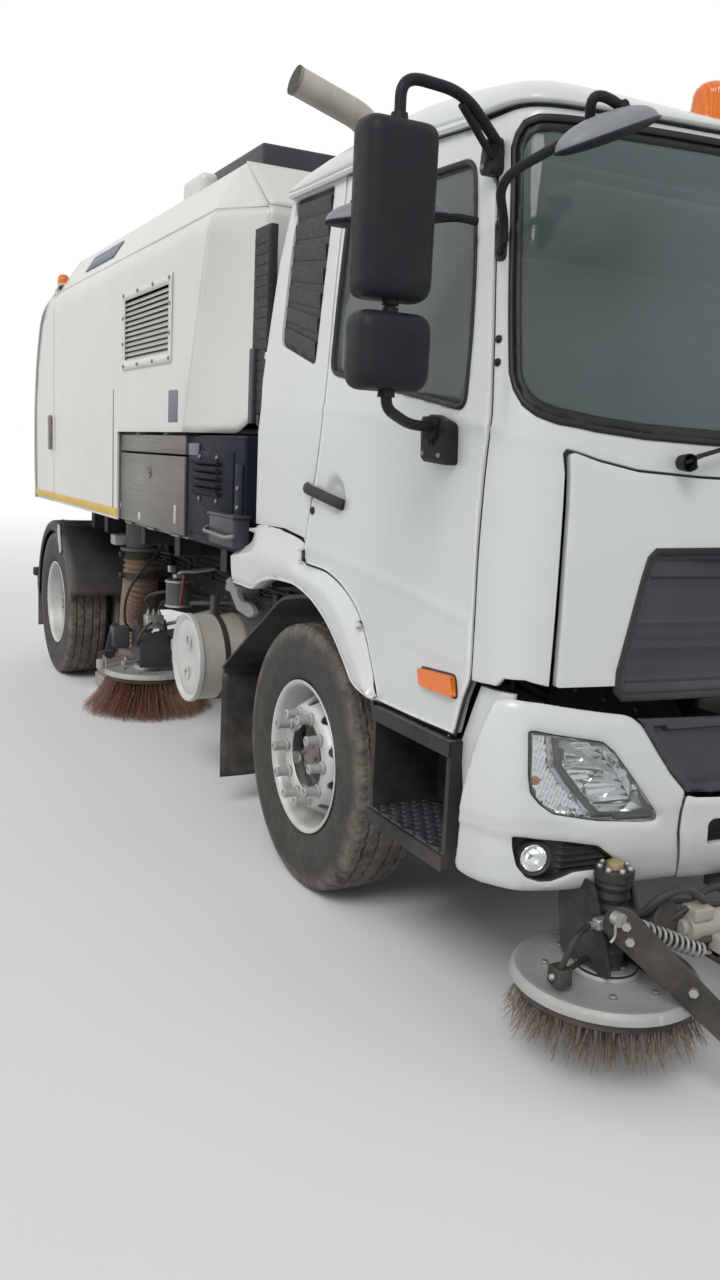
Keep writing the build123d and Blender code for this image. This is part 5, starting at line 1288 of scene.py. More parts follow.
def headLamp(side, word, loop):
    tub = bowlOf(loop, bumperLay, ((0.001, 0.01), (-0.004, 0.014), (-0.008, 0.06), (-0.012, 0.078)))
    meshFrom("lampTub_" + word, facing(tub, side), "rubberSeal", instead=["front_lamps"] if side > 0
             else ())
    lens = panel(grown(loop, -0.003), [], 0.018, bumperLay(0.006))
    one = meshFrom("lampLens_" + word, facing(lens, side), "lampClear")
    thicken(one, 0.003)
    main = np.array([(1.03, 0.953), (0.905, 0.931), (0.868, 0.9), (0.82, 0.842), (0.778, 0.785),
                     (0.755, 0.742), (0.8, 0.734), (0.9, 0.742), (0.925, 0.76), (0.985, 0.832),
                     (1.026, 0.878)])
    turn = np.array([(1.122, 0.966), (1.062, 0.955), (1.052, 0.878), (1.014, 0.826), (0.922, 0.732),
                     (1.045, 0.757), (1.088, 0.786), (1.112, 0.814), (1.12, 0.86)])

    def fluted(deep, pitch, high, across):
        base = bumperLay(deep)

        def lay(s, z):
            p = base(s, z)
            wave = np.abs((((s if across else z) + (z if across else 0) * 0.4) / pitch) % 1 - 0.5) * 2
            p[:, 1] += high * wave ** 2
            return p
        return lay

    bowls = [bowlOf(main, bumperLay, ((0, 0.016), (-0.01, 0.05)), False),
             panel(grown(main, -0.01), [], 0.006, fluted(0.052, 0.022, 0.008, False)),
             bowlOf(turn, bumperLay, ((0, 0.016), (-0.008, 0.036)), False),
             panel(grown(turn, -0.008), [], 0.005, fluted(0.038, 0.013, 0.006, True))]
    for s, z, r in ((0.965, 0.902, 0.036), (0.885, 0.8, 0.04)):
        at = pointAt(bumperLay(0.046), s, z)
        bowls.append(shifted(spun([(0.022, 0.0), (0.02, r * 0.4), (0.01, r * 0.8), (0.0, r),
                                   (0.003, r * 1.05)], 36, "y"), at))
    meshFrom("lampMirror_" + word, facing(joined(bowls), side), "reflector")
    band = np.array([(1.034, 0.948), (0.96, 0.91), (0.905, 0.884), (0.85, 0.853), (0.846, 0.838),
                     (0.905, 0.866), (0.958, 0.893), (1.034, 0.928)])
    bar = bowlOf(band, bumperLay, ((0, 0.03), (0.0, 0.022)))
    meshFrom("lampBar_" + word, facing(bar, side), "paleShell", slot="lamp")
    spine = np.array([(1.058, 0.962), (1.044, 0.962), (1.034, 0.876), (0.996, 0.832), (0.905, 0.728),
                      (0.918, 0.728), (1.006, 0.828), (1.046, 0.872)])
    meshFrom("lampSpine_" + word,
             facing(bowlOf(spine, bumperLay, ((0.002, 0.05), (0, 0.014), (-0.001, 0.012))), side),
             "greyPlastic")
    at = pointAt(bumperLay(0.026), 1.103, 0.838)
    bulb = shifted(spun([(-0.012, 0.0), (-0.01, 0.008), (0.0, 0.012), (0.012, 0.01), (0.02, 0.004)], 20,
                        "y"), at)
    meshFrom("lampBulb_" + word, facing(bulb, side), "amberLens")


def fogLamp(side, word, loop):
    def ribbed(s, z):
        p = bumperLay(0.04)(s, z)
        rib = np.abs((z / 0.02) % 1 - 0.5) * 2
        inner = np.clip((1.02 - s) / 0.02, 0, 1)
        p[:, 1] -= inner * (0.012 + 0.01 * (rib > 0.55)) * np.clip(nearLoop(np.stack([s, z], 1),
                                                                            loop) / 0.01, 0, 1)
        return p

    parts = [bowlOf(loop, bumperLay, ((0.001, 0.006), (-0.004, 0.01), (-0.007, 0.04)), False, 0.012),
             panel(grown(loop, -0.007), [], 0.006, ribbed)]
    at = pointAt(bumperLay(0.018), 1.088, 0.617)
    cup = spun([(0.03, 0.052), (0.004, 0.052), (-0.004, 0.048), (0.0, 0.042), (0.012, 0.038)], 40, "y")
    parts.append(shifted(turned(cup, (0, 0, 1), 14), at))
    meshFrom("fogPocket_" + word, facing(joined(parts), side), "blackPlastic")
    bowl = spun([(0.02, 0.0), (0.018, 0.014), (0.01, 0.028), (0.002, 0.037), (0.004, 0.04)], 40, "y")
    meshFrom("fogMirror_" + word, facing(shifted(turned(bowl, (0, 0, 1), 14), at), side), "reflector")
    face = spun([(-0.002, 0.0), (-0.001, 0.022), (0.003, 0.038), (0.01, 0.039)], 40, "y")
    meshFrom("fogLens_" + word, facing(shifted(turned(face, (0, 0, 1), 14), at), side), "lampClear")


def grilles():
    # upper grille: a frame with fine level ribs in the hatch's opening
    loop = mirrorLoop(grilleHalf)

    def ribs(s, z):
        base = cabLay(0.022, False)(s, z)
        edge = nearLoop(np.stack([s, z], 1), loop)
        inside = np.clip((edge - 0.03) / 0.01, 0, 1)
        bars = sum(np.clip((half - np.abs(z - at)) / 0.006, 0, 1) for at,
                   half in ((1.402, 0.022), (1.2, 0.021)))
        lines = sum(np.exp(-((z - at) / 0.004) ** 2) for at in (1.374, 1.263 + 0.01 * (np.abs(s) < 0.5),
                                                                1.172, 1.1))
        base[:, 1] -= 0.01 * (1 - inside) + inside * (0.014 * bars + 0.005 * lines)
        return base
    plate = panel(grown(loop, -0.003), [], 0.0095, ribs)
    thicken(meshFrom("upperGrille", plate, "greyPlastic", "cab", 30, instead=["front_trim"]), 0.006)
    meshFrom("grilleFrame", sealOf(loop, 0.022, 0.012, cabLay(0.004, False)), "blackPlastic", "cab", 50)
    # lower grille fills the space over the bumper's dip
    half = np.array([(0, 0.752), (0.489, 0.756), (0.59, 0.766), (0.66, 0.835), (0.715, 0.908),
                     (0.768, 0.985), (0.775, 0.992), (0.5, 0.985), (0, 0.982)])
    rim = mirrorLoop(half)

    def low(s, z):
        base = bumperLay(0.03)(s, z)
        edge = nearLoop(np.stack([np.abs(s), z], 1), rim)
        base[:, 1] += np.where((edge > 0.034), 0.022, 0)
        slat = np.abs((z / 0.058) % 1 - 0.5) * 2
        base[:, 1] += np.where((edge > 0.044) & (np.abs(s) < 0.4), 0.03 * (slat < 0.5), 0)
        return base
    plate = panel(grown(rim, -0.002), [], 0.011, low)
    thicken(meshFrom("lowerGrille", plate, "greyPlastic", smooth=30), 0.006)


def stepWell(side, word):
    # pressed treads with drain holes, each with a black lip along its outer edge
    y0, y1, pitch = -1.15, -0.7, 0.036
    parts = []
    for level, x0, x1 in ((0.885, 1.146, 1.208), (0.548, 0.968, 1.206)):
        cols, rows = int((y1 - y0) / pitch), max(1, int((x1 - x0) / pitch))
        holes = []
        for i in range(cols):
            for j in range(rows):
                cx = x0 + (j + 0.5 + 0.25 * (-1) ** i * (rows > 1)) * (x1 - x0) / rows
                cy = y0 + (i + 0.5) * (y1 - y0) / cols
                holes.append(ring(0.01, 6) + (cx, cy))
        parts.append(panel(boxLoop(x0, y0, x1, y1), holes, 0.05, lambda a,
                           b: np.stack([a, b, np.full(len(a), level + 0.006)], 1)))
    tread = meshFrom("stepTread_" + word, facing(joined(parts), side), "greyPlastic")
    thicken(tread, 0.012, 0.0)
    box = [alongPath([(1.205, -0.692, 0.866), (1.205, -1.158, 0.866)], [(-0.006, -0.02), (0.006, -0.02),
                                                                        (0.01, 0.018), (0.002, 0.024),
                                                                        (-0.008, 0.022)]),
           alongPath([(1.206, -0.692, 0.524), (1.206, -1.158, 0.524)], [(-0.01, -0.022), (0.004, -0.022),
                                                                        (0.008, 0.02), (-0.01, 0.024)])]
    meshFrom("stepLip_" + word, facing(joined(box), side), "blackPlastic")


cabRoof()
cabFlares()
cornerFillers()
frontBumper()
grilles()
for side, word in sides:
    stepWell(side, word)
print("bumper and front made")


# sweeper body

hull = {"half": 1.23, "crease": ((1.264, 1.749), (0.93, 2.69)), "nose": (1.092, 0.732), "noseLean": 0.058,
        "seam": 4.145, "shoulder": 2.69, "roof": 2.9, "coaming": 1.062,
        "tail": [(4.157, 2.748), (4.307, 2.694), (4.486, 2.612), (4.597, 2.532), (4.717, 2.339),
                 (4.803, 2.089), (4.85, 1.8), (4.857, 1.6), (4.833, 1.251)],
        "louvre": (1.44, 2.32, 2.075, 2.49), "louvreHole": (1.47, 2.11, 2.29, 2.455), "slats": 12}


def plate(name, part, finishName, body="chassis", depth=0.006, bevel=0.0, slot=None, instead=(), offset=-1):
    # a sheet with real thickness
    obj = meshFrom(name, part, finishName, body, slot=slot, instead=instead)
    return thicken(obj, depth, bevel, offset)


def onSide(x):
    # lays a sheet upright at a distance to the side, or on a surface given as a function of y and z
    return lambda y, z: np.stack([np.full(len(y), x) if np.isscalar(x) else x(y, z), y, z], 1)


def boltHeads(points, axis="x", radius=0.009, high=0.006, count=10):
    prof = [(0, radius), (high * 0.6, radius), (high, radius * 0.72), (high, 0)]
    one = spun(prof, count, axis)
    return joined([shifted(one, p) for p in points])


def hullSkinX(y, z):
    # how far out the side lies: flat and a little wavy, rolled in under the shoulder
    up = np.clip((z - 2.585) / 0.105, 0, 1)
    wave = 0.0022 * np.sin(y * 2.3 + 1) * np.sin(z * 3.1)
    return hull["half"] - 0.034 * up ** 2.2 + np.minimum(wave, 0)


def hullShell():
    h = hull
    (cy0, cz0), (cy1, cz1) = h["crease"]
    seam = h["seam"]
    outline = np.array([(cy0, cz0), (2.436, 1.749), (2.436, 1.256), (seam, 1.256), (seam, h["shoulder"]),
                        (cy1, cz1)])
    hole = boxLoop(*h["louvreHole"], 0.01, 3)
    skin = panel(outline, [hole], 0.045, onSide(hullSkinX))
    # cut-back front corner, ruled from the crease to the nose
    n, m = 26, 18
    t, u = np.meshgrid(np.linspace(0, 1, n), np.linspace(0, 1, m), indexing="ij")
    yc, zc = cy0 + (cy1 - cy0) * t, cz0 + (cz1 - cz0) * t
    low = np.clip((u - 0.8) / 0.2, 0, 1) * 0.062 * (1 - t)
    x = hullSkinX(yc, zc) * (1 - u) + (h["nose"][0] - h["noseLean"] * t) * u
    corner = sheetOf(x, yc * (1 - u) + h["nose"][1] * u, zc + low)
    # coaming above the shoulder: ruled from its foot line to its smaller top edge
    foot = np.array([(1.036, 0.734)] + [(1.036 + 0.158 * k, 0.734 + 0.196 * k) for k in (0.25, 0.5, 0.75)]
                    + [(float(hullSkinX(0, np.array(2.69))), y) for y in np.linspace(0.93, seam, 42)])
    head = np.array([(h["coaming"], y) for y in [0.95, 0.952, 0.954, 0.956]
                     + np.linspace(0.958, 4.04, 42).tolist()])
    band = []
    for k in (0, 0.03, 0.06, 0.35, 0.65, 0.94, 0.975, 1.0):
        row = foot + (head - foot) * k
        turn = 0.006 * (k < 0.02) - 0.006 * (k > 0.99)
        band.append(np.column_stack([row[:, 0] + turn, row[:, 1], np.full(len(row), 2.69 + 0.21 * k)]))
    band = np.array(band)
    coaming = (band.reshape(-1, 3), gridFaces(len(band), len(foot), flip=True))
    for side, word in sides:
        plate("hullSide_" + word, facing(skin, side), "hullPaint", "hopper", 0.012, 0.002,
              instead=["hopper_shell"] if side > 0 else ())
        plate("hullCorner_" + word, facing(corner, side), "hullPaint", "hopper", 0.01)
        plate("hullCoaming_" + word, facing(coaming, side), "hullPaint", "hopper", 0.008)
    # roof, front wall, floor and the frame round the mouth
    g = np.linspace(-1.06, 1.06, 60)
    yy = np.linspace(0.951, 4.045, 70)
    a, b = np.meshgrid(g, yy, indexing="ij")
    ribs = sum(np.exp(-((b - at) / 0.03) ** 2) for at in (2.45, 2.95, 3.45, 3.95))
    z = h["roof"] - 0.001 + 0.006 * (1 - (a / 1.06) ** 2) + 0.01 * ribs * (np.abs(a) < 0.98)
    plate("hullRoof", sheetOf(a, b, z), "hullPaint", "hopper", 0.008)
    for name, y0, y1, half0 in (("Front", 0.734, 0.951, 1.036), ("Back", seam, 4.041, 1.19)):
        t, u = np.meshgrid(np.linspace(0, 1, 10), np.linspace(-1, 1, 50), indexing="ij")
        x = u * (half0 + (1.062 - half0) * t)
        slope = sheetOf(x, y0 + (y1 - y0) * t, 2.692 + 0.208 * t, flip=y0 > y1)
        plate("hullSlope" + name, slope, "hullPaint", "hopper", 0.008)
    wall = np.array([(-1.092, 1.81), (-1.02, 1.749), (1.02, 1.749), (1.092, 1.81), (1.036, 2.694),
                     (-1.036, 2.694)])

    def front(x, z):
        rib = sum(np.exp(-((x - at) / 0.025) ** 2) for at in (-0.75, -0.25, 0.25, 0.75))
        return np.stack([x, 0.732 - 0.006 * rib * (z > 1.85) * (z < 2.6), z], 1)
    plate("hullFront", panel(wall, [], 0.04, front), "hullPaint", "hopper", 0.008)
    under = []
    under += [softBox((-1.19, 1.27, 1.75), (1.19, 4.13, 1.775), 0.008, 1),
              softBox((-1.02, 0.74, 1.75), (1.02, 1.29, 1.775), 0.008, 1)]
    for side in (-1, 1):
        under += [softBox((side * 1.21 - 0.006, 2.45, 1.262), (side * 1.21 + 0.006, 4.13, 1.78), 0.004, 1),
                  softBox((side * 0.43 - 0.05, 1.3, 1.66), (side * 0.43 + 0.05, 4.12, 1.752), 0.012, 1)]
    for y in (1.7, 2.2, 2.7, 3.2, 3.7):
        under.append(softBox((-1.18, y - 0.03, 1.7), (1.18, y + 0.03, 1.752), 0.008, 1))
    under += [softBox((-1.2, 4.1, 1.745), (1.2, 4.135, 1.86), 0.006, 1),
              softBox((-1.19, 4.1, 2.6), (1.19, 4.135, 2.7), 0.006, 1)]
    for side in (-1, 1):
        under += [softBox((side * 1.15 - 0.04, 4.1, 1.84), (side * 1.15 + 0.04, 4.135, 2.66), 0.006, 1),
                  softBox((side * 0.7 - 0.02, 4.065, 2.69), (side * 0.7 + 0.02, 4.175, 2.965), 0.012, 2)]
    meshFrom("hullFloor", joined(under), "hullPaint", "hopper")


def hullLouvre():
    # pressed louvre plate on both sides: hooded slats over a black sheet set behind them as painted shade in
    # the slots, and a ring of bolts
    h = hull
    y0, y1, z0, z1 = h["louvre"]
    inner = boxLoop(y0 + 0.045, z0 + 0.05, y1 - 0.045, z1 - 0.05, 0.008, 3)
    border = panel(boxLoop(y0, z0, y1, z1, 0.015, 4), [inner], 0.05, onSide(h["half"] + 0.006))
    hood = [(0.004, 0.016), (0.014, 0.006), (0.02, -0.006), (0.019, -0.01), (0.01, -0.002), (-0.004, 0.01)]
    slats = [alongPath([(h["half"], y0 + 0.04, z), (h["half"], y1 - 0.04, z)], [(-a, b) for a, b in hood])
             for z in np.linspace(z0 + 0.062, z1 - 0.062, h["slats"])]
    at = [(h["half"] + 0.006, y, z) for z in (z0 + 0.022, z1 - 0.022)
          for y in np.linspace(y0 + 0.03, y1 - 0.03, 4)]
    at += [(h["half"] + 0.006, y, z) for y in (y0 + 0.022, y1 - 0.022)
           for z in np.linspace(z0 + 0.14, z1 - 0.14, 2)]
    bolts = boltHeads(at, "x", 0.01, 0.007)
    # a black sheet 3 cm behind the slats: painted shade standing in for the dark behind the slots
    dark = panel(grown(inner, -0.004), [], 0.1, onSide(h["half"] - 0.03))
    for side, word in sides:
        plate("louvreFrame_" + word, facing(border, side), "hullPaint", "hopper")
        meshFrom("louvreSlats_" + word, facing(joined(slats), side), "hullPaint", "hopper")
        meshFrom("louvreBolts_" + word, facing(bolts, side), "steelDusty", "hopper")
        plate("louvrePaintedShade_" + word, facing(dark, side), "frameBlack", "hopper", 0.003, slot="black_plastic")


def hullTrim():
    # stripes, bare panels, seam strip, roof lamps, vent and the small plate
    h = hull
    x = h["half"] + 0.0012
    for side, word in sides:
        strip = softBox((x - 0.002, 2.44, 1.272), (x + 0.0018, h["seam"] - 0.006, 1.318), 0.0006, 1)
        meshFrom("stripe_" + word, facing(strip, side), "stripePaint", "hopper")
        tail = softBox((x - 0.002, h["seam"] + 0.022, 1.272), (x + 0.0018, 4.826, 1.318), 0.0006, 1)
        meshFrom("tailStripe_" + word, facing(tail, side), "stripePaint", "tailgate_body")
        bare = panel(boxLoop(2.8, 2.748, 3.5, 2.848), [], 0.05, lambda y,
                     z: np.stack([1.2005 - (z - 2.69) * 0.638, y, z], 1))
        plate("bareBand_" + word, facing(bare, side), "slateVinyl", "hopper", 0.0025, offset=0)
        seam = softBox((h["half"] - 0.002, 2.52, 1.3), (h["half"] + 0.0015, 2.526, 1.985), 0.0006, 1)
        meshFrom("panelSeam_" + word, facing(seam, side), "rubberSeal", "hopper")
        small = softBox((h["half"] - 0.001, 1.335, 1.795), (h["half"] + 0.003, 1.475, 1.945), 0.0012, 1)
        meshFrom("smallPlate_" + word, facing(small, side), "slateVinyl", "hopper")
        foot = spun([(2.69, 0.05), (2.722, 0.06), (2.74, 0.046), (2.748, 0.042)], 32, "z", (1.13, 4.3, 0.0))
        dome = spun([(2.748, 0.041), (2.8, 0.04), (2.822, 0.035), (2.834, 0.022), (2.838, 0.0)], 32, "z",
                    (1.13, 4.3, 0.0))
        meshFrom("beaconFoot_" + word, facing(foot, side), "blackPlastic", "tailgate_body")
        meshFrom("beaconDome_" + word, facing(dome, side), "amberLens", "tailgate_body")
    vent = joined([softBox((-1.035, 1.64, 2.88), (-0.93, 1.93, 3.012), 0.035, 4),
                   softBox((-1.045, 1.65, 2.895), (-0.925, 1.92, 2.915), 0.006, 2)])
    meshFrom("roofVent", vent, "hullPaint", "hopper")


def roofDuct():
    # dark moulded air duct over the roof's front, with pressed bars and a seam strip
    body = softBox((-0.918, 1.13, 2.895), (0.918, 2.08, 3.048), 0.012, 3)
    bars = [softBox((-0.88, y - 0.012, 3.043), (0.88, y + 0.012, 3.054), 0.004, 2)
            for y in (1.35, 1.62, 1.89)]
    bars += [softBox((s * 0.9 - 0.02, 1.16, 2.9), (s * 0.9 + 0.022, 2.05, 2.925), 0.004, 2)
             for s in (-1, 1)]
    meshFrom("roofDuct", joined([body] + bars), "greyPlastic", "hopper", instead=["hopper_duct"])


def tailgateSet():
    h = hull
    prof = eased(h["tail"], 0.05)
    d = np.gradient(prof, axis=0)
    d /= np.linalg.norm(d, axis=1)[:, None]
    out = np.stack([-d[:, 1], d[:, 0]], 1)
    edge = np.array([1.2, 1.214, 1.224, 1.229, 1.23])
    across = np.concatenate([-edge[::-1], np.linspace(-1.16, 1.16, 34), edge])
    sink = np.array([0.034, 0.022, 0.01, 0.003, 0.0])
    deep = np.concatenate([sink, np.zeros(34), sink[::-1]])
    rib = sum(np.exp(-((across - at) / 0.028) ** 4) for at in (-0.78, -0.26, 0.26, 0.78))
    z = prof[:, 1:] + 0 * across
    lift = 0.022 * rib[None] * (np.clip((z - 1.42) / 0.05, 0, 1)
                                * np.clip((2.5 - z) / 0.08, 0, 1)) - deep[None]
    wide = across[None] * hullSkinX(prof[:, :1], prof[:, 1:]) / h["half"]
    skin = sheetOf(wide, prof[:, :1] + out[:, :1] * lift, z + out[:, 1:] * lift)
    plate("tailSkin", skin, "hullPaint", "tailgate_body", 0.012, instead=["tailgate"])
    inner = prof - out * 0.034
    loop = np.concatenate([[(4.152, 1.256), (4.152, 2.715)], inner[1:-1], [(4.8, 1.256)]])
    side = panel(loop[::-1], [], 0.06, onSide(lambda y, z: hullSkinX(y, z) - 0.0005))
    front = [softBox((-1.215, 4.15, 1.262), (1.215, 4.16, 2.7), 0.003, 1),
             softBox((-1.2, 4.157, 1.258), (1.2, 4.8, 1.272), 0.003, 1)]
    meshFrom("tailInner", joined(front), "hullPaint", "tailgate_body")
    top = []
    for s in (-1, 1):
        plate("tailSide_" + ("left" if s > 0 else "right"), facing(side, s), "hullPaint", "tailgate_body",
              0.01)
        top += [softBox((s * 0.755 - 0.02, 4.1, 2.68), (s * 0.755 + 0.02, 4.2, 2.965), 0.015, 2),
                rod(-0.045, 0.045, 0.016, 20, "x", (s * 0.73, 4.15, 2.935)),
                softBox((s * 1.242 - 0.011, 4.2, 1.62), (s * 1.242 + 0.006, 4.26, 1.86), 0.006, 2),
                spun([(-0.02, 0.0), (-0.02, 0.022), (0.014, 0.022), (0.016, 0.018), (0.016, 0)], 20, "x",
                     (s * 1.235, 4.23, 1.82))]
    meshFrom("tailHinges", joined(top), "steelDusty", "tailgate_body")
    lamps, red, amber = [], [], []
    for s in (-1, 1):
        at = np.interp(1.4, prof[::-1, 1], prof[::-1, 0])
        lamps.append(softBox((s * 1.02 - 0.13, at - 0.01, 1.335), (s * 1.02 + 0.13, at + 0.03, 1.455),
                             0.012, 3))
        red.append(softBox((s * 1.05 - 0.085, at + 0.02, 1.35), (s * 1.05 + 0.085, at + 0.04, 1.44), 0.01,
                           3))
        amber.append(softBox((s * 0.925 - 0.028, at + 0.02, 1.35), (s * 0.925 + 0.028, at + 0.04, 1.44),
                             0.01, 3))
    bar = [alongPath([(-1.1, 4.874, 1.52), (1.1, 4.874, 1.52)], ring(0.014, 10)),
           softBox((-0.32, 4.84, 1.9), (0.32, 4.876, 2.16), 0.012, 3)]
    for x in (-1.0, -0.5, 0, 0.5, 1.0):
        bar.append(softBox((x - 0.018, 4.842, 1.5), (x + 0.018, 4.88, 1.54), 0.006, 2))
    meshFrom("tailBar", joined(bar), "steelDusty", "tailgate_body")
    meshFrom("tailLampBox", joined(lamps), "blackPlastic", "tailgate_body")
    meshFrom("tailLampRed", joined(red), "redLens", "tailgate_body")
    meshFrom("tailLampAmber", joined(amber), "amberLens", "tailgate_body")


def housing():
    # navy engine housing with pressed louvres, cover plates, bolts and a catch tray
    x = 1.195
    body = softBox((-x, 0.532, 1.246), (x, 1.258, 1.737), 0.012, 3)
    meshFrom("housingBody", body, "bluePaint", instead=["service_housing"])
    bits = []
    hood = [(0.0, 0.014), (0.016, 0.006), (0.03, -0.008), (0.031, -0.013), (0.027, -0.013), (0.0, 0.004)]
    for z in (1.478, 1.511, 1.545, 1.579, 1.612):
        bits.append(alongPath([(x, 0.8, z), (x, 1.14, z)], hood[::-1]))
    bits += [softBox((x - 0.002, 0.655, 1.29), (x + 0.006, 1.235, 1.668), 0.003, 2),
             softBox((x - 0.002, 0.54, 1.31), (x + 0.009, 0.625, 1.62), 0.003, 2)]
    tray = [softBox((x - 0.02, 0.5, 1.275), (x + 0.058, 0.8, 1.405), 0.012, 3),
            softBox((x - 0.02, 0.49, 1.398), (x + 0.064, 0.812, 1.412), 0.005, 2)]
    bolts = [(x + 0.006, y, z) for z in (1.452, 1.64) for y in (0.85, 1.08)]
    bolts += [(x + 0.009, 0.582, z) for z in (1.44, 1.52)]
    cover = softBox((x + 0.002, 1.1, 1.645), (x + 0.01, 1.24, 1.7), 0.003, 2)
    handle = tube([(x + 0.045, 0.83, 1.345), (x + 0.08, 0.81, 1.33), (x + 0.085, 0.52, 1.32),
                   (x + 0.06, 0.48, 1.33)], 0.008, 0.03, 12)
    for side, word in sides:
        meshFrom("housingPress_" + word, facing(joined(bits), side), "bluePaint")
        meshFrom("housingTray_" + word, facing(joined(tray), side), "greyPlastic", slot="navy_paint")
        meshFrom("housingBolts_" + word, facing(boltHeads(bolts, "x", 0.011, 0.008), side), "steelDusty")
        meshFrom("housingPlate_" + word, facing(cover, side), "slateVinyl", slot="pale_grey_paint")
        meshFrom("housingHandle_" + word, facing(handle, side), "steelDusty")


def cabinets():
    # stainless lockers: an open shell and a drop door with a recessed catch and a bottom hinge
    x0, x1, y0, y1, z0, z1 = 0.762, 1.19, 1.266, 2.418, 1.246, 1.737
    shell = [softBox((x0, y0, z0), (x1, y1, z0 + 0.012), 0.003, 1),
             softBox((x0, y0, z1 - 0.095), (x1, y1, z1), 0.004, 1),
             softBox((x0, y0, z0), (x0 + 0.01, y1, z1), 0.003, 1),
             softBox((x0, y0, z0), (x1, y0 + 0.01, z1), 0.003, 1),
             softBox((x0, y1 - 0.01, z0), (x1, y1, z1), 0.003, 1)]
    shell.append(softBox((x1 - 0.004, y0 + 0.002, z1 - 0.092), (x1 + 0.022, y1 - 0.002, z1 - 0.002), 0.004,
                         2))
    door = [softBox((1.192, y0 + 0.004, 1.262), (1.214, y1 - 0.004, z1 - 0.102), 0.004, 2)]
    hinge = [rod(y - 0.06, y + 0.06, 0.0075, 14, "y", (1.202, 0, 1.252)) for y in (1.42, 1.84, 2.26)]
    latch = spun([(0.0, 0.03), (0.003, 0.03), (0.005, 0.026), (0.001, 0.02), (0.001, 0.01), (0.006, 0.009),
                  (0.007, 0)], 28, "x", (1.214, 1.84, 1.545))
    paleSpot = [softBox((1.213, 1.388, 1.312), (1.2165, 1.418, 1.4), 0.001, 1),
                softBox((1.213, 2.0, 1.285), (1.2165, 2.045, 1.325), 0.001, 1)]
    for side, word in sides:
        meshFrom("locker_" + word, facing(joined(shell), side), "stainless", instead=["tool_cabinets"]
                 if side > 0 else ())
        body = "cabinet_door_%s_body" % word
        meshFrom("lockerDoor_" + word, facing(joined(door + [latch]), side), "stainless", body,
                 instead=["cabinet_door_" + word])
        meshFrom("lockerHinge_" + word, facing(joined(hinge), side), "steelDusty", body)
        meshFrom("lockerMark_" + word, facing(joined(paleSpot), side), "paleShell", body)


hullShell()
hullLouvre()
hullTrim()
roofDuct()
tailgateSet()
housing()
cabinets()
print("sweeper body made")


# brushes, suction gear and silencer (right side)

gear = {"front": (-0.85, -1.48), "frontPivot": (-0.33, -1.65), "side": (-0.88, 2.97),
        "sidePivot": (-0.52, 2.3), "coils": 15, "convolutions": 14}


def bristleRing(centre, root, tip, zRoot, zTip, tufts, strands, bow, seed):
    # strands hang in tufts and bow outward: root + (tip - root) * t^bow
    rng = np.random.default_rng(seed)
    n = tufts * strands
    base = np.repeat(angles(tufts), strands)
    a0 = base + rng.normal(0, 0.028, n)
    a1 = a0 + rng.normal(0, 0.045, n)
    r0 = rng.uniform(root[0], root[1], n)
    r1 = r0 + (tip - root[1]) + rng.normal(0, 0.018, n)
    r1 = np.minimum(r1, tip + 0.012)
    z1 = np.maximum(zTip + rng.normal(0, 0.01, n), 0.004)
    t = np.array([0, 0.35, 0.7, 1.0])
    rad = r0[:, None] + (r1 - r0)[:, None] * t ** bow
    ang = a0[:, None] + (a1 - a0)[:, None] * t
    z = zRoot + (z1 - zRoot)[:, None] * t ** 0.92
    mid = np.stack([centre[0] + rad * np.cos(ang), centre[1] + rad * np.sin(ang), z], -1)
    thick = rng.uniform(0.0016, 0.0026, n)[:, None, None] * np.array([1, 1, 0.9, 0.4])[:, None]
    out = np.stack([np.cos(a0), np.sin(a0), np.zeros(n)], -1)[:, None, None]
    side = np.stack([-np.sin(a0), np.cos(a0), np.zeros(n)], -1)[:, None, None]
    q = angles(3)[None, None, :, None]
    pts = mid[:, :, None] + thick[..., None] * (out * np.cos(q) + side * np.sin(q))
    one = np.concatenate([gridFaces(4, 3, False, True), [[9, 10, 11, 11]]])
    faces = (one[None] + (np.arange(n) * 12)[:, None, None]).reshape(-1, 4)
    faces = [f[:3] if f[2] == f[3] else f for f in faces.tolist()]
    tone = np.clip(rng.uniform(0, 0.55, n)[:, None] + 0.45 * t, 0, 1)
    return (pts.reshape(-1, 3), faces), np.repeat(tone[:, :, None], 3, 2).ravel()


def brushDisc(centre, radius, z):
    # pale plate with a rolled rim, stiffening press and bolted segments under it
    prof = [(z + 0.03, 0.0), (z + 0.03, 0.085), (z + 0.012, 0.092), (z + 0.01, 0.12),
            (z + 0.006, radius * 0.86), (z + 0.011, radius * 0.9), (z + 0.011, radius * 0.955),
            (z + 0.004, radius * 0.985), (z - 0.004, radius), (z - 0.018, radius + 0.002),
            (z - 0.022, radius - 0.003), (z - 0.02, radius - 0.01), (z - 0.006, radius - 0.014),
            (z - 0.006, 0.0)]
    top = spun(prof, 72, "z", (centre[0], centre[1], 0))
    block = spun([(z - 0.007, 0.14), (z - 0.045, 0.15), (z - 0.05, 0.158), (z - 0.05, radius - 0.022),
                  (z - 0.045, radius - 0.015), (z - 0.007, radius - 0.012)], 60, "z",
                 (centre[0], centre[1], 0))
    a = angles(8) + 0.2
    at = [(centre[0] + 0.17 * math.cos(k), centre[1] + 0.17 * math.sin(k), z + 0.008) for k in a]
    at += [(centre[0] + 0.055 * math.cos(k), centre[1] + 0.055 * math.sin(k), z + 0.03) for k in a[::2]]
    bolts = boltHeads(at, "z", 0.011, 0.009)
    return top, block, bolts


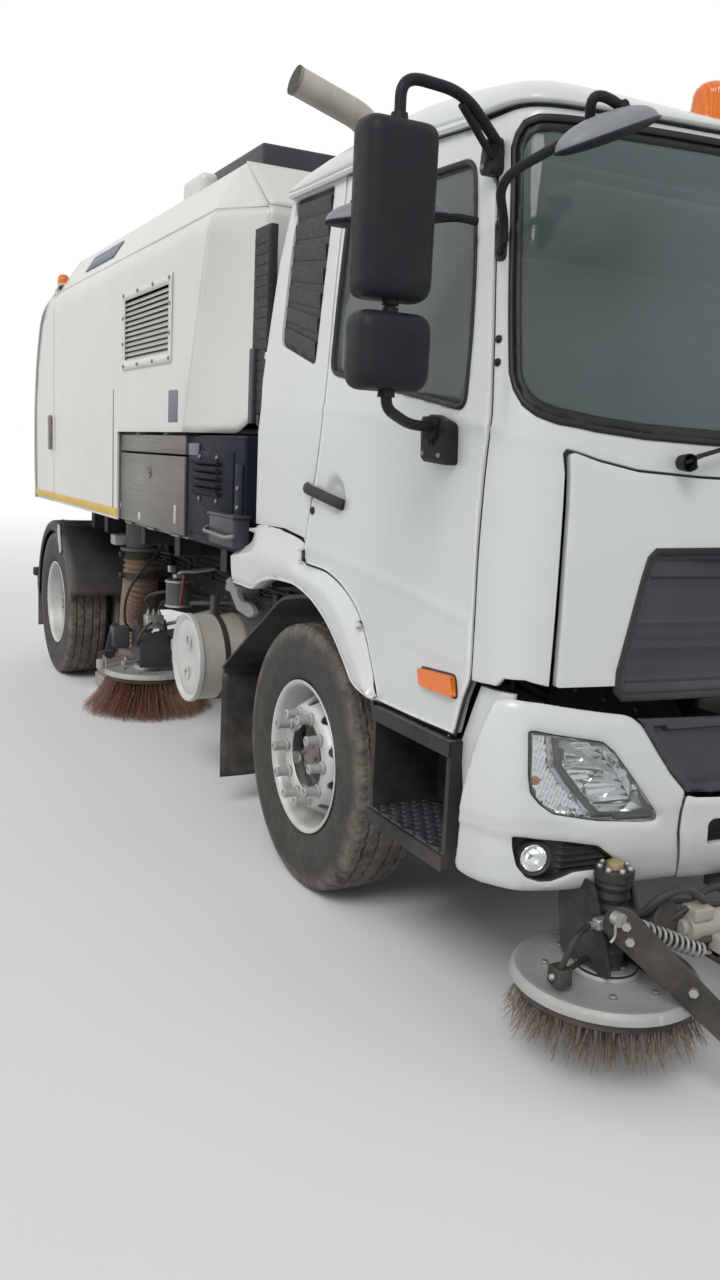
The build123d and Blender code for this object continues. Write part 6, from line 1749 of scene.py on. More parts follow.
def slab(outline, origin, u, v, depth, bevel=0.0015):
    # plate cut to a rounded outline in the plane of u and v, with real thickness and eased edges
    o, u, v = [np.array(k, float) for k in (origin, u, v)]
    u, v = u / np.linalg.norm(u), v / np.linalg.norm(v)
    n = np.cross(u, v)
    loop = np.asarray(outline, float)
    m = len(loop)
    inner = grown(loop, -bevel)
    rows = [(inner, 0), (loop, bevel), (loop, depth - bevel), (inner, depth)]
    pts = np.concatenate([o + l[:, :1] * u + l[:, 1:] * v + n * d for l, d in rows])
    area = 0.5 * (loop[:, 0] * np.roll(loop[:, 1], -1) - np.roll(loop[:, 0], -1) * loop[:, 1]).sum()
    faces = gridFaces(4, m, False, True, flip=area > 0).tolist()
    ends = [list(range(m))[::-1], list(range(3 * m, 4 * m))]
    return pts, faces + (ends if area > 0 else [end[::-1] for end in ends])


def barShape(length, wide0, wide1, steps=8):
    a = np.linspace(-90, 90, steps) * math.pi / 180
    end = [(length + wide1 * math.cos(k), wide1 * math.sin(k)) for k in a]
    start = [(-wide0 * math.cos(k), -wide0 * math.sin(k)) for k in a]
    return np.array(end + start)


def coilSpring(start, end, radius, wire, turns):
    # helix about the line between two hooks, the last turn at each end drawn in
    s, e = np.array(start, float), np.array(end, float)
    d = e - s
    length = np.linalg.norm(d)
    u = d / length
    n = np.cross(u, (0, 0, 1.0))
    n /= np.linalg.norm(n)
    b = np.cross(u, n)
    t = np.linspace(0, 1, turns * 14)
    r = radius * np.clip(np.minimum(t, 1 - t) * turns / 1.2, 0.15, 1)
    w = t * turns * 2 * math.pi
    path = s + np.outer(t, d) + (np.cos(w) * r)[:, None] * n + (np.sin(w) * r)[:, None] * b
    return alongPath(path, ring(wire, 6))


def hydroMotor(centre, z0, z1, radius):
    # ribbed body, a plain round flange at its foot, and a cover with screws
    c = (centre[0], centre[1], 0)
    zs = np.linspace(z0, z1, 19)
    prof = [(z0, 0.0), (z0, radius * 1.15), (z0 + 0.014, radius * 1.15), (z0 + 0.016, radius * 0.9)]
    for k, z in enumerate(zs[2:-2]):
        prof.append((z, radius * (0.96 if k % 2 else 0.86)))
    prof += [(z1 - 0.03, radius * 0.9), (z1 - 0.028, radius * 1.08), (z1 - 0.004, radius * 1.08),
             (z1, radius * 1.0), (z1, 0.0)]
    body = spun(prof, 36, "z", c)
    out = radius * 0.82
    at = [(centre[0] + out * math.cos(k), centre[1] + out * math.sin(k), z1) for k in angles(7)]
    return body, boltHeads(at, "z", 0.009, 0.01)


def frontBrush():
    cx, cy = gear["front"]
    top, block, bolts = brushDisc((cx, cy), 0.268, 0.274)
    meshFrom("frontBrushDisc", top, "discPale", "front_brush_body", 35, instead=["front_brush"])
    meshFrom("frontBrushBlock", block, "frameBlack", "front_brush_body", 35, "black_plastic")
    meshFrom("frontBrushBolts", bolts, "steelDusty", "front_brush_body", 35)
    part, tone = bristleRing((cx, cy), (0.17, 0.25), 0.28, 0.228, 0.13, 52, 13, 1.6, 4)
    meshFrom("frontBrushBristles", part, "bristleGrey", "front_brush_body", 0, tag=("strand", tone))

    # what the arm carries
    arm, bits, pale, hoses, dark = [], [], [], [], []
    body, caps = hydroMotor((cx, cy), 0.3, 0.585, 0.052)
    dark.append(body)
    bits.append(caps)
    brass = spun([(0.584, 0.0), (0.584, 0.026), (0.6, 0.024), (0.606, 0.014), (0.606, 0.0)], 24, "z",
                 (cx, cy, 0))
    meshFrom("motorCap", brass, "brassWorn", "front_arm", 35)
    # welded motor bracket: two gussets and a base ring
    dark.append(spun([(0.292, 0.058), (0.292, 0.088), (0.302, 0.09), (0.302, 0.058)], 36, "z", (cx, cy, 0),
                     close=True))
    gusset = roundedLoop([(-0.1, 0.0), (0.115, 0.0), (0.15, 0.16), (0.1, 0.245), (0.0, 0.245),
                          (-0.055, 0.12)], 0.025, 5)
    for x in (cx - 0.072, cx + 0.06):
        dark.append(slab(gusset, (x, cy, 0.302), *upright, 0.01))
    dark.append(softBox((cx - 0.07, cy + 0.058, 0.31), (cx + 0.068, cy + 0.07, 0.5), 0.004, 2))
    # long drag plate reaching down ahead of the disc, with holes shown as bolts
    p0, p1 = np.array((cx - 0.075, -1.61, 0.485)), np.array((-0.7, -1.875, 0.215))
    along = p1 - p0
    length = np.linalg.norm(along)
    u = along / length
    v = np.cross(np.cross(u, (0, 0, 1.0)), u)
    arm.append(slab(barShape(length, 0.05, 0.036, 10), p0, u, v, 0.012))
    side = np.cross(u, v)
    side /= np.linalg.norm(side)
    for t, w in ((0.02, 0.012), (0.1, -0.012), (0.97, 0.0), (0.55, 0.012)):
        at = p0 + along * t + v / np.linalg.norm(v) * w
        bits.append(alongPath([at - side * 0.016, at + side * 0.026], ring(0.013, 6)))
    # linkage back to the pivot
    px, py = gear["frontPivot"]
    arm += [alongPath([(px - 0.03, py + 0.012, 0.372), (cx + 0.055, cy - 0.02, 0.372)], ring(0.03, 18)),
            alongPath([(px - 0.02, py - 0.045, 0.395), (cx + 0.06, cy - 0.145, 0.42)], ring(0.012, 10)),
            softBox((-0.64, -1.9, 0.352), (-0.56, -1.56, 0.388), 0.006, 3),
            slab(barShape(0.17, 0.03, 0.045, 8), (-0.66, -1.885, 0.352), (0.35, 0.93, 0), (0, 0, 1), 0.012),
            spun([(0.312, 0.0215), (0.312, 0.048), (0.32, 0.052), (0.41, 0.052), (0.418, 0.048),
                  (0.418, 0.0215)], 32, "z", (px, py, 0), close=True)]
    # cover over the hose joint
    kidney = roundedLoop([(-0.06, 0.0), (0.055, -0.02), (0.065, 0.06), (0.02, 0.115), (-0.03, 0.1)], 0.035,
                         7)
    dark.append(slab(kidney, (cx + 0.055, -1.585, 0.43), (1, 0.12, 0), (0, 0, 1), 0.045, 0.008))
    # lift cylinder: barrel, gland, rod and eye, with a port block
    a, b = np.array((-0.735, -1.625, 0.448)), np.array((-0.4, -1.64, 0.45))
    for t0, t1, r in ((0.0, 0.05, 0.024), (0.05, 0.16, 0.04), (0.16, 0.7, 0.036), (0.7, 0.78, 0.041)):
        pale.append(alongPath([a + (b - a) * t0, a + (b - a) * t1], ring(r, 24)))
    bits.append(alongPath([a + (b - a) * 0.78, a + (b - a) * 1.0], ring(0.014, 16)))
    pale += [softBox((-0.715, -1.665, 0.472), (-0.645, -1.6, 0.51), 0.008, 3),
             softBox((-0.64, -1.7, 0.36), (-0.585, -1.64, 0.43), 0.012, 3)]
    # spring from the bracket to the cylinder's foot
    s0, s1 = (-0.935, -1.612, 0.497), (-0.655, -1.655, 0.375)
    spring = coilSpring(s0, s1, 0.021, 0.0042, gear["coils"])
    meshFrom("frontSpring", spring, "discPale", "front_arm", 35)
    bits += [rod(-0.012, 0.012, 0.02, 20, "y", (-0.945, -1.615, 0.505)),
             tube([(-0.95, -1.618, 0.52), (-0.962, -1.625, 0.49), (-0.955, -1.622, 0.46),
                   (-0.968, -1.62, 0.445)], 0.004, 0.02, 8),
             tube([(-0.655, -1.655, 0.375), (-0.63, -1.66, 0.372), (-0.615, -1.668, 0.385)], 0.006, 0.012,
                  8)]
    # skid sensor block standing on its stalk just above the disc
    dark += [softBox((-1.075, -1.555, 0.3), (-1.03, -1.5, 0.35), 0.005, 2),
             tube([(-1.03, -1.52, 0.325), (-0.98, -1.5, 0.325), (-0.925, -1.48, 0.33)], 0.008, 0.02, 10)]
    bits.append(boltHeads([(-1.075, -1.527, 0.325)], "x", 0.01, -0.01))
    # fittings and hoses
    bits += [softBox((-0.965, -1.565, 0.45), (-0.925, -1.535, 0.48), 0.006, 2),
             alongPath([(-0.985, -1.55, 0.465), (-0.905, -1.55, 0.465)], ring(0.01, 6))]
    runs = [([(-0.85, -1.528, 0.484), (-0.85, -1.602, 0.49), (-0.83, -1.634, 0.553), (-0.74, -1.645, 0.578),
              (-0.66, -1.635, 0.52)], 0.012), ([(-0.985, -1.55, 0.465), (-1.045, -1.57, 0.455),
                                                (-1.07, -1.57, 0.4), (-1.058, -1.535, 0.348)], 0.0085),
            ([(-0.905, -1.55, 0.465), (-0.83, -1.6, 0.495), (-0.77, -1.62, 0.47), (-0.715, -1.63, 0.505)],
             0.0085), ([(-0.66, -1.6, 0.515), (-0.56, -1.58, 0.53), (-0.45, -1.6, 0.5),
                        (-0.36, -1.62, 0.42)], 0.011), ([(-0.8, -1.585, 0.49), (-0.72, -1.6, 0.52),
                                                         (-0.62, -1.61, 0.49), (-0.5, -1.62, 0.475),
                                                         (-0.37, -1.66, 0.42)], 0.0085)]
    for path, r in runs:
        hoses.append(tube(path, r, 0.09, 12))
    meshFrom("frontArmBars", joined(arm), "frameBlack", "front_arm", 35, instead=["front_brush_arm"])
    meshFrom("frontArmDark", joined(dark), "frameBlack", "front_arm", 35, "black_plastic")
    meshFrom("frontArmCylinder", joined(pale), "cylinderBeige", "front_arm", 35)
    meshFrom("frontArmFittings", joined(bits), "steelBright", "front_arm", 35)
    meshFrom("frontArmHoses", joined(hoses), "hoseBlack", "front_arm", 60)
    post = [softBox((-0.4, -1.71, 0.427), (-0.26, -1.38, 0.488), 0.006, 2),
            softBox((-0.398, -1.4, 0.488), (-0.262, -1.381, 0.69), 0.005, 2),
            rod(0.312, 0.43, 0.019, 24, "z", (px, py, 0)), rod(0.3, 0.312, 0.03, 6, "z", (px, py, 0))]
    gus = np.array([(0.0, 0.0), (0.16, 0.0), (0.0, 0.16)])
    for x in (-0.392, -0.276):
        post.append(slab(gus, (x, -1.4, 0.488), (0, -1, 0), (0, 0, 1), 0.008))
    meshFrom("frontPost", joined(post), "frameBlack", smooth=35, instead=["front_post"])


def sideBrush():
    cx, cy = gear["side"]
    top, block, bolts = brushDisc((cx, cy), 0.275, 0.258)
    meshFrom("sideBrushDisc", top, "discPale", "side_brush_body", 35, instead=["side_brush"])
    meshFrom("sideBrushBlock", block, "frameBlack", "side_brush_body", 35, "black_plastic")
    meshFrom("sideBrushBolts", bolts, "steelDusty", "side_brush_body", 35)
    part, tone = bristleRing((cx, cy), (0.16, 0.262), 0.415, 0.215, 0.012, 60, 22, 1.25, 7)
    meshFrom("sideBrushBristles", part, "bristle", "side_brush_body", 0, tag=("strand", tone))
    arm, dark, bits, hoses, pale = [], [], [], [], []
    body, caps = hydroMotor((cx, cy), 0.292, 0.47, 0.06)
    dark.append(body)
    bits.append(caps)
    px, py = gear["sidePivot"]
    arm += [alongPath([(px - 0.02, py + 0.05, 0.64), (cx + 0.03, cy - 0.06, 0.478)], ring(0.032, 20)),
            spun([(0.562, 0.0215), (0.562, 0.042), (0.568, 0.045), (0.712, 0.045), (0.718, 0.042),
                  (0.718, 0.0215)], 32, "z", (px, py, 0), close=True)]
    # cover plates and the tilting yoke
    tall = roundedLoop([(-0.11, 0.0), (0.1, 0.02), (0.07, 0.22), (-0.03, 0.26), (-0.1, 0.15)], 0.03, 5)
    dark += [slab(tall, (cx - 0.095, cy - 0.03, 0.335), *upright, 0.01),
             slab(tall, (cx + 0.085, cy - 0.03, 0.335), *upright, 0.01),
             softBox((cx - 0.1, cy - 0.165, 0.3), (cx + 0.1, cy - 0.15, 0.52), 0.004, 2),
             softBox((cx - 0.225, cy + 0.0, 0.4), (cx - 0.12, cy + 0.1, 0.535), 0.01, 3),
             slab(barShape(0.17, 0.035, 0.03), (cx - 0.235, cy + 0.05, 0.36), (0.25, 0.2, 0.95),
                  (0.95, 0, -0.25), 0.01)]
    # valve block with ports and unions
    bits.append(softBox((cx - 0.055, cy - 0.155, 0.545), (cx + 0.055, cy - 0.065, 0.63), 0.008, 3))
    for x in (-0.035, 0.0, 0.035):
        bits += [spun([(0.628, 0.0), (0.628, 0.013), (0.645, 0.013), (0.648, 0.008), (0.665, 0.008),
                       (0.665, 0.0)], 12, "z", (cx + x, cy - 0.11, 0)),
                 rod(-0.03, 0.0, 0.011, 6, "y", (cx + x, cy - 0.158, 0.59))]
    bits.append(boltHeads([(cx - 0.16, cy - 0.01, 0.29), (cx - 0.11, cy + 0.11, 0.29)], "z", 0.018, 0.03,
                          6))
    # lift cylinder beside the arm and the guide roller
    a, b = np.array((px - 0.08, py + 0.14, 0.7)), np.array((cx + 0.07, cy - 0.1, 0.56))
    pale += [alongPath([a, a + (b - a) * 0.62], ring(0.028, 20)),
             alongPath([a + (b - a) * 0.6, a + (b - a) * 0.68], ring(0.033, 20))]
    bits.append(alongPath([a + (b - a) * 0.66, b], ring(0.012, 14)))
    roll = spun([(-0.03, 0.0), (-0.03, 0.02), (-0.026, 0.026), (0.026, 0.026), (0.03, 0.02), (0.03, 0.0)],
                24, "z", (cx - 0.3, cy + 0.03, 0.3))
    pale.append(roll)
    arm.append(tube([(cx - 0.3, cy + 0.03, 0.335), (cx - 0.3, cy + 0.03, 0.375),
                     (cx - 0.21, cy + 0.03, 0.385)], 0.009, 0.02, 10))
    runs = [([(cx - 0.02, cy - 0.11, 0.665), (cx - 0.06, cy - 0.1, 0.74), (cx + 0.02, cy - 0.25, 0.8),
              (px - 0.02, py + 0.25, 0.76), (px, py + 0.03, 0.735)], 0.011),
            ([(cx + 0.035, cy - 0.11, 0.665), (cx + 0.05, cy - 0.16, 0.73), (px - 0.06, py + 0.22, 0.72),
              (px + 0.01, py + 0.02, 0.725)], 0.01),
            ([(cx - 0.035, cy - 0.188, 0.59), (cx - 0.1, cy - 0.23, 0.56), (cx - 0.12, cy - 0.15, 0.45),
              (cx - 0.06, cy - 0.02, 0.43)], 0.009),
            ([(cx + 0.0, cy - 0.188, 0.59), (cx + 0.03, cy - 0.24, 0.55), (cx + 0.1, cy - 0.17, 0.44),
              (cx + 0.058, cy - 0.01, 0.42)], 0.009)]
    for path, r in runs:
        hoses.append(tube(path, r, 0.08, 10))
    meshFrom("sideArmBars", joined(arm), "frameBlack", "side_arm", 35, instead=["side_brush_arm"])
    meshFrom("sideArmDark", joined(dark), "greyPlastic", "side_arm", 35)
    meshFrom("sideArmCylinder", joined(pale), "cylinderBeige", "side_arm", 35)
    meshFrom("sideArmFittings", joined(bits), "steelBright", "side_arm", 35)
    meshFrom("sideArmHoses", joined(hoses), "hoseBlack", "side_arm", 60)
    post = [spun([(0.512, 0.0), (0.512, 0.03), (0.53, 0.03), (0.53, 0.0195), (0.768, 0.0195), (0.768, 0.0)],
                 24, "z", (px, py, 0)), softBox((px - 0.045, py - 0.04, 0.762), (-0.428, py + 0.04, 0.789),
                                                0.004, 2)]
    meshFrom("sidePost", joined(post), "frameBlack", smooth=35, instead=["brush_post"])


def suctionGear():
    # corrugated hose: the radius swells once for each wire turn
    path = easedPath([(-0.86, 3.22, 1.01), (-0.86, 3.22, 0.8), (-0.8, 3.54, 0.52), (-0.8, 3.54, 0.245)],
                     0.17, 0.006)
    d = runOf(path)
    t = np.linspace(0, d[-1], 170)
    path = np.stack([np.interp(t, d, path[:, k]) for k in range(3)], 1)
    r = 0.108 + 0.0085 * np.cos(t / d[-1] * 2 * math.pi * gear["convolutions"] * 1.7)
    sec = ring(1.0, 40)[None] * r[:, None, None]
    meshFrom("suctionHose", alongPath(path, sec), "ductBrown", smooth=50, instead=["suction_tube"])
    pipe = [rod(0.99, 1.245, 0.1, 40, "z", (-0.86, 3.22, 0)),
            spun([(1.0, 0.098), (1.0, 0.132), (1.014, 0.134), (1.02, 0.132), (1.02, 0.098)], 40, "z",
                 (-0.86, 3.22, 0), close=True)]
    meshFrom("suctionPipe", joined(pipe), "castGrey", slot="steel")
    bands = []
    x, y = -0.86, 3.22
    for z in (0.975, 0.84):
        bands += [hoop(z - 0.02, z + 0.02, 0.112, 0.1195, 40, "z", (x, y, 0)),
                  softBox((x - 0.145, y - 0.025, z - 0.016), (x - 0.112, y + 0.025, z + 0.016), 0.005, 2)]
    meshFrom("suctionClamps", joined(bands), "frameBlack", slot="black_plastic")
    thin = tube([(-0.72, 3.06, 1.22), (-0.745, 3.075, 1.05), (-0.99, 3.08, 0.78), (-1.01, 3.1, 0.55),
                 (-0.93, 3.18, 0.47)], 0.009, 0.2, 10)
    meshFrom("thinHose", thin, "hoseBlack", smooth=50)
    # nozzle: sloped housing, skids and rubber skirts
    body = [slab(roundedLoop([(3.44, 0.055), (3.685, 0.055), (3.685, 0.14), (3.62, 0.245), (3.47, 0.245),
                              (3.44, 0.16)], 0.02, 4), (-1.035, 0, 0), *upright, 0.54, 0.006)]
    body.append(spun([(0.235, 0.1), (0.235, 0.135), (0.25, 0.137), (0.252, 0.122), (0.29, 0.122),
                      (0.292, 0.1)], 40, "z", (-0.8, 3.54, 0)))
    skid = [softBox((x - 0.005, 3.44, 0.022), (x + 0.013, 3.68, 0.11), 0.006, 2) for x in (-1.045, -0.5)]
    skirt = [softBox((-1.03, 3.432, 0.021), (-0.49, 3.442, 0.09), 0.003, 1),
             softBox((-1.03, 3.68, 0.021), (-0.49, 3.69, 0.09), 0.003, 1)]
    meshFrom("nozzleBody", joined(body), "steelDusty", instead=["suction_nozzle"])
    meshFrom("nozzleSkids", joined(skid), "steelBright")
    meshFrom("nozzleSkirts", joined(skirt), "rubberSeal", slot="tyre")
    # silencer drum: dished end with a rolled seam, strap marks and a beige wrapper
    x0, x1, r = -1.15, -0.56, 0.222
    prof = [(x0 + 0.03, 0.0), (x0 + 0.026, 0.06), (x0 + 0.012, 0.13), (x0 + 0.01, 0.165),
            (x0 + 0.016, 0.19), (x0 + 0.004, 0.205), (x0, 0.214), (x0 + 0.003, 0.2205), (x0 + 0.012, 0.222),
            (x0 + 0.026, 0.2215), (x0 + 0.03, 0.216)]
    meshFrom("drumEnd", spun(prof, 80, "x", (0, 1.4, 0.645)), "drumGrey", instead=["silencer_drum"])
    marks = [spun([(x0 + 0.013, 0.025), (x0 + 0.018, 0.03), (x0 + 0.018, 0.036), (x0 + 0.013, 0.04)], 30,
                  "x", (0, 1.4 + dy, 0.645 + dz), close=True) for dy, dz in ((0.0, 0.085), (0.02, -0.09))]
    meshFrom("drumMarks", joined(marks), "drumGrey")
    shell = [(x0 + 0.028, 0.212), (x0 + 0.05, 0.213), (x0 + 0.24, 0.213), (x0 + 0.245, 0.2165),
             (x0 + 0.265, 0.2165), (x0 + 0.27, 0.213), (x1 - 0.03, 0.213), (x1 - 0.028, 0.22), (x1, 0.22),
             (x1, 0.0)]
    meshFrom("drumShell", spun(shell, 80, "x", (0, 1.4, 0.645)), "drumBeige")
    strap = [hoop(x - 0.014, x + 0.014, 0.213, 0.2165, 80, "x", (0, 1.4, 0.645)) for x in (-1.0, -0.66)]
    strap += [softBox((x - 0.016, 1.37, 0.855), (x + 0.016, 1.43, 0.955), 0.006, 2) for x in (-1.0, -0.66)]
    meshFrom("drumStraps", joined(strap), "frameBlack")
    # dark canister with pale rims and pipework on top
    cx, cy = -0.9, 2.3
    can = spun([(0.765, 0.0), (0.765, 0.07), (0.775, 0.077), (0.78, 0.072), (0.905, 0.072), (0.91, 0.077),
                (0.92, 0.07), (0.925, 0.0)], 40, "z", (cx, cy, 0))
    rims = [hoop(z - 0.006, z + 0.006, 0.072, 0.0785, 40, "z", (cx, cy, 0)) for z in (0.772, 0.914)]
    up = [tube([(cx, cy, 0.92), (cx, cy, 0.965), (cx + 0.08, cy - 0.03, 0.97), (cx + 0.2, cy - 0.05, 0.99)],
               0.012, 0.03, 10), softBox((cx - 0.03, cy - 0.03, 0.925), (cx + 0.03, cy + 0.03, 0.955),
                                         0.008, 2), softBox((cx - 0.05, cy + 0.02, 0.96),
                                                            (cx - 0.01, cy + 0.06, 1.0), 0.006, 2),
          softBox((cx + 0.05, cy - 0.05, 0.78), (-0.43, cy + 0.05, 0.8), 0.004, 2)]
    lever = tube([(cx - 0.01, cy - 0.135, 0.965), (cx - 0.02, cy - 0.14, 0.9),
                  (cx - 0.03, cy - 0.135, 0.8)], 0.01, 0.03, 10)
    meshFrom("canister", can, "canGreen")
    meshFrom("canisterRims", joined(rims + up), "steelBright")
    meshFrom("redLever", lever, "leverRed")
    # exhaust stack: clamped pipe with an angled elbow, dark inside
    outer = easedPath([(-0.62, 0.6, 1.74), (-0.62, 0.6, 3.04), (-1.0, 0.6, 3.15)], 0.13, 0.02)
    meshFrom("stackPipe", alongPath(outer, ring(0.0565, 36), caps=False), "stackBeige", smooth=50,
             instead=["exhaust_stack"])
    end = outer[-1] - outer[-2]
    end /= np.linalg.norm(end)
    mouth = outer[-1]
    meshFrom("stackMouth", alongPath([mouth + end * 0.001, mouth - end * 0.09, mouth - end * 0.1],
                                     np.array([ring(0.0565, 36), ring(0.052, 36), ring(0.001, 36)])),
             "frameBlack", smooth=50, slot="steel")
    lip = alongPath([mouth - end * 0.012, mouth + end * 0.002], ring(0.0585, 36), caps=False)
    clampsAt = [hoop(z - 0.012, z + 0.012, 0.0565, 0.0605, 36, "z", (-0.62, 0.6, 0))
                for z in (1.78, 2.3, 2.8)]
    meshFrom("stackClamps", joined([lip] + clampsAt), "steelDusty", smooth=50)


frontBrush()
sideBrush()
suctionGear()
print("brushes and gear made")


# mirrors, roof lamp and cabin

mirror = {"main": ((1.392, -1.258, 2.062), (1.598, -1.162, 2.488)),
          "wide": ((1.386, -1.258, 1.842), (1.599, -1.162, 2.038)),
          "arm": [(1.15, -1.125, 2.5), (1.3, -1.18, 2.588), (1.495, -1.205, 2.588), (1.495, -1.205, 2.48)],
          "link": [(1.495, -1.2, 2.07), (1.495, -1.2, 2.03)],
          "low": [(1.495, -1.205, 1.86), (1.495, -1.205, 1.8), (1.37, -1.105, 1.768),
                  (1.215, -1.01, 1.765)]}


def mirrorHead(low, high, radius):
    # rounded housing: its outline shrinks toward the front by a quarter-round
    # the glass sits in a rim at the back
    (x0, y0, z0), (x1, y1, z1) = low, high
    rows = []

    def loopAt(inset, y):
        r = max(radius - inset * 0.35, 0.012)
        c = boxLoop(x0 + inset, z0 + inset, x1 - inset, z1 - inset, r, 9)
        return np.stack([c[:, 0], np.full(len(c), y), c[:, 1]], 1)

    depth = y1 - y0
    for inset, y in ((0.013, y1 - 0.01), (0.011, y1 - 0.001), (0.006, y1), (0.001, y1 - 0.005),
                     (0.0, y1 - 0.02), (0.001, y1 - depth * 0.45), (0.003, y1 - depth * 0.62),
                     (0.009, y1 - depth * 0.8), (0.02, y1 - depth * 0.92), (0.034, y1 - depth * 0.98),
                     (0.052, y0)):
        rows.append(loopAt(inset, y))
    m = len(rows[0])
    pts = np.concatenate(rows)
    faces = gridFaces(len(rows), m, False, True).tolist() + [list(range((len(rows) - 1) * m, len(rows)
                                                                        * m))]
    glass = loopAt(0.0125, y1 - 0.008)
    mid = glass.mean(0)
    shells = [glass] + [mid + (glass - mid) * k + np.array([0, 0.004 * (1 - k * k), 0])
                        for k in (0.8, 0.5, 0.2)]
    face = (np.concatenate(shells), gridFaces(4, m, False, True, flip=True).tolist()
            + [list(range(3 * m, 4 * m))[::-1]])
    return (pts, faces), face


def leafShell(centre, half, turnBy):
    # pointed oval shell: a superellipse in plan, domed above and nearly flat below
    n, m = 48, 15
    a = angles(n)
    upper, lower = [], []
    for k in range(m):
        t = k / (m - 1)
        r = math.cos(t * math.pi / 2) ** 0.8 if k < m - 1 else 0.0
        x = half[0] * r * np.sign(np.cos(a)) * np.abs(np.cos(a)) ** 0.9
        y = half[1] * r * np.sin(a) * (1 - 0.25 * np.cos(a))
        upper.append(np.stack([x, y, np.full(n, half[2] * math.sin(t * math.pi / 2))], 1))
        lower.append(np.stack([x, y, np.full(n, -half[2] * 0.35 * math.sin(t * math.pi / 2))], 1))
    top = (np.concatenate(upper), gridFaces(m, n, False, True, flip=True))
    low = (np.concatenate(lower), gridFaces(m, n, False, True))
    rim = alongPath(np.vstack([upper[0], upper[0][:1]]), ring(0.0045, 8), caps=False)
    out = []
    for part in (top, low, rim):
        part = turned(part, turnBy[0], turnBy[1])
        out.append(shifted(part, centre))
    return out


def doorMirrors():
    for side, word in sides:
        body = "door_%s_body" % word
        shells, faces = [], []
        for key, radius in (("main", 0.04), ("wide", 0.046)):
            shell, face = mirrorHead(*mirror[key], radius)
            shells.append(shell)
            faces.append(face)
        arms = [tube(mirror["arm"], 0.0145, 0.07, 18), tube(mirror["link"], 0.015, 0.02, 18),
                tube(mirror["low"], 0.0145, 0.05, 18)]
        arms.append(tube([(1.175, -1.128, 2.47), (1.255, -1.155, 2.53), (1.305, -1.178, 2.56)], 0.01, 0.03,
                         14))
        # rubber boots where the tube enters the heads
        for z0, z1, r in ((2.482, 2.5, 0.023), (2.052, 2.066, 0.022), (2.034, 2.046, 0.022),
                          (1.828, 1.846, 0.023)):
            arms.append(spun([(z0, 0.0), (z0, r), (z1, r * 0.9), (z1, 0.0)], 22, "z", (1.495, -1.203, 0)))
        # cast upper foot and folding lower bracket
        foot = roundedLoop([(-1.135, 2.425), (-1.065, 2.432), (-1.075, 2.515), (-1.12, 2.53)], 0.02, 5)
        arms += [slab(foot, (1.128, 0, 0), *upright, 0.045, 0.006),
                 tube([(1.15, -1.098, 2.45), (1.165, -1.115, 2.485), (1.168, -1.128, 2.505)], 0.021, 0.02,
                      16)]
        low = roundedLoop([(-1.092, 1.663), (-0.952, 1.672), (-0.945, 1.775), (-0.985, 1.806),
                           (-1.085, 1.778)], 0.016, 5)
        arms += [slab(low, (1.186, 0, 0), *upright, 0.056, 0.01),
                 spun([(1.705, 0.0), (1.705, 0.026), (1.712, 0.029), (1.76, 0.029), (1.767, 0.025),
                       (1.767, 0.0)], 24, "z", (1.246, -1.02, 0.028)),
                 rod(1.69, 1.705, 0.01, 8, "z", (1.246, -1.02, 0.028))]
        meshFrom("mirrorShells_" + word, facing(joined(shells), side), "mirrorPlastic", body, 45,
                 instead=["mirrors_" + word])
        meshFrom("mirrorGlass_" + word, facing(joined(faces), side), "mirrorFace", body, 45)
        meshFrom("mirrorArms_" + word, facing(joined(arms), side), "mirrorPlastic", body, 45)
        bolts = boltHeads([(1.172, -1.09, 2.45), (1.172, -1.1, 2.508)], "x", 0.009, 0.007)
        low = boltHeads([(1.241, -1.06, 1.69), (1.241, -0.975, 1.695)], "x", 0.008, 0.006)
        meshFrom("mirrorBolts_" + word, facing(joined([bolts, low]), side), "steelDusty", body, 45)
        top, under, rim = leafShell((1.435, -1.06, 2.285), (0.18, 0.085, 0.052), ((0, 1, 0), 9))
        meshFrom("kerbMirror_" + word, facing(top, side), "mirrorGrey", body, 45)
        hold = tube([(1.18, -1.09, 2.31), (1.235, -1.075, 2.318), (1.3, -1.062, 2.305)], 0.011, 0.03, 14)
        meshFrom("kerbMirrorBack_" + word, facing(joined([under, rim, hold]), side), "mirrorPlastic", body,
                 45)
        # amber side lamp in its gasket on the door skin
        lens = roundedLoop([(1.372, 1.018), (1.56, 1.016), (1.572, 1.066), (1.385, 1.078)], 0.014, 5)
        plate("markerGasket_" + word, facing(panel(grown(lens, 0.005), [], 0.03, cabLay(-0.002)), side),
              "rubberSeal", body, 0.004, 0.001)
        plate("markerLamp_" + word, facing(panel(lens, [], 0.03, cabLay(-0.018)), side), "amberLens", body,
              0.018, 0.005)


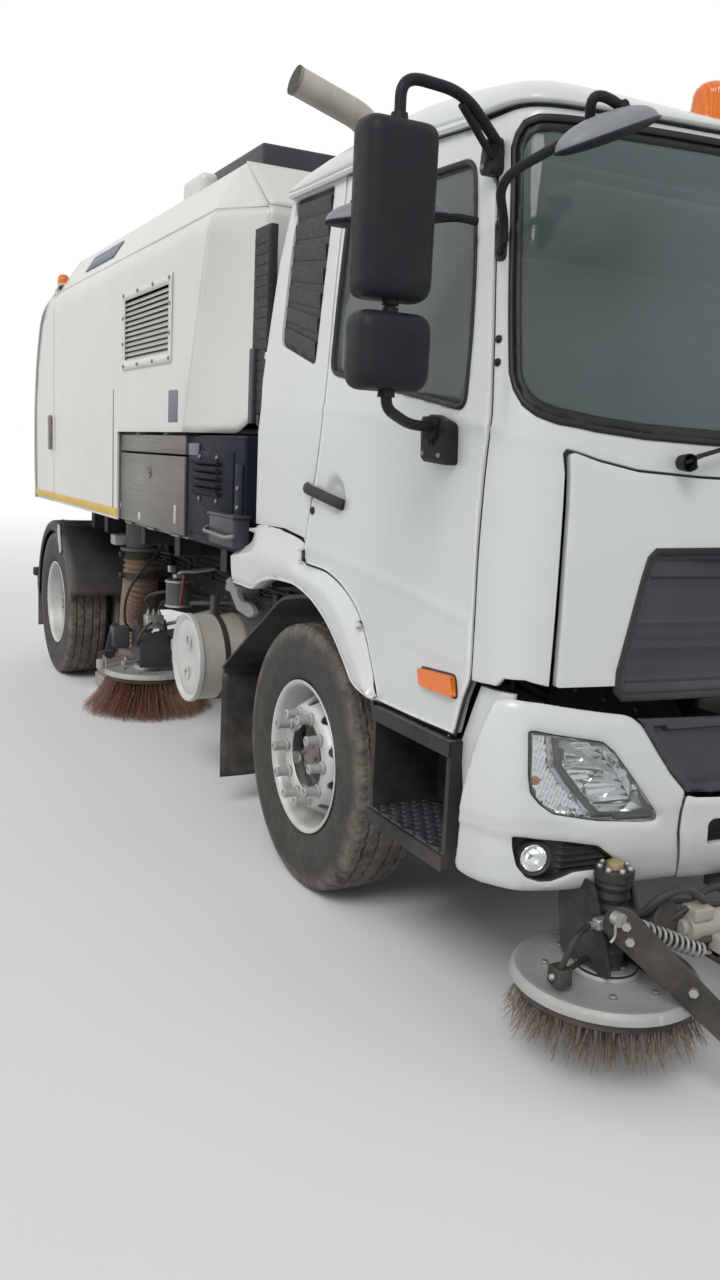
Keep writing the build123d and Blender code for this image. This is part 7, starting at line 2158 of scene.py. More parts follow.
def frontMirror():
    arm = [tube([(-1.165, -1.196, 2.245), (-1.172, -1.205, 2.29), (-1.24, -1.275, 2.35),
                 (-1.235, -1.32, 2.385), (-1.165, -1.44, 2.44), (-1.125, -1.47, 2.478),
                 (-1.15, -1.495, 2.522), (-1.12, -1.5, 2.535), (-1.035, -1.5, 2.512)], 0.0125, 0.035, 16)]
    footPlate = facing(panel(boxLoop(1.192, 2.2, 1.237, 2.312, 0.02, 5), [], 0.03, cabLay(-0.004)), -1)
    top, under, rim = leafShell((-1.09, -1.5, 2.452), (0.155, 0.062, 0.05), ((0, 1, 0), -24))
    meshFrom("frontMirrorTop", top, "mirrorGrey", "cab", 45, instead=["front_view_mirror"])
    meshFrom("frontMirrorUnder", joined([under, rim]), "mirrorPlastic", "cab", 45)
    nut = [rod(-0.012, 0.012, 0.014, 8, "y", p) for p in ((-1.06, -1.5, 2.52), (-1.035, -1.5, 2.508))]
    meshFrom("frontMirrorArm", joined(arm + nut), "mirrorPlastic", "cab", 45)
    plate("frontMirrorFoot", footPlate, "mirrorPlastic", "cab", 0.012, 0.002)
    # plugs on both pillars
    for side, word in sides:
        dots = []
        for s, z in ((1.225, 1.996), (1.231, 1.936)) + (((1.214, 2.225), (1.214, 2.29)) if side < 0
                                                        else ()):
            p = pointAt(cabLay(-0.003 if z < 2.1 else -0.01), s, z)
            dots.append(shifted(spun([(-0.004, 0.0), (-0.004, 0.011), (0.003, 0.01), (0.006, 0.006),
                                      (0.006, 0.0)], 14, "x"), p))
        meshFrom("pillarPlugs_" + word, facing(joined(dots), side), "mirrorPlastic", "cab", 45)


def roofLamps():
    base = spun([(2.708, 0.0), (2.708, 0.082), (2.722, 0.084), (2.728, 0.08), (2.738, 0.078), (2.74, 0.0)],
                48, "z", (-0.2, -0.9, 0))
    zs = np.linspace(2.74, 2.85, 12)
    prof = [(z, 0.0735 - 0.01 * (z - 2.74) / 0.11 + (0.0012 if k % 2 else 0)) for k, z in enumerate(zs)]
    prof += [(2.868, 0.058), (2.882, 0.045), (2.89, 0.028), (2.893, 0.0)]
    dome = spun(prof, 48, "z", (-0.2, -0.9, 0))
    meshFrom("beaconBase", base, "mirrorPlastic", "cab", 45)
    meshFrom("beaconLens", dome, "amberLens", "cab", 45, instead=["roof_beacon"])


def cushion(low, high, crown, grooves=(), across="x", power=0.28):
    # pillow block: superellipsoid with a crowned top; stitched grooves sink along lines
    low, high = np.array(low, float), np.array(high, float)
    la, lo = np.meshgrid(np.linspace(-math.pi / 2, math.pi / 2, 34), angles(72), indexing="ij")

    def raised(v, e):
        return np.sign(v) * np.abs(v) ** e

    out = raised(np.cos(la), power)
    x, y, z = out * raised(np.cos(lo), power), out * raised(np.sin(lo), power), raised(np.sin(la), power)
    face = np.clip(z, 0, 1) ** 2 * (1 - x * x) * (1 - y * y)
    sink = sum(np.exp(-(((x if across == "x" else y) - at) / 0.045) ** 2)
               for at in grooves) if grooves else 0
    edge = np.exp(-((np.maximum(np.abs(x), np.abs(y)) - 0.8) / 0.04) ** 2) * (z > 0.6)
    half = (high - low) / 2
    p = (low + high) / 2 + np.stack([x, y, z], -1) * half
    p[..., 2] += crown * face - 0.01 * sink * (z > 0.6) - 0.006 * edge
    return p.reshape(-1, 3), gridFaces(34, 72, False, True, flip=True)


def cabin():
    cloth, hard, dark, trim = [], [], [], []
    for x in (-0.62, 0.62):
        cloth.append(cushion((x - 0.25, -0.56, 1.4), (x + 0.25, -0.06, 1.545), 0.022, (-0.42, 0.0, 0.42)))
        back = cushion((x - 0.245, -0.36, -0.062), (x + 0.245, 0.36, 0.062), 0.022, (-0.42, 0.0, 0.42))
        back = turned(back, (1, 0, 0), 90)
        back = turned(shifted(back, (-x, 0, 0)), (1, 0, 0), -9)
        cloth.append(shifted(back, (x, -0.055, 1.845)))
        head = cushion((-0.135, -0.085, -0.045), (0.135, 0.085, 0.045), 0.012)
        cloth.append(shifted(turned(head, (1, 0, 0), 82), (x, 0.0, 2.14)))
        hard += [softBox((x - 0.2, -0.5, 1.17), (x + 0.2, -0.1, 1.33), 0.03, 3),
                 softBox((x - 0.235, -0.545, 1.325), (x + 0.235, -0.075, 1.405), 0.03, 3)]
        for k in range(4):
            z = 1.18 + 0.035 * k
            hard.append(softBox((x - 0.21, -0.51, z), (x + 0.21, -0.09, z + 0.018), 0.008, 2))
        for dx in (-0.05, 0.05):
            hard.append(alongPath([(x + dx, -0.018, 2.02), (x + dx, -0.005, 2.12)], ring(0.006, 10)))
        s = math.copysign(1, x)
        trim.append(tube([(x + s * 0.3, 0.05, 1.25), (x + s * 0.3, 0.06, 1.95), (x + s * 0.24, 0.02, 2.12),
                          (x - s * 0.1, -0.12, 1.8), (x - s * 0.24, -0.14, 1.46)], 0.01, 0.08, 8))
    piping = []
    for x in (-0.62, 0.62):
        loop = boxLoop(x - 0.235, -0.545, x + 0.235, -0.075, 0.05, 7)
        line = np.column_stack([loop, np.full(len(loop), 1.518)])
        piping.append(alongPath(np.vstack([line, line[:1]]), ring(0.0045, 6), caps=False))
    # dashboard: one profile carried across, bowed toward the screen in its middle
    xs = np.linspace(-1.035, 1.035, 70)
    prof = np.array([(-1.085, 1.24), (-1.08, 1.42), (-1.045, 1.5), (-1.035, 1.56), (-1.07, 1.64),
                     (-1.11, 1.69), (-1.15, 1.712), (-1.24, 1.722), (-1.32, 1.705), (-1.345, 1.64)])
    prof = eased(prof, 0.02)
    hump = 0.055 * np.exp(-((xs - 0.6) / 0.24) ** 4) + 0.02 * np.exp(-((xs + 0.05) / 0.22) ** 4)
    y = prof[None, :, 0] + np.where(prof[None, :, 0] < -1.16, 0.055 * (xs[:, None] / 1.035) ** 2, 0)
    y = y + 0.035 * np.exp(-((xs[:, None]) / 0.26) ** 4) * (prof[None, :, 1] < 1.66)
    z = prof[None, :, 1] + hump[:, None] * np.exp(-((prof[None, :, 0] + 1.16) / 0.09) ** 2)
    dash = np.stack([np.repeat(xs[:, None], len(prof), 1), y, z], -1)
    m = len(prof)
    faces = gridFaces(70, m, flip=True).tolist() + [list(range(m)), list(range(69 * m, 70 * m))[::-1]]
    dark.append((dash.reshape(-1, 3), faces))
    vents, dials = [], []
    for x in (-0.9, -0.16, 0.16, 0.93):
        vents.append(softBox((x - 0.075, -1.062, 1.555), (x + 0.075, -1.03, 1.615), 0.01, 3))
        for k in range(4):
            vents.append(softBox((x - 0.066, -1.034, 1.562 + 0.013 * k), (x + 0.066, -1.026, 1.566 + 0.013
                                                                          * k), 0.001, 1))
    vents.append(softBox((-0.13, -1.045, 1.365), (0.13, -1.004, 1.53), 0.012, 3))
    for k in range(3):
        for j in range(2):
            vents.append(spun([(-1.012, 0.0), (-1.012, 0.018), (-0.992, 0.016), (-0.99, 0.0)], 18, "y",
                              (-0.075 + 0.075 * k, 0, 1.405 + 0.06 * j)))
    for x, r in ((0.53, 0.052), (0.67, 0.052), (0.6, 0.024)):
        dials.append(spun([(-1.1, 0.0), (-1.078, r), (-1.07, r + 0.004), (-1.072, r - 0.003),
                           (-1.088, 0.0)], 36, "y", (x, 0, 1.672)))
    # steering wheel: rim, three spokes, hub and column
    rim = np.column_stack([ring(0.215, 72), np.zeros(72)])
    wheel = [alongPath(np.vstack([rim, rim[:1]]), ring(0.0155, 14), caps=False)]
    for deg in (-150, -30, 90):
        c, s = math.cos(math.radians(deg)), math.sin(math.radians(deg))
        wheel.append(alongPath([(0.05 * c, 0.05 * s, -0.02), (0.13 * c, 0.13 * s, -0.014),
                                (0.212 * c, 0.212 * s, 0)], ring(0.017, 12, 0.45)))
    wheel += [spun([(-0.06, 0.0), (-0.06, 0.045), (-0.03, 0.062), (-0.008, 0.066), (0.002, 0.058),
                    (0.006, 0.0)], 40, "z"), alongPath([(0, 0, -0.05), (0, 0, -0.26)], ring(0.032, 20))]
    wheel = shifted(turned(joined(wheel), (1, 0, 0), 38), (0.62, -0.855, 1.625))
    hard.append(softBox((0.555, -1.1, 1.42), (0.685, -0.97, 1.6), 0.03, 3))
    # lever, tunnel console, visors and rear lining
    hard += [softBox((-0.24, -0.98, 1.17), (0.24, -0.08, 1.33), 0.03, 3),
             spun([(1.32, 0.0), (1.32, 0.055), (1.345, 0.04), (1.365, 0.022), (1.4, 0.014), (1.56, 0.01),
                   (1.56, 0.0)], 24, "z", (0.12, -0.66, 0)),
             spun([(1.555, 0.0), (1.555, 0.016), (1.575, 0.026), (1.6, 0.027), (1.618, 0.018),
                   (1.622, 0.0)], 24, "z", (0.12, -0.66, 0))]
    for x in (-0.55, 0.55):
        trim.append(softBox((x - 0.3, -1.075, 2.455), (x + 0.3, -0.925, 2.475), 0.009, 2))
    trim += [softBox((-1.05, 0.19, 1.2), (1.05, 0.205, 2.5), 0.006, 2),
             softBox((-1.02, -1.0, 2.52), (1.02, 0.19, 2.535), 0.006, 2)]
    meshFrom("seatCushions", joined(cloth), "seatCloth", "cab", 60, instead=["cab_interior"])
    meshFrom("seatPiping", joined(piping), "rubberSeal", "cab", 60, "interior_plastic")
    meshFrom("cabinHard", joined(hard), "dashPlastic", "cab")
    meshFrom("dashBoard", joined(dark), "dashPlastic", "cab", 50)
    meshFrom("dashDetails", joined(vents), "blackPlastic", "cab", slot="interior_plastic")
    meshFrom("dials", joined(dials), "reflector", "cab", slot="interior_plastic")
    meshFrom("steeringWheel", wheel, "mirrorPlastic", "cab", 50)
    meshFrom("cabinTrim", joined(trim), "liningGrey", "cab")


def cabBackGear():
    # saw-edged louvre pack and its grey strip between the cab and the sweeper body
    bits = []
    tooth = [(0.0, 0.02), (0.026, 0.0), (0.026, -0.012), (0.0, -0.016)]
    for z in np.arange(1.86, 2.56, 0.042):
        bits += [alongPath([(-1.115, 0.535, z), (-1.115, 0.69, z)], tooth),
                 alongPath([(1.115, 0.69, z), (1.115, 0.535, z)], tooth)]
    for s in (-1, 1):
        bits += [softBox((s * 1.095 - 0.018, 0.53, 1.83), (s * 1.095 + 0.018, 0.7, 2.58), 0.006, 2),
                 softBox((s * 1.055 - 0.03, 0.555, 1.735), (s * 1.055 + 0.03, 0.68, 1.84), 0.006, 2)]
    bits.append(softBox((-1.085, 0.6, 1.74), (1.085, 0.64, 1.8), 0.006, 2))
    meshFrom("louvrePack", joined(bits), "blackPlastic")
    strips = [softBox((s * 1.118 - 0.012, 0.64, 1.79), (s * 1.118 + 0.012, 0.69, 2.1), 0.006, 2)
              for s in (-1, 1)]
    meshFrom("greyStrips", joined(strips), "greyPlastic")


doorMirrors()
frontMirror()
roofLamps()
cabin()
cabBackGear()
print("mirrors and cabin made")


# running gear, frame, tanks and guards

base = {"rail": (0.35, 0.43, 0.7, 0.95), "front": -1.4, "rear": 4.7, "cross": (-0.95, 0.3, 1.35, 2.55, 3.45,
                                                                               4.55), "bearers": (0.62,
                                                                                                  1.18, 1.9,
                                                                                                  2.56, 3.43,
                                                                                                  3.79)}


def rails():
    x0, x1, z0, z1 = base["rail"]
    t = 0.008
    sec = [(x1, z0), (x1, z1), (x0, z1), (x0, z1 - t), (x1 - t, z1 - t), (x1 - t, z0 + t), (x0, z0 + t),
           (x0, z0)]
    sec = np.array(sec)
    ys = np.array([base["front"], base["front"] + 0.002] + list(np.linspace(-1.3, 4.6, 30))
                  + [base["rear"]])
    pts = np.array([[(x, y, z) for x, z in sec] for y in ys])
    one = (pts.reshape(-1, 3), gridFaces(len(ys), len(sec), False, True).tolist()
           + [list(range(8))[::-1], list(range((len(ys) - 1) * 8, len(ys) * 8))])
    both = [one, otherSide(one)]
    for y in base["cross"]:
        both.append(softBox((-x1 + t, y - 0.035, z0 + 0.02), (x1 - t, y + 0.035, z1 - 0.06), 0.01, 2))
    both.append(softBox((-0.76, -1.38, 0.622), (0.76, -1.32, 0.7), 0.008, 3))
    heads = []
    for y in np.arange(-1.25, 4.65, 0.155):
        for z in (z0 + 0.045, z1 - 0.045):
            heads.append((x1, y + (0.04 if z > 0.8 else 0), z))
    bolts = boltHeads(heads, "x", 0.0095, 0.007, 6)
    for side in (1, -1):
        # cab pivots, spring hangers and shackles
        both.append(spun([(x0 * side, 0.0), (x0 * side, 0.02), (0.515 * side, 0.02), (0.52 * side, 0.015),
                          (0.52 * side, 0.0)], 20, "x", (0, -1.37, 0.8)))
        for cy, mid, half, low in ((0.0, 0.39, 0.7, 0.64), (wheelbase, 0.5, 0.65, 0.66)):
            for end in (-1, 1):
                y = cy + end * (half - 0.045)
                hang = roundedLoop([(-0.045, 0.1), (0.045, 0.1), (0.04, 0.0), (0.0, -0.035), (-0.04, 0.0)],
                                   0.012, 4)
                for dx in (-0.04, 0.03):
                    both.append(slab(hang, (side * mid + dx, y, low + 0.02), *upright, 0.01))
                both.append(spun([(-0.052, 0.0), (-0.052, 0.02), (-0.044, 0.024), (0.044, 0.024),
                                  (0.052, 0.02), (0.052, 0.0)], 20, "x", (side * mid, y, low + 0.012)))
                if mid > 0.45:
                    both.append(softBox((min(side * 0.43, side * mid), y - 0.045, 0.72),
                                        (max(side * 0.43, side * mid), y + 0.045, 0.76), 0.006, 2))
        both.append(softBox((side * 0.405 - 0.025, 4.58, 0.712), (side * 0.405 + 0.025, 4.7, 0.878), 0.006,
                            2))
        arm = np.array([(-0.2, 0.72), (0.0, 0.72), (0.2, 0.53), (0.28, 0.53), (0.28, 0.62), (0.2, 0.69),
                        (0.0, 0.88), (-0.2, 0.88)])
        both.append(slab(arm, (side * 0.435 - 0.01, 4.7, 0.0), *upright, 0.02, 0.002))
    bar = alongPath([(-1.18, 4.94, 0.575), (1.18, 4.94, 0.575)], boxLoop(-0.04, -0.045, 0.04, 0.045, 0.014,
                                                                         4))
    both += [bar, softBox((-0.068, 4.69, 0.787), (0.068, 4.8, 0.813), 0.006, 2),
             spun([(0.77, 0.0), (0.77, 0.022), (0.86, 0.022), (0.865, 0.034), (0.875, 0.034), (0.875, 0.0)],
                  20, "z", (0, 4.765, 0))]
    meshFrom("frameRails", joined(both), "frameBlack", smooth=35, instead=["chassis_frame"])
    meshFrom("frameBolts", joined([bolts, otherSide(bolts)]), "steelDusty", smooth=35)
    marks = []
    for k in range(8):
        x = -1.12 + 0.32 * k
        marks.append(softBox((x, 4.9795, 0.545), (x + 0.16, 4.9825, 0.605), 0.001, 1))
    meshFrom("barMarks", joined(marks), "redLens", smooth=35)
    caps = [softBox((s * 1.186 - 0.01, 4.898, 0.528), (s * 1.186 + 0.01, 4.982, 0.622), 0.008, 3)
            for s in (-1, 1)]
    meshFrom("barCaps", joined(caps), "blackPlastic", smooth=35)
    # wiring looms and air pipes clipped along the rails
    loom = []
    for s in (-1, 1):
        for dz, r, x in ((0.9, 0.012, 0.446), (0.865, 0.008, 0.442), (0.835, 0.008, 0.442)):
            ys = np.linspace(-0.6, 4.5, 24)
            sag = 0.01 * np.cos(ys * 9 + dz * 40)
            loom.append(alongPath(np.stack([np.full(24, s * x), ys, dz + sag], 1), ring(r, 8)))
        for y in np.linspace(-0.4, 4.3, 12):
            loom.append(softBox((s * 0.445 - 0.016, y - 0.012, 0.822), (s * 0.445 + 0.016, y + 0.012, 0.92),
                                0.004, 1))
    meshFrom("frameLooms", joined(loom), "hoseBlack", smooth=60)


def leafSprings():
    parts, bright = [], []
    for cy, mid, half, low, bed, leaves in ((0.0, 0.39, 0.67, 0.652, 0.48, 4),
                                            (wheelbase, 0.5, 0.62, 0.672, 0.6, 7)):
        for side in (-1, 1):
            x = side * mid
            for k in range(leaves):
                run = half * (1 - 0.13 * k)
                ys = np.linspace(-run, run, 25)
                arc = (low - bed - 0.055) * (ys / half) ** 2
                z = bed + 0.052 - 0.0125 * k + arc
                path = np.stack([np.full(25, x), cy + ys, z], 1)
                parts.append(alongPath(path, [(-0.037, -0.0055), (-0.037, 0.004), (-0.033, 0.0055),
                                              (0.033, 0.0055), (0.037, 0.004), (0.037, -0.0055)]))
            for dy in (-0.085, 0.085):
                u = easedPath([(x - 0.048, cy + dy, bed - 0.085), (x - 0.048, cy + dy, bed + 0.085),
                               (x + 0.048, cy + dy, bed + 0.085), (x + 0.048, cy + dy, bed - 0.085)], 0.03,
                              0.01)
                bright.append(alongPath(u, ring(0.009, 10)))
            parts.append(softBox((x - 0.05, cy - 0.11, bed + 0.058), (x + 0.05, cy + 0.11, bed + 0.074),
                                 0.006, 2))
            for dy in (-0.3, 0.3):
                parts.append(softBox((x - 0.043, cy + dy - 0.012, bed + 0.004),
                                     (x + 0.043, cy + dy + 0.012, bed + 0.09), 0.004, 1))
            # damper from the rail down to the axle
            parts.append(alongPath([(x + side * 0.085, cy - 0.2, 0.86),
                                    (x + side * 0.085, cy - 0.07, 0.66)], ring(0.034, 20)))
            bright.append(alongPath([(x + side * 0.085, cy - 0.07, 0.66),
                                     (x + side * 0.085, cy - 0.01, 0.56)], ring(0.012, 12)))
    meshFrom("leafPacks", joined(parts), "frameBlack", smooth=35, instead=["leaf_springs"])
    meshFrom("springBolts", joined(bright), "steelDusty", smooth=45)


def axles():
    # forged front beam: an I section that drops between the springs
    xs = np.linspace(-0.84, 0.84, 61)
    drop = 0.5 + 0.5 * np.cos(np.clip((np.abs(xs) - 0.58) / 0.16, 0, 1) * math.pi)
    mid = 0.518 - 0.088 * drop
    high = 0.045 + 0.004 * (1 - drop)
    sec = np.array([(-1, -1), (1, -1), (1, -0.72), (0.28, -0.5), (0.28, 0.5), (1, 0.72), (1, 1), (-1, 1),
                    (-1, 0.72), (-0.28, 0.5), (-0.28, -0.5), (-1, -0.72)])
    pts = np.array([[(x, 0.044 * a, m + h * b) for a, b in sec] for x, m, h in zip(xs, mid, high)])
    beam = (pts.reshape(-1, 3), gridFaces(61, 12, False, True).tolist()
            + [list(range(12))[::-1], list(range(60 * 12, 61 * 12))])
    parts = [beam]
    for s in (-1, 1):
        parts.append(spun([(0.467, 0.0235), (0.467, 0.044), (0.475, 0.048), (0.565, 0.048), (0.573, 0.044),
                           (0.573, 0.0235)], 28, "z", (s * 0.84, 0, 0), close=True))
    meshFrom("frontBeam", joined(parts), "frameBlack", smooth=35, instead=["front_axle"])
    # rear casing: tube, banjo, ribs and nose, with the propeller shaft and its joints
    prof = [(-0.9, 0.0), (-0.9, 0.054), (-0.655, 0.056), (-0.64, 0.076), (-0.34, 0.08), (-0.22, 0.11),
            (-0.12, 0.165), (0.0, 0.186), (0.12, 0.165), (0.22, 0.11), (0.34, 0.08), (0.64, 0.076),
            (0.655, 0.056), (0.9, 0.054), (0.9, 0.0)]
    prof = np.array(prof)
    rear = [spun(prof, 48, "x", (0, wheelbase, axleZ))]
    rear += [spun([(4.4, 0.0), (4.4, 0.06), (4.415, 0.13), (4.39, 0.165), (4.372, 0.172), (4.355, 0.172)],
                  40, "y", (0, 0, axleZ)), spun([(4.1, 0.15), (4.02, 0.115), (3.98, 0.098), (3.955, 0.09),
                                                 (3.95, 0.06), (3.92, 0.055), (3.915, 0.0)], 36, "y",
                                                (0, 0, axleZ))]
    for k in range(8):
        a = 2 * math.pi * k / 8 + 0.3
        rear.append(softBox((0.155 * math.cos(a) - 0.008, 4.3, 0.52 + 0.155 * math.sin(a) - 0.008),
                            (0.155 * math.cos(a) + 0.008, 4.4, 0.52 + 0.155 * math.sin(a) + 0.008), 0.004,
                            1))
    shaft = [alongPath([(0, 1.2, 0.648), (0, 2.5, 0.6)], ring(0.045, 24)),
             alongPath([(0, 2.58, 0.597), (0, 3.88, 0.531)], ring(0.045, 24))]
    for y, z in ((1.18, 0.649), (2.54, 0.598), (3.9, 0.529)):
        shaft += [softBox((-0.058, y - 0.04, z - 0.022), (0.058, y + 0.04, z + 0.022), 0.012, 3),
                  softBox((-0.022, y - 0.04, z - 0.058), (0.022, y + 0.04, z + 0.058), 0.012, 3)]
    shaft += [spun([(2.47, 0.05), (2.47, 0.085), (2.52, 0.088), (2.53, 0.05)], 30, "y", (0, 0, 0.6),
                   close=True), softBox((-0.36, 2.485, 0.64), (0.36, 2.515, 0.72), 0.008, 2)]
    meshFrom("rearCasing", joined(rear + shaft), "castGrey", smooth=35, slot="frame_paint",
             instead=["rear_axle"])
    for s, word in sides:
        chamber = [spun([(0.0, 0.0), (0.0, 0.062), (0.014, 0.07), (0.03, 0.072), (0.034, 0.078),
                         (0.044, 0.078), (0.048, 0.07), (0.11, 0.066), (0.125, 0.045), (0.13, 0.0)], 32,
                        "y", (s * 0.6, 4.37, 0.6)), softBox((s * 0.6 - 0.02, 4.28, 0.56),
                                                            (s * 0.6 + 0.02, 4.39, 0.62), 0.008, 2)]
        meshFrom("brakeChamber_" + word, joined(chamber), "castGrey", smooth=35)


def engineParts():
    parts, light = [], []
    parts += [softBox((-0.21, -0.66, 0.7), (0.21, 0.44, 1.0), 0.03, 3),
              softBox((-0.18, -0.6, 0.575), (0.18, 0.3, 0.71), 0.05, 4),
              softBox((-0.15, -0.62, 0.99), (0.15, 0.42, 1.145), 0.03, 3)]
    for k in range(7):
        y = -0.56 + 0.15 * k
        parts.append(softBox((-0.225, y - 0.012, 0.72), (0.225, y + 0.012, 0.99), 0.006, 2))
        light.append(tube([(-0.15, y + 0.06, 1.06), (-0.22, y + 0.06, 1.05), (-0.26, y + 0.06, 0.98)],
                          0.022, 0.04, 12))
    light.append(alongPath([(-0.262, -0.55, 0.97), (-0.262, 0.42, 0.97)], ring(0.034, 18)))
    for z, x, r in ((0.76, 0.0, 0.1), (0.93, -0.13, 0.055), (0.93, 0.13, 0.06)):
        light.append(spun([(-0.74, 0.0), (-0.74, r), (-0.725, r - 0.012), (-0.71, r), (-0.695, r),
                           (-0.69, 0.0)], 32, "y", (x, 0, z)))
    fan = []
    for k in range(9):
        blade = slab(roundedLoop([(0.04, -0.03), (0.21, -0.045), (0.215, 0.03), (0.04, 0.02)], 0.012, 4),
                     (0, -0.8, 0.86), (1, 0.0, 0), (0, 0.45, 0.9), 0.004)
        fan.append(turned(blade, (0, 1, 0), 40 * k, (0, -0.8, 0.86)))
    fan.append(spun([(-0.83, 0.0), (-0.83, 0.055), (-0.77, 0.065), (-0.74, 0.05), (-0.74, 0.0)], 28, "y",
                    (0, 0, 0.86)))
    parts.append(spun([(0.42, 0.18), (0.44, 0.215), (0.5, 0.215), (0.64, 0.16), (0.8, 0.135), (1.02, 0.12),
                       (1.05, 0.075), (1.13, 0.07), (1.15, 0.0)], 36, "y", (0, 0, 0.715)))
    for k in range(6):
        parts.append(softBox((-0.165, 0.56 + 0.09 * k, 0.6), (0.165, 0.575 + 0.09 * k, 0.84), 0.005, 1))
    for s in (-1, 1):
        parts.append(softBox((s * 0.3 - 0.125, -0.2, 0.765), (s * 0.3 + 0.12, -0.08, 0.835), 0.012, 3))
    # radiator with header tanks and a fine core
    core = [softBox((-0.33, -1.215, 0.7), (0.33, -1.135, 1.095), 0.006, 2)]
    fins = []
    for k in range(30):
        z = 0.712 + 0.0128 * k
        fins.append(softBox((-0.325, -1.2225, z), (0.325, -1.2145, z + 0.004), 0.001, 1))
    tanks = [softBox((-0.345, -1.228, 0.662), (0.345, -1.122, 0.708), 0.018, 3),
             softBox((-0.345, -1.228, 1.088), (0.345, -1.122, 1.128), 0.018, 3)]
    tanks += [softBox((s * 0.338 - 0.01, -1.225, 0.7), (s * 0.338 + 0.01, -1.125, 1.1), 0.005, 2)
              for s in (-1, 1)]
    shroud = alongPath([(0, -1.12, 0.87), (0, -1.02, 0.87), (0, -0.92, 0.87)],
                       np.array([ring(0.32, 40, 0.7), ring(0.26, 40, 0.86), ring(0.235, 40, 1.0)]),
                       caps=False)
    hoses = [tube([(-0.2, -1.12, 1.08), (-0.2, -0.98, 1.1), (-0.1, -0.8, 1.09), (-0.08, -0.66, 1.06)],
                  0.028, 0.08, 16), tube([(0.22, -1.12, 0.7), (0.24, -0.95, 0.66), (0.16, -0.75, 0.7),
                                          (0.15, -0.64, 0.76)], 0.028, 0.08, 16)]
    meshFrom("engineCastings", joined(parts), "castGrey", smooth=35, instead=["engine_blocks"])
    meshFrom("engineLight", joined(light), "steelDusty")
    meshFrom("engineFan", joined(fan + tanks + [shroud]), "blackPlastic")
    meshFrom("radiatorCore", joined(core + fins), "steelDusty")
    meshFrom("engineHoses", joined(hoses), "hoseBlack", smooth=60)


def subFrame():
    parts, bolts = [], []
    for s in (-1, 1):
        x0, x1 = sorted((s * 0.35, s * 0.43))
        parts.append(softBox((x0, 0.54, 0.951), (x1, 4.5, 1.099), 0.01, 3))
        for y in np.arange(0.9, 4.4, 0.62):
            parts.append(softBox((s * 0.436 - 0.007, y - 0.06, 0.87), (s * 0.436 + 0.007, y + 0.06, 1.07),
                                 0.004, 2))
            bolts += [(s * 0.443, y + dy, z) for dy in (-0.035, 0.035) for z in (0.9, 1.035)]
        lug = roundedLoop([(-0.055, 1.062), (0.055, 1.062), (0.045, 1.19), (-0.045, 1.19)], 0.035, 6)
        parts += [slab(lug, (s * 0.4 - 0.019, 4.45, 0.0), *upright, 0.038),
                  spun([(min(s * 0.38, s * 0.485), 0.0), (min(s * 0.38, s * 0.485), 0.0245),
                        (max(s * 0.38, s * 0.485), 0.0245), (max(s * 0.38, s * 0.485), 0.0)], 24, "x",
                       (0, 4.45, 1.15))]
    for y in base["bearers"]:
        sec = boxLoop(-0.035, -0.071, 0.035, 0.071, 0.012, 4)
        parts.append(alongPath([(-1.04, y, 1.172), (1.04, y, 1.172)], sec))
        for s in (-1, 1):
            gus = np.array([(0.0, 0.0), (0.2, 0.0), (0.0, -0.12)]) if s > 0 else np.array([(0.0, 0.0),
                                                                                           (0.0, -0.12),
                                                                                           (-0.2, 0.0)])
            parts += [slab(gus, (s * 0.432, y + 0.004, 1.103), (1, 0, 0), (0, 0, 1), 0.008, 0.001),
                      softBox((s * 1.035 - 0.006, y - 0.042, 1.1), (s * 1.035 + 0.006, y + 0.042, 1.242),
                              0.003, 1)]
    pads = []
    for s in (-1, 1):
        for y in base["bearers"][3:5]:
            pads.append(softBox((s * 0.65 - 0.05, y - 0.03, 1.242), (s * 0.65 + 0.05, y + 0.03, 1.249),
                                0.003, 2))
    # tipping ram on the middle line
    parts += [alongPath([(0, 2.3, 1.03), (0, 3.3, 1.13)], ring(0.055, 28)),
              softBox((-0.075, 2.22, 0.98), (0.075, 2.32, 1.08), 0.015, 3)]
    head = boltHeads([b for b in bolts if b[0] > 0], "x", 0.01, 0.008, 6)
    meshFrom("subFrameBars", joined(parts), "frameBlack", smooth=35, instead=["sub_frame"])
    meshFrom("subFrameBolts", joined([head, otherSide(head)]), "steelDusty", smooth=35)
    meshFrom("restPads", joined(pads), "rubberSeal", smooth=35, slot="tyre")
    # hinge arms of the tipping body
    arms = []
    for s in (-1, 1):
        arm = roundedLoop([(3.9, 1.236), (4.14, 1.236), (4.5, 1.195), (4.5, 1.102), (4.4, 1.102),
                           (3.9, 1.195)], 0.02, 5)
        arms += [slab(arm, (s * 0.4575 - 0.0165, 0.0, 0.0), *upright, 0.033, 0.002),
                 softBox((s * 0.457 - 0.03, 3.85, 1.232), (s * 0.457 + 0.03, 4.12, 1.756), 0.008, 2)]
    meshFrom("hingeArms", joined(arms), "frameBlack", "hopper", 35)


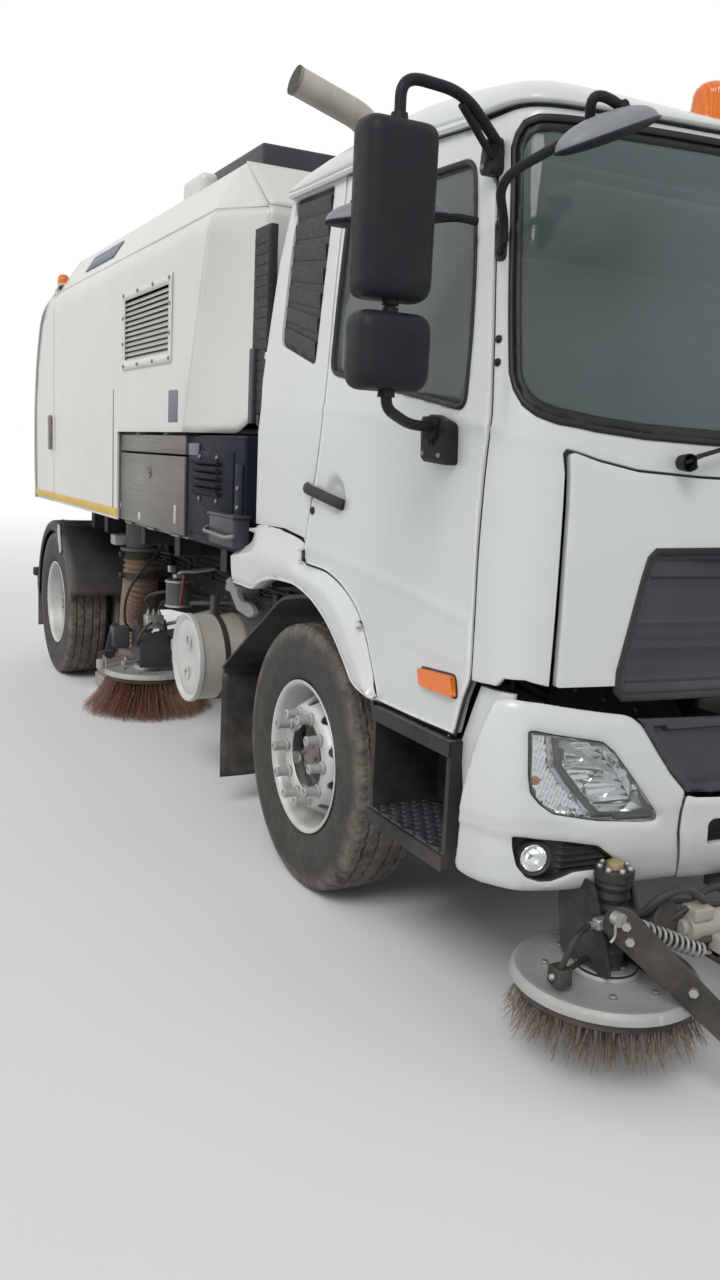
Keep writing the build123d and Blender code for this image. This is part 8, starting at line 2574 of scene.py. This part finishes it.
def fuelTanks():
    # fuel tank: rounded section, pressed ends, straps and filler
    sec = boxLoop(0.565, 0.434, 1.148, 0.948, 0.075, 8)
    rows = []
    mid = sec.mean(0)
    for y, k in ((1.152, 0.9), (1.156, 0.955), (1.17, 0.985), (1.2, 1.0), (1.99, 1.0), (2.03, 0.985),
                 (2.044, 0.955), (2.048, 0.9)):
        s = mid + (sec - mid) * k
        rows.append(np.stack([s[:, 0], np.full(len(s), y), s[:, 1]], 1))
    m = len(sec)
    tank = (np.concatenate(rows), gridFaces(len(rows), m, False, True, flip=True).tolist()
            + [list(range(m)), list(range((len(rows) - 1) * m, len(rows) * m))[::-1]])
    straps, dark = [], []
    for y in (1.33, 1.87):
        loop = grown(sec, 0.0035)
        line = np.stack([loop[:, 0], np.full(m, y), loop[:, 1]], 1)
        straps.append(alongPath(np.vstack([line, line[:2]]), boxLoop(-0.003, -0.022, 0.003, 0.022),
                                caps=False))
        dark += [softBox((0.432, y - 0.035, 0.42), (0.575, y + 0.035, 0.5), 0.008, 2),
                 softBox((0.432, y - 0.03, 0.745), (0.575, y + 0.03, 0.835), 0.008, 2),
                 softBox((0.432, y - 0.032, 0.405), (1.1, y + 0.032, 0.432), 0.008, 2)]
    cap = spun([(0.0, 0.0), (0.0, 0.046), (0.012, 0.048), (0.02, 0.062), (0.05, 0.062), (0.056, 0.056),
                (0.058, 0.0)], 40, "z")
    cap = shifted(cap, (1.0, 1.62, 0.938))
    gauge = spun([(0.945, 0.0), (0.945, 0.035), (0.955, 0.035), (0.957, 0.0)], 24, "z", (0.8, 1.45, 0))
    meshFrom("fuelTank", tank, "drumGrey", slot="steel", instead=["tanks"])
    meshFrom("tankStraps", joined(straps), "steelBright")
    meshFrom("tankFittings", joined([cap, gauge]), "blackPlastic")
    # air tanks with dished ends, drains and bands
    z, r, x = 0.8, 0.128, 0.64
    air = spun([(2.252, 0.0), (2.256, 0.05), (2.27, 0.095), (2.295, r - 0.006), (2.31, r), (2.89, r),
                (2.905, r - 0.006), (2.93, 0.095), (2.944, 0.05), (2.948, 0.0)], 48, "y", (x, 0, z))
    for y in (2.4, 2.8):
        dark += [hoop(y - 0.016, y + 0.016, r, r + 0.003, 48, "y", (x, 0, z)),
                 softBox((0.432, y - 0.02, z + 0.02), (x - r + 0.02, y + 0.02, z + 0.09), 0.006, 2)]
    dark += [spun([(z - r - 0.018, 0.0), (z - r - 0.018, 0.01), (z - r + 0.004, 0.012),
                   (z - r + 0.004, 0.0)], 12, "z", (x, 2.6, 0)),
             tube([(0.64, 2.95, 0.83), (0.62, 3.02, 0.86), (0.5, 3.05, 0.9), (0.45, 3.2, 0.9)], 0.008, 0.05,
                  8)]
    meshFrom("airTank", air, "frameBlack")
    meshFrom("tankBrackets", joined(dark), "frameBlack")
    # battery box and locker behind the fuel tank's end
    box = [softBox((0.8, 2.12, 0.6), (1.12, 2.52, 0.93), 0.03, 4),
           softBox((0.79, 2.11, 0.86), (1.13, 2.53, 0.95), 0.03, 4)]
    for k in range(6):
        box.append(softBox((1.118, 2.17 + 0.055 * k, 0.64), (1.13, 2.195 + 0.055 * k, 0.83), 0.005, 1))
    box += [softBox((0.43, 2.2, 0.66), (0.82, 2.24, 0.7), 0.005, 1),
            softBox((0.43, 2.42, 0.66), (0.82, 2.46, 0.7), 0.005, 1)]
    meshFrom("batteryBox", joined(box), "blackPlastic")


def guards():
    # front liners: arched sheet with ribs and a turned edge, hanging flap, pale bracket and reflector
    line = eased([(-0.56, 0.815), (-0.4, 1.01), (-0.06, 1.158), (0.24, 1.12), (0.5, 0.98), (0.955, 0.695)],
                 0.03)
    flap = np.array([(0.953, 0.66), (0.957, 0.5), (0.96, 0.33), (0.956, 0.152)])
    for side, word in sides:
        xs = np.concatenate([[0.752, 0.756], np.linspace(0.79, 1.08, 12), [1.114, 1.118]])
        lift = np.concatenate([[-0.014, -0.002], np.zeros(12), [-0.002, -0.014]])
        d = np.gradient(line, axis=0)
        d /= np.linalg.norm(d, axis=1)[:, None]
        nrm = np.stack([-d[:, 1], d[:, 0]], 1)
        ribs = 0.004 * np.sin(np.arange(len(line)) * 1.1)[:, None] * ((xs > 0.8) & (xs < 1.07))[None]
        y = line[:, :1] + nrm[:, :1] * (lift[None] + ribs - 0.008)
        z = line[:, 1:] + nrm[:, 1:] * (lift[None] + ribs - 0.008)
        plate("frontLiner_" + word, facing(sheetOf(xs[None], y, z), side), "guardBlack",
              instead=["mudguards"] if side > 0 else ())
        f = eased(flap, 0.03)
        xs2 = np.linspace(0.752, 1.118, 12)
        wave = 0.004 * np.sin(xs2 * 17)[None] * np.linspace(0, 1, len(f))[:, None]
        sheet = sheetOf(xs2[None], f[:, :1] + wave - 0.004, f[:, 1:], flip=True)
        plate("frontFlap_" + word, facing(sheet, side), "guardBlack", depth=0.005, offset=0)
        extra = [softBox((0.76, 0.944, 0.655), (1.11, 0.968, 0.695), 0.004, 2),
                 softBox((0.43, 0.59, 0.862), (0.77, 0.64, 0.905), 0.008, 2)]
        meshFrom("linerStay_" + word, facing(joined(extra), side), "frameBlack")
        disc = spun([(0.0, 0.0), (0.0, 0.021), (0.006, 0.022), (0.009, 0.018), (0.009, 0.0)], 24, "y",
                    (1.085, 0.962, 0.545))
        meshFrom("flapReflector_" + word, facing(disc, side), "reflector")
        brace = [slab(roundedLoop([(0.5, 1.0), (0.56, 0.975), (0.7, 0.985), (0.86, 1.1), (0.8, 1.125),
                                   (0.68, 1.035), (0.55, 1.035)], 0.02, 5), (1.12, 0, 0), *upright, 0.03,
                      0.004), softBox((1.05, 0.72, 1.055), (1.148, 0.86, 1.085), 0.006, 2)]
        meshFrom("linerBrace_" + word, facing(joined(brace), side), "mirrorGrey")
        # rear guard: arch with a turned-down outer lip and a long flap
        t = np.radians(np.linspace(0, 168, 50))
        xs = np.concatenate([[0.622, 0.628], np.linspace(0.66, 1.17, 14), [1.205, 1.218, 1.221, 1.221]])
        drop = np.concatenate([[-0.012, -0.003], np.zeros(14), [-0.003, -0.012, -0.03, -0.075]])
        rad = 0.598 + drop[None] + 0.003 * np.sin(t * 24)[:, None] * ((xs > 0.68) & (xs < 1.15))[None]
        arch = sheetOf(xs[None], wheelbase + rad * np.cos(t)[:, None], axleZ + rad * np.sin(t)[:, None])
        plate("rearGuard_" + word, facing(arch, side), "guardBlack", depth=0.005)
        rows = np.linspace(0.525, 0.255, 9)
        xs3 = np.linspace(0.64, 1.215, 14)
        wave = 0.006 * np.sin(xs3 * 12)[None] * np.linspace(0, 1, 9)[:, None]
        sheet = sheetOf(xs3[None], 4.843 + wave, rows[:, None], flip=True)
        plate("rearFlap_" + word, facing(sheet, side), "guardBlack", offset=0)
        stays = [tube([(0.43, 4.25, 1.065), (0.9, 4.25, 1.075), (1.16, 4.25, 1.108)], 0.016, 0.05, 14),
                 tube([(0.43, 4.72, 0.8), (0.8, 4.76, 0.8), (1.1, 4.79, 0.765)], 0.014, 0.05, 12),
                 softBox((0.66, 4.835, 0.5), (1.2, 4.862, 0.535), 0.005, 2)]
        meshFrom("guardStays_" + word, facing(joined(stays), side), "frameBlack")
        pale = roundedLoop([(3.94, 0.92), (3.99, 0.9), (4.06, 1.06), (4.04, 1.11), (3.99, 1.09)], 0.012, 4)
        pale = slab(pale, (1.224, 0, 0), *upright, 0.006, 0.001)
        meshFrom("guardBracket_" + word, facing(pale, side), "paleShell")
        small = softBox((0.9, 3.25, 1.03), (1.03, 3.36, 1.098), 0.012, 3)
        meshFrom("valveBox_" + word, facing(small, side), "paleShell")
        stub = [softBox((1.18, 4.915, 0.632), (1.235, 4.96, 0.7), 0.014, 3),
                tube([(1.19, 4.94, 0.6), (1.2, 4.94, 0.64)], 0.008, 0.01, 8)]
        meshFrom("stubLamp_" + word, facing(joined(stub), side), "greyPlastic")


def rearLamps():
    housing, red, amber, clear, dark = [], [], [], [], []
    for s in (-1, 1):
        x0, x1 = sorted((s * 0.702, s * 1.128))
        housing.append(softBox((x0, 4.917, 0.622), (x1, 4.972, 0.728), 0.014, 3))
        w = (x1 - x0 - 0.03) / 4
        for k, group in enumerate((red, red, amber, clear) if s < 0 else (clear, amber, red, red)):
            a = x0 + 0.015 + k * w
            group.append(softBox((a + 0.003, 4.965, 0.632), (a + w - 0.003, 4.984, 0.718), 0.008, 3))
        dark.append(softBox((s * 0.905 - 0.012, 4.935, 0.6), (s * 0.905 + 0.012, 4.965, 0.63), 0.003, 1))
    meshFrom("rearLampBox", joined(housing + dark), "blackPlastic", instead=["rear_lamps"])
    meshFrom("rearLampRed", joined(red), "redLens")
    meshFrom("rearLampAmber", joined(amber), "amberLens")
    meshFrom("rearLampClear", joined(clear), "lampClear")
    meshFrom("rearPlate", softBox((-0.26, 4.975, 0.655), (0.26, 4.982, 0.765), 0.003, 2), "plateBare")
    meshFrom("rearPlateHolder", joined([softBox((-0.275, 4.955, 0.64), (0.275, 4.976, 0.78), 0.008, 2),
                                        softBox((-0.06, 4.965, 0.778), (0.06, 4.99, 0.8), 0.006, 2),
                                        softBox((-0.2, 4.72, 0.68), (-0.16, 4.96, 0.72), 0.004, 1),
                                        softBox((0.16, 4.72, 0.68), (0.2, 4.96, 0.72), 0.004, 1)]),
             "blackPlastic")


rails()
leafSprings()
axles()
engineParts()
subFrame()
fuelTanks()
guards()
rearLamps()
print("frame and running gear made")


# what is left of the solids, each with a worn finish of its own

plain = {"white_paint": "cabPaint", "frame_paint": "frameBlack", "navy_paint": "bluePaint",
         "pale_grey_paint": "paleShell", "black_plastic": "blackPlastic", "interior_plastic": "dashPlastic",
         "tyre": "tyreRubber", "wheel_paint": "wheelSilver", "steel": "steelDusty", "cast": "castGrey",
         "glass": "glass", "lamp": "lampClear", "amber": "amberLens", "red_lamp": "redLens",
         "hose": "hoseBlack", "bristle": "bristle"}
# some solids wear a finish other than the one their paint names
special = {"cab_back_wall": "cabPaint", "cab_floor": "frameBlack", "mudguards": "blackPlastic",
           "tanks": "drumGrey", "suction_nozzle": "steelDusty"}


def dressSolids():
    for name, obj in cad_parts.items():
        if obj.type != "MESH":
            continue
        for k, part in enumerate(obj.data.materials):
            key = special.get(name)
            if key is None:
                word = (part.name if part else "").split(".")[0]
                key = next((v for s, v in plain.items() if s in word), None)
            if key is None:
                key = "steelDusty"
            obj.data.materials[k] = look[key]
        if not obj.data.materials:
            obj.data.materials.append(look[special.get(name, "steelDusty")])


dressSolids()
print("pieces made:", len(made))
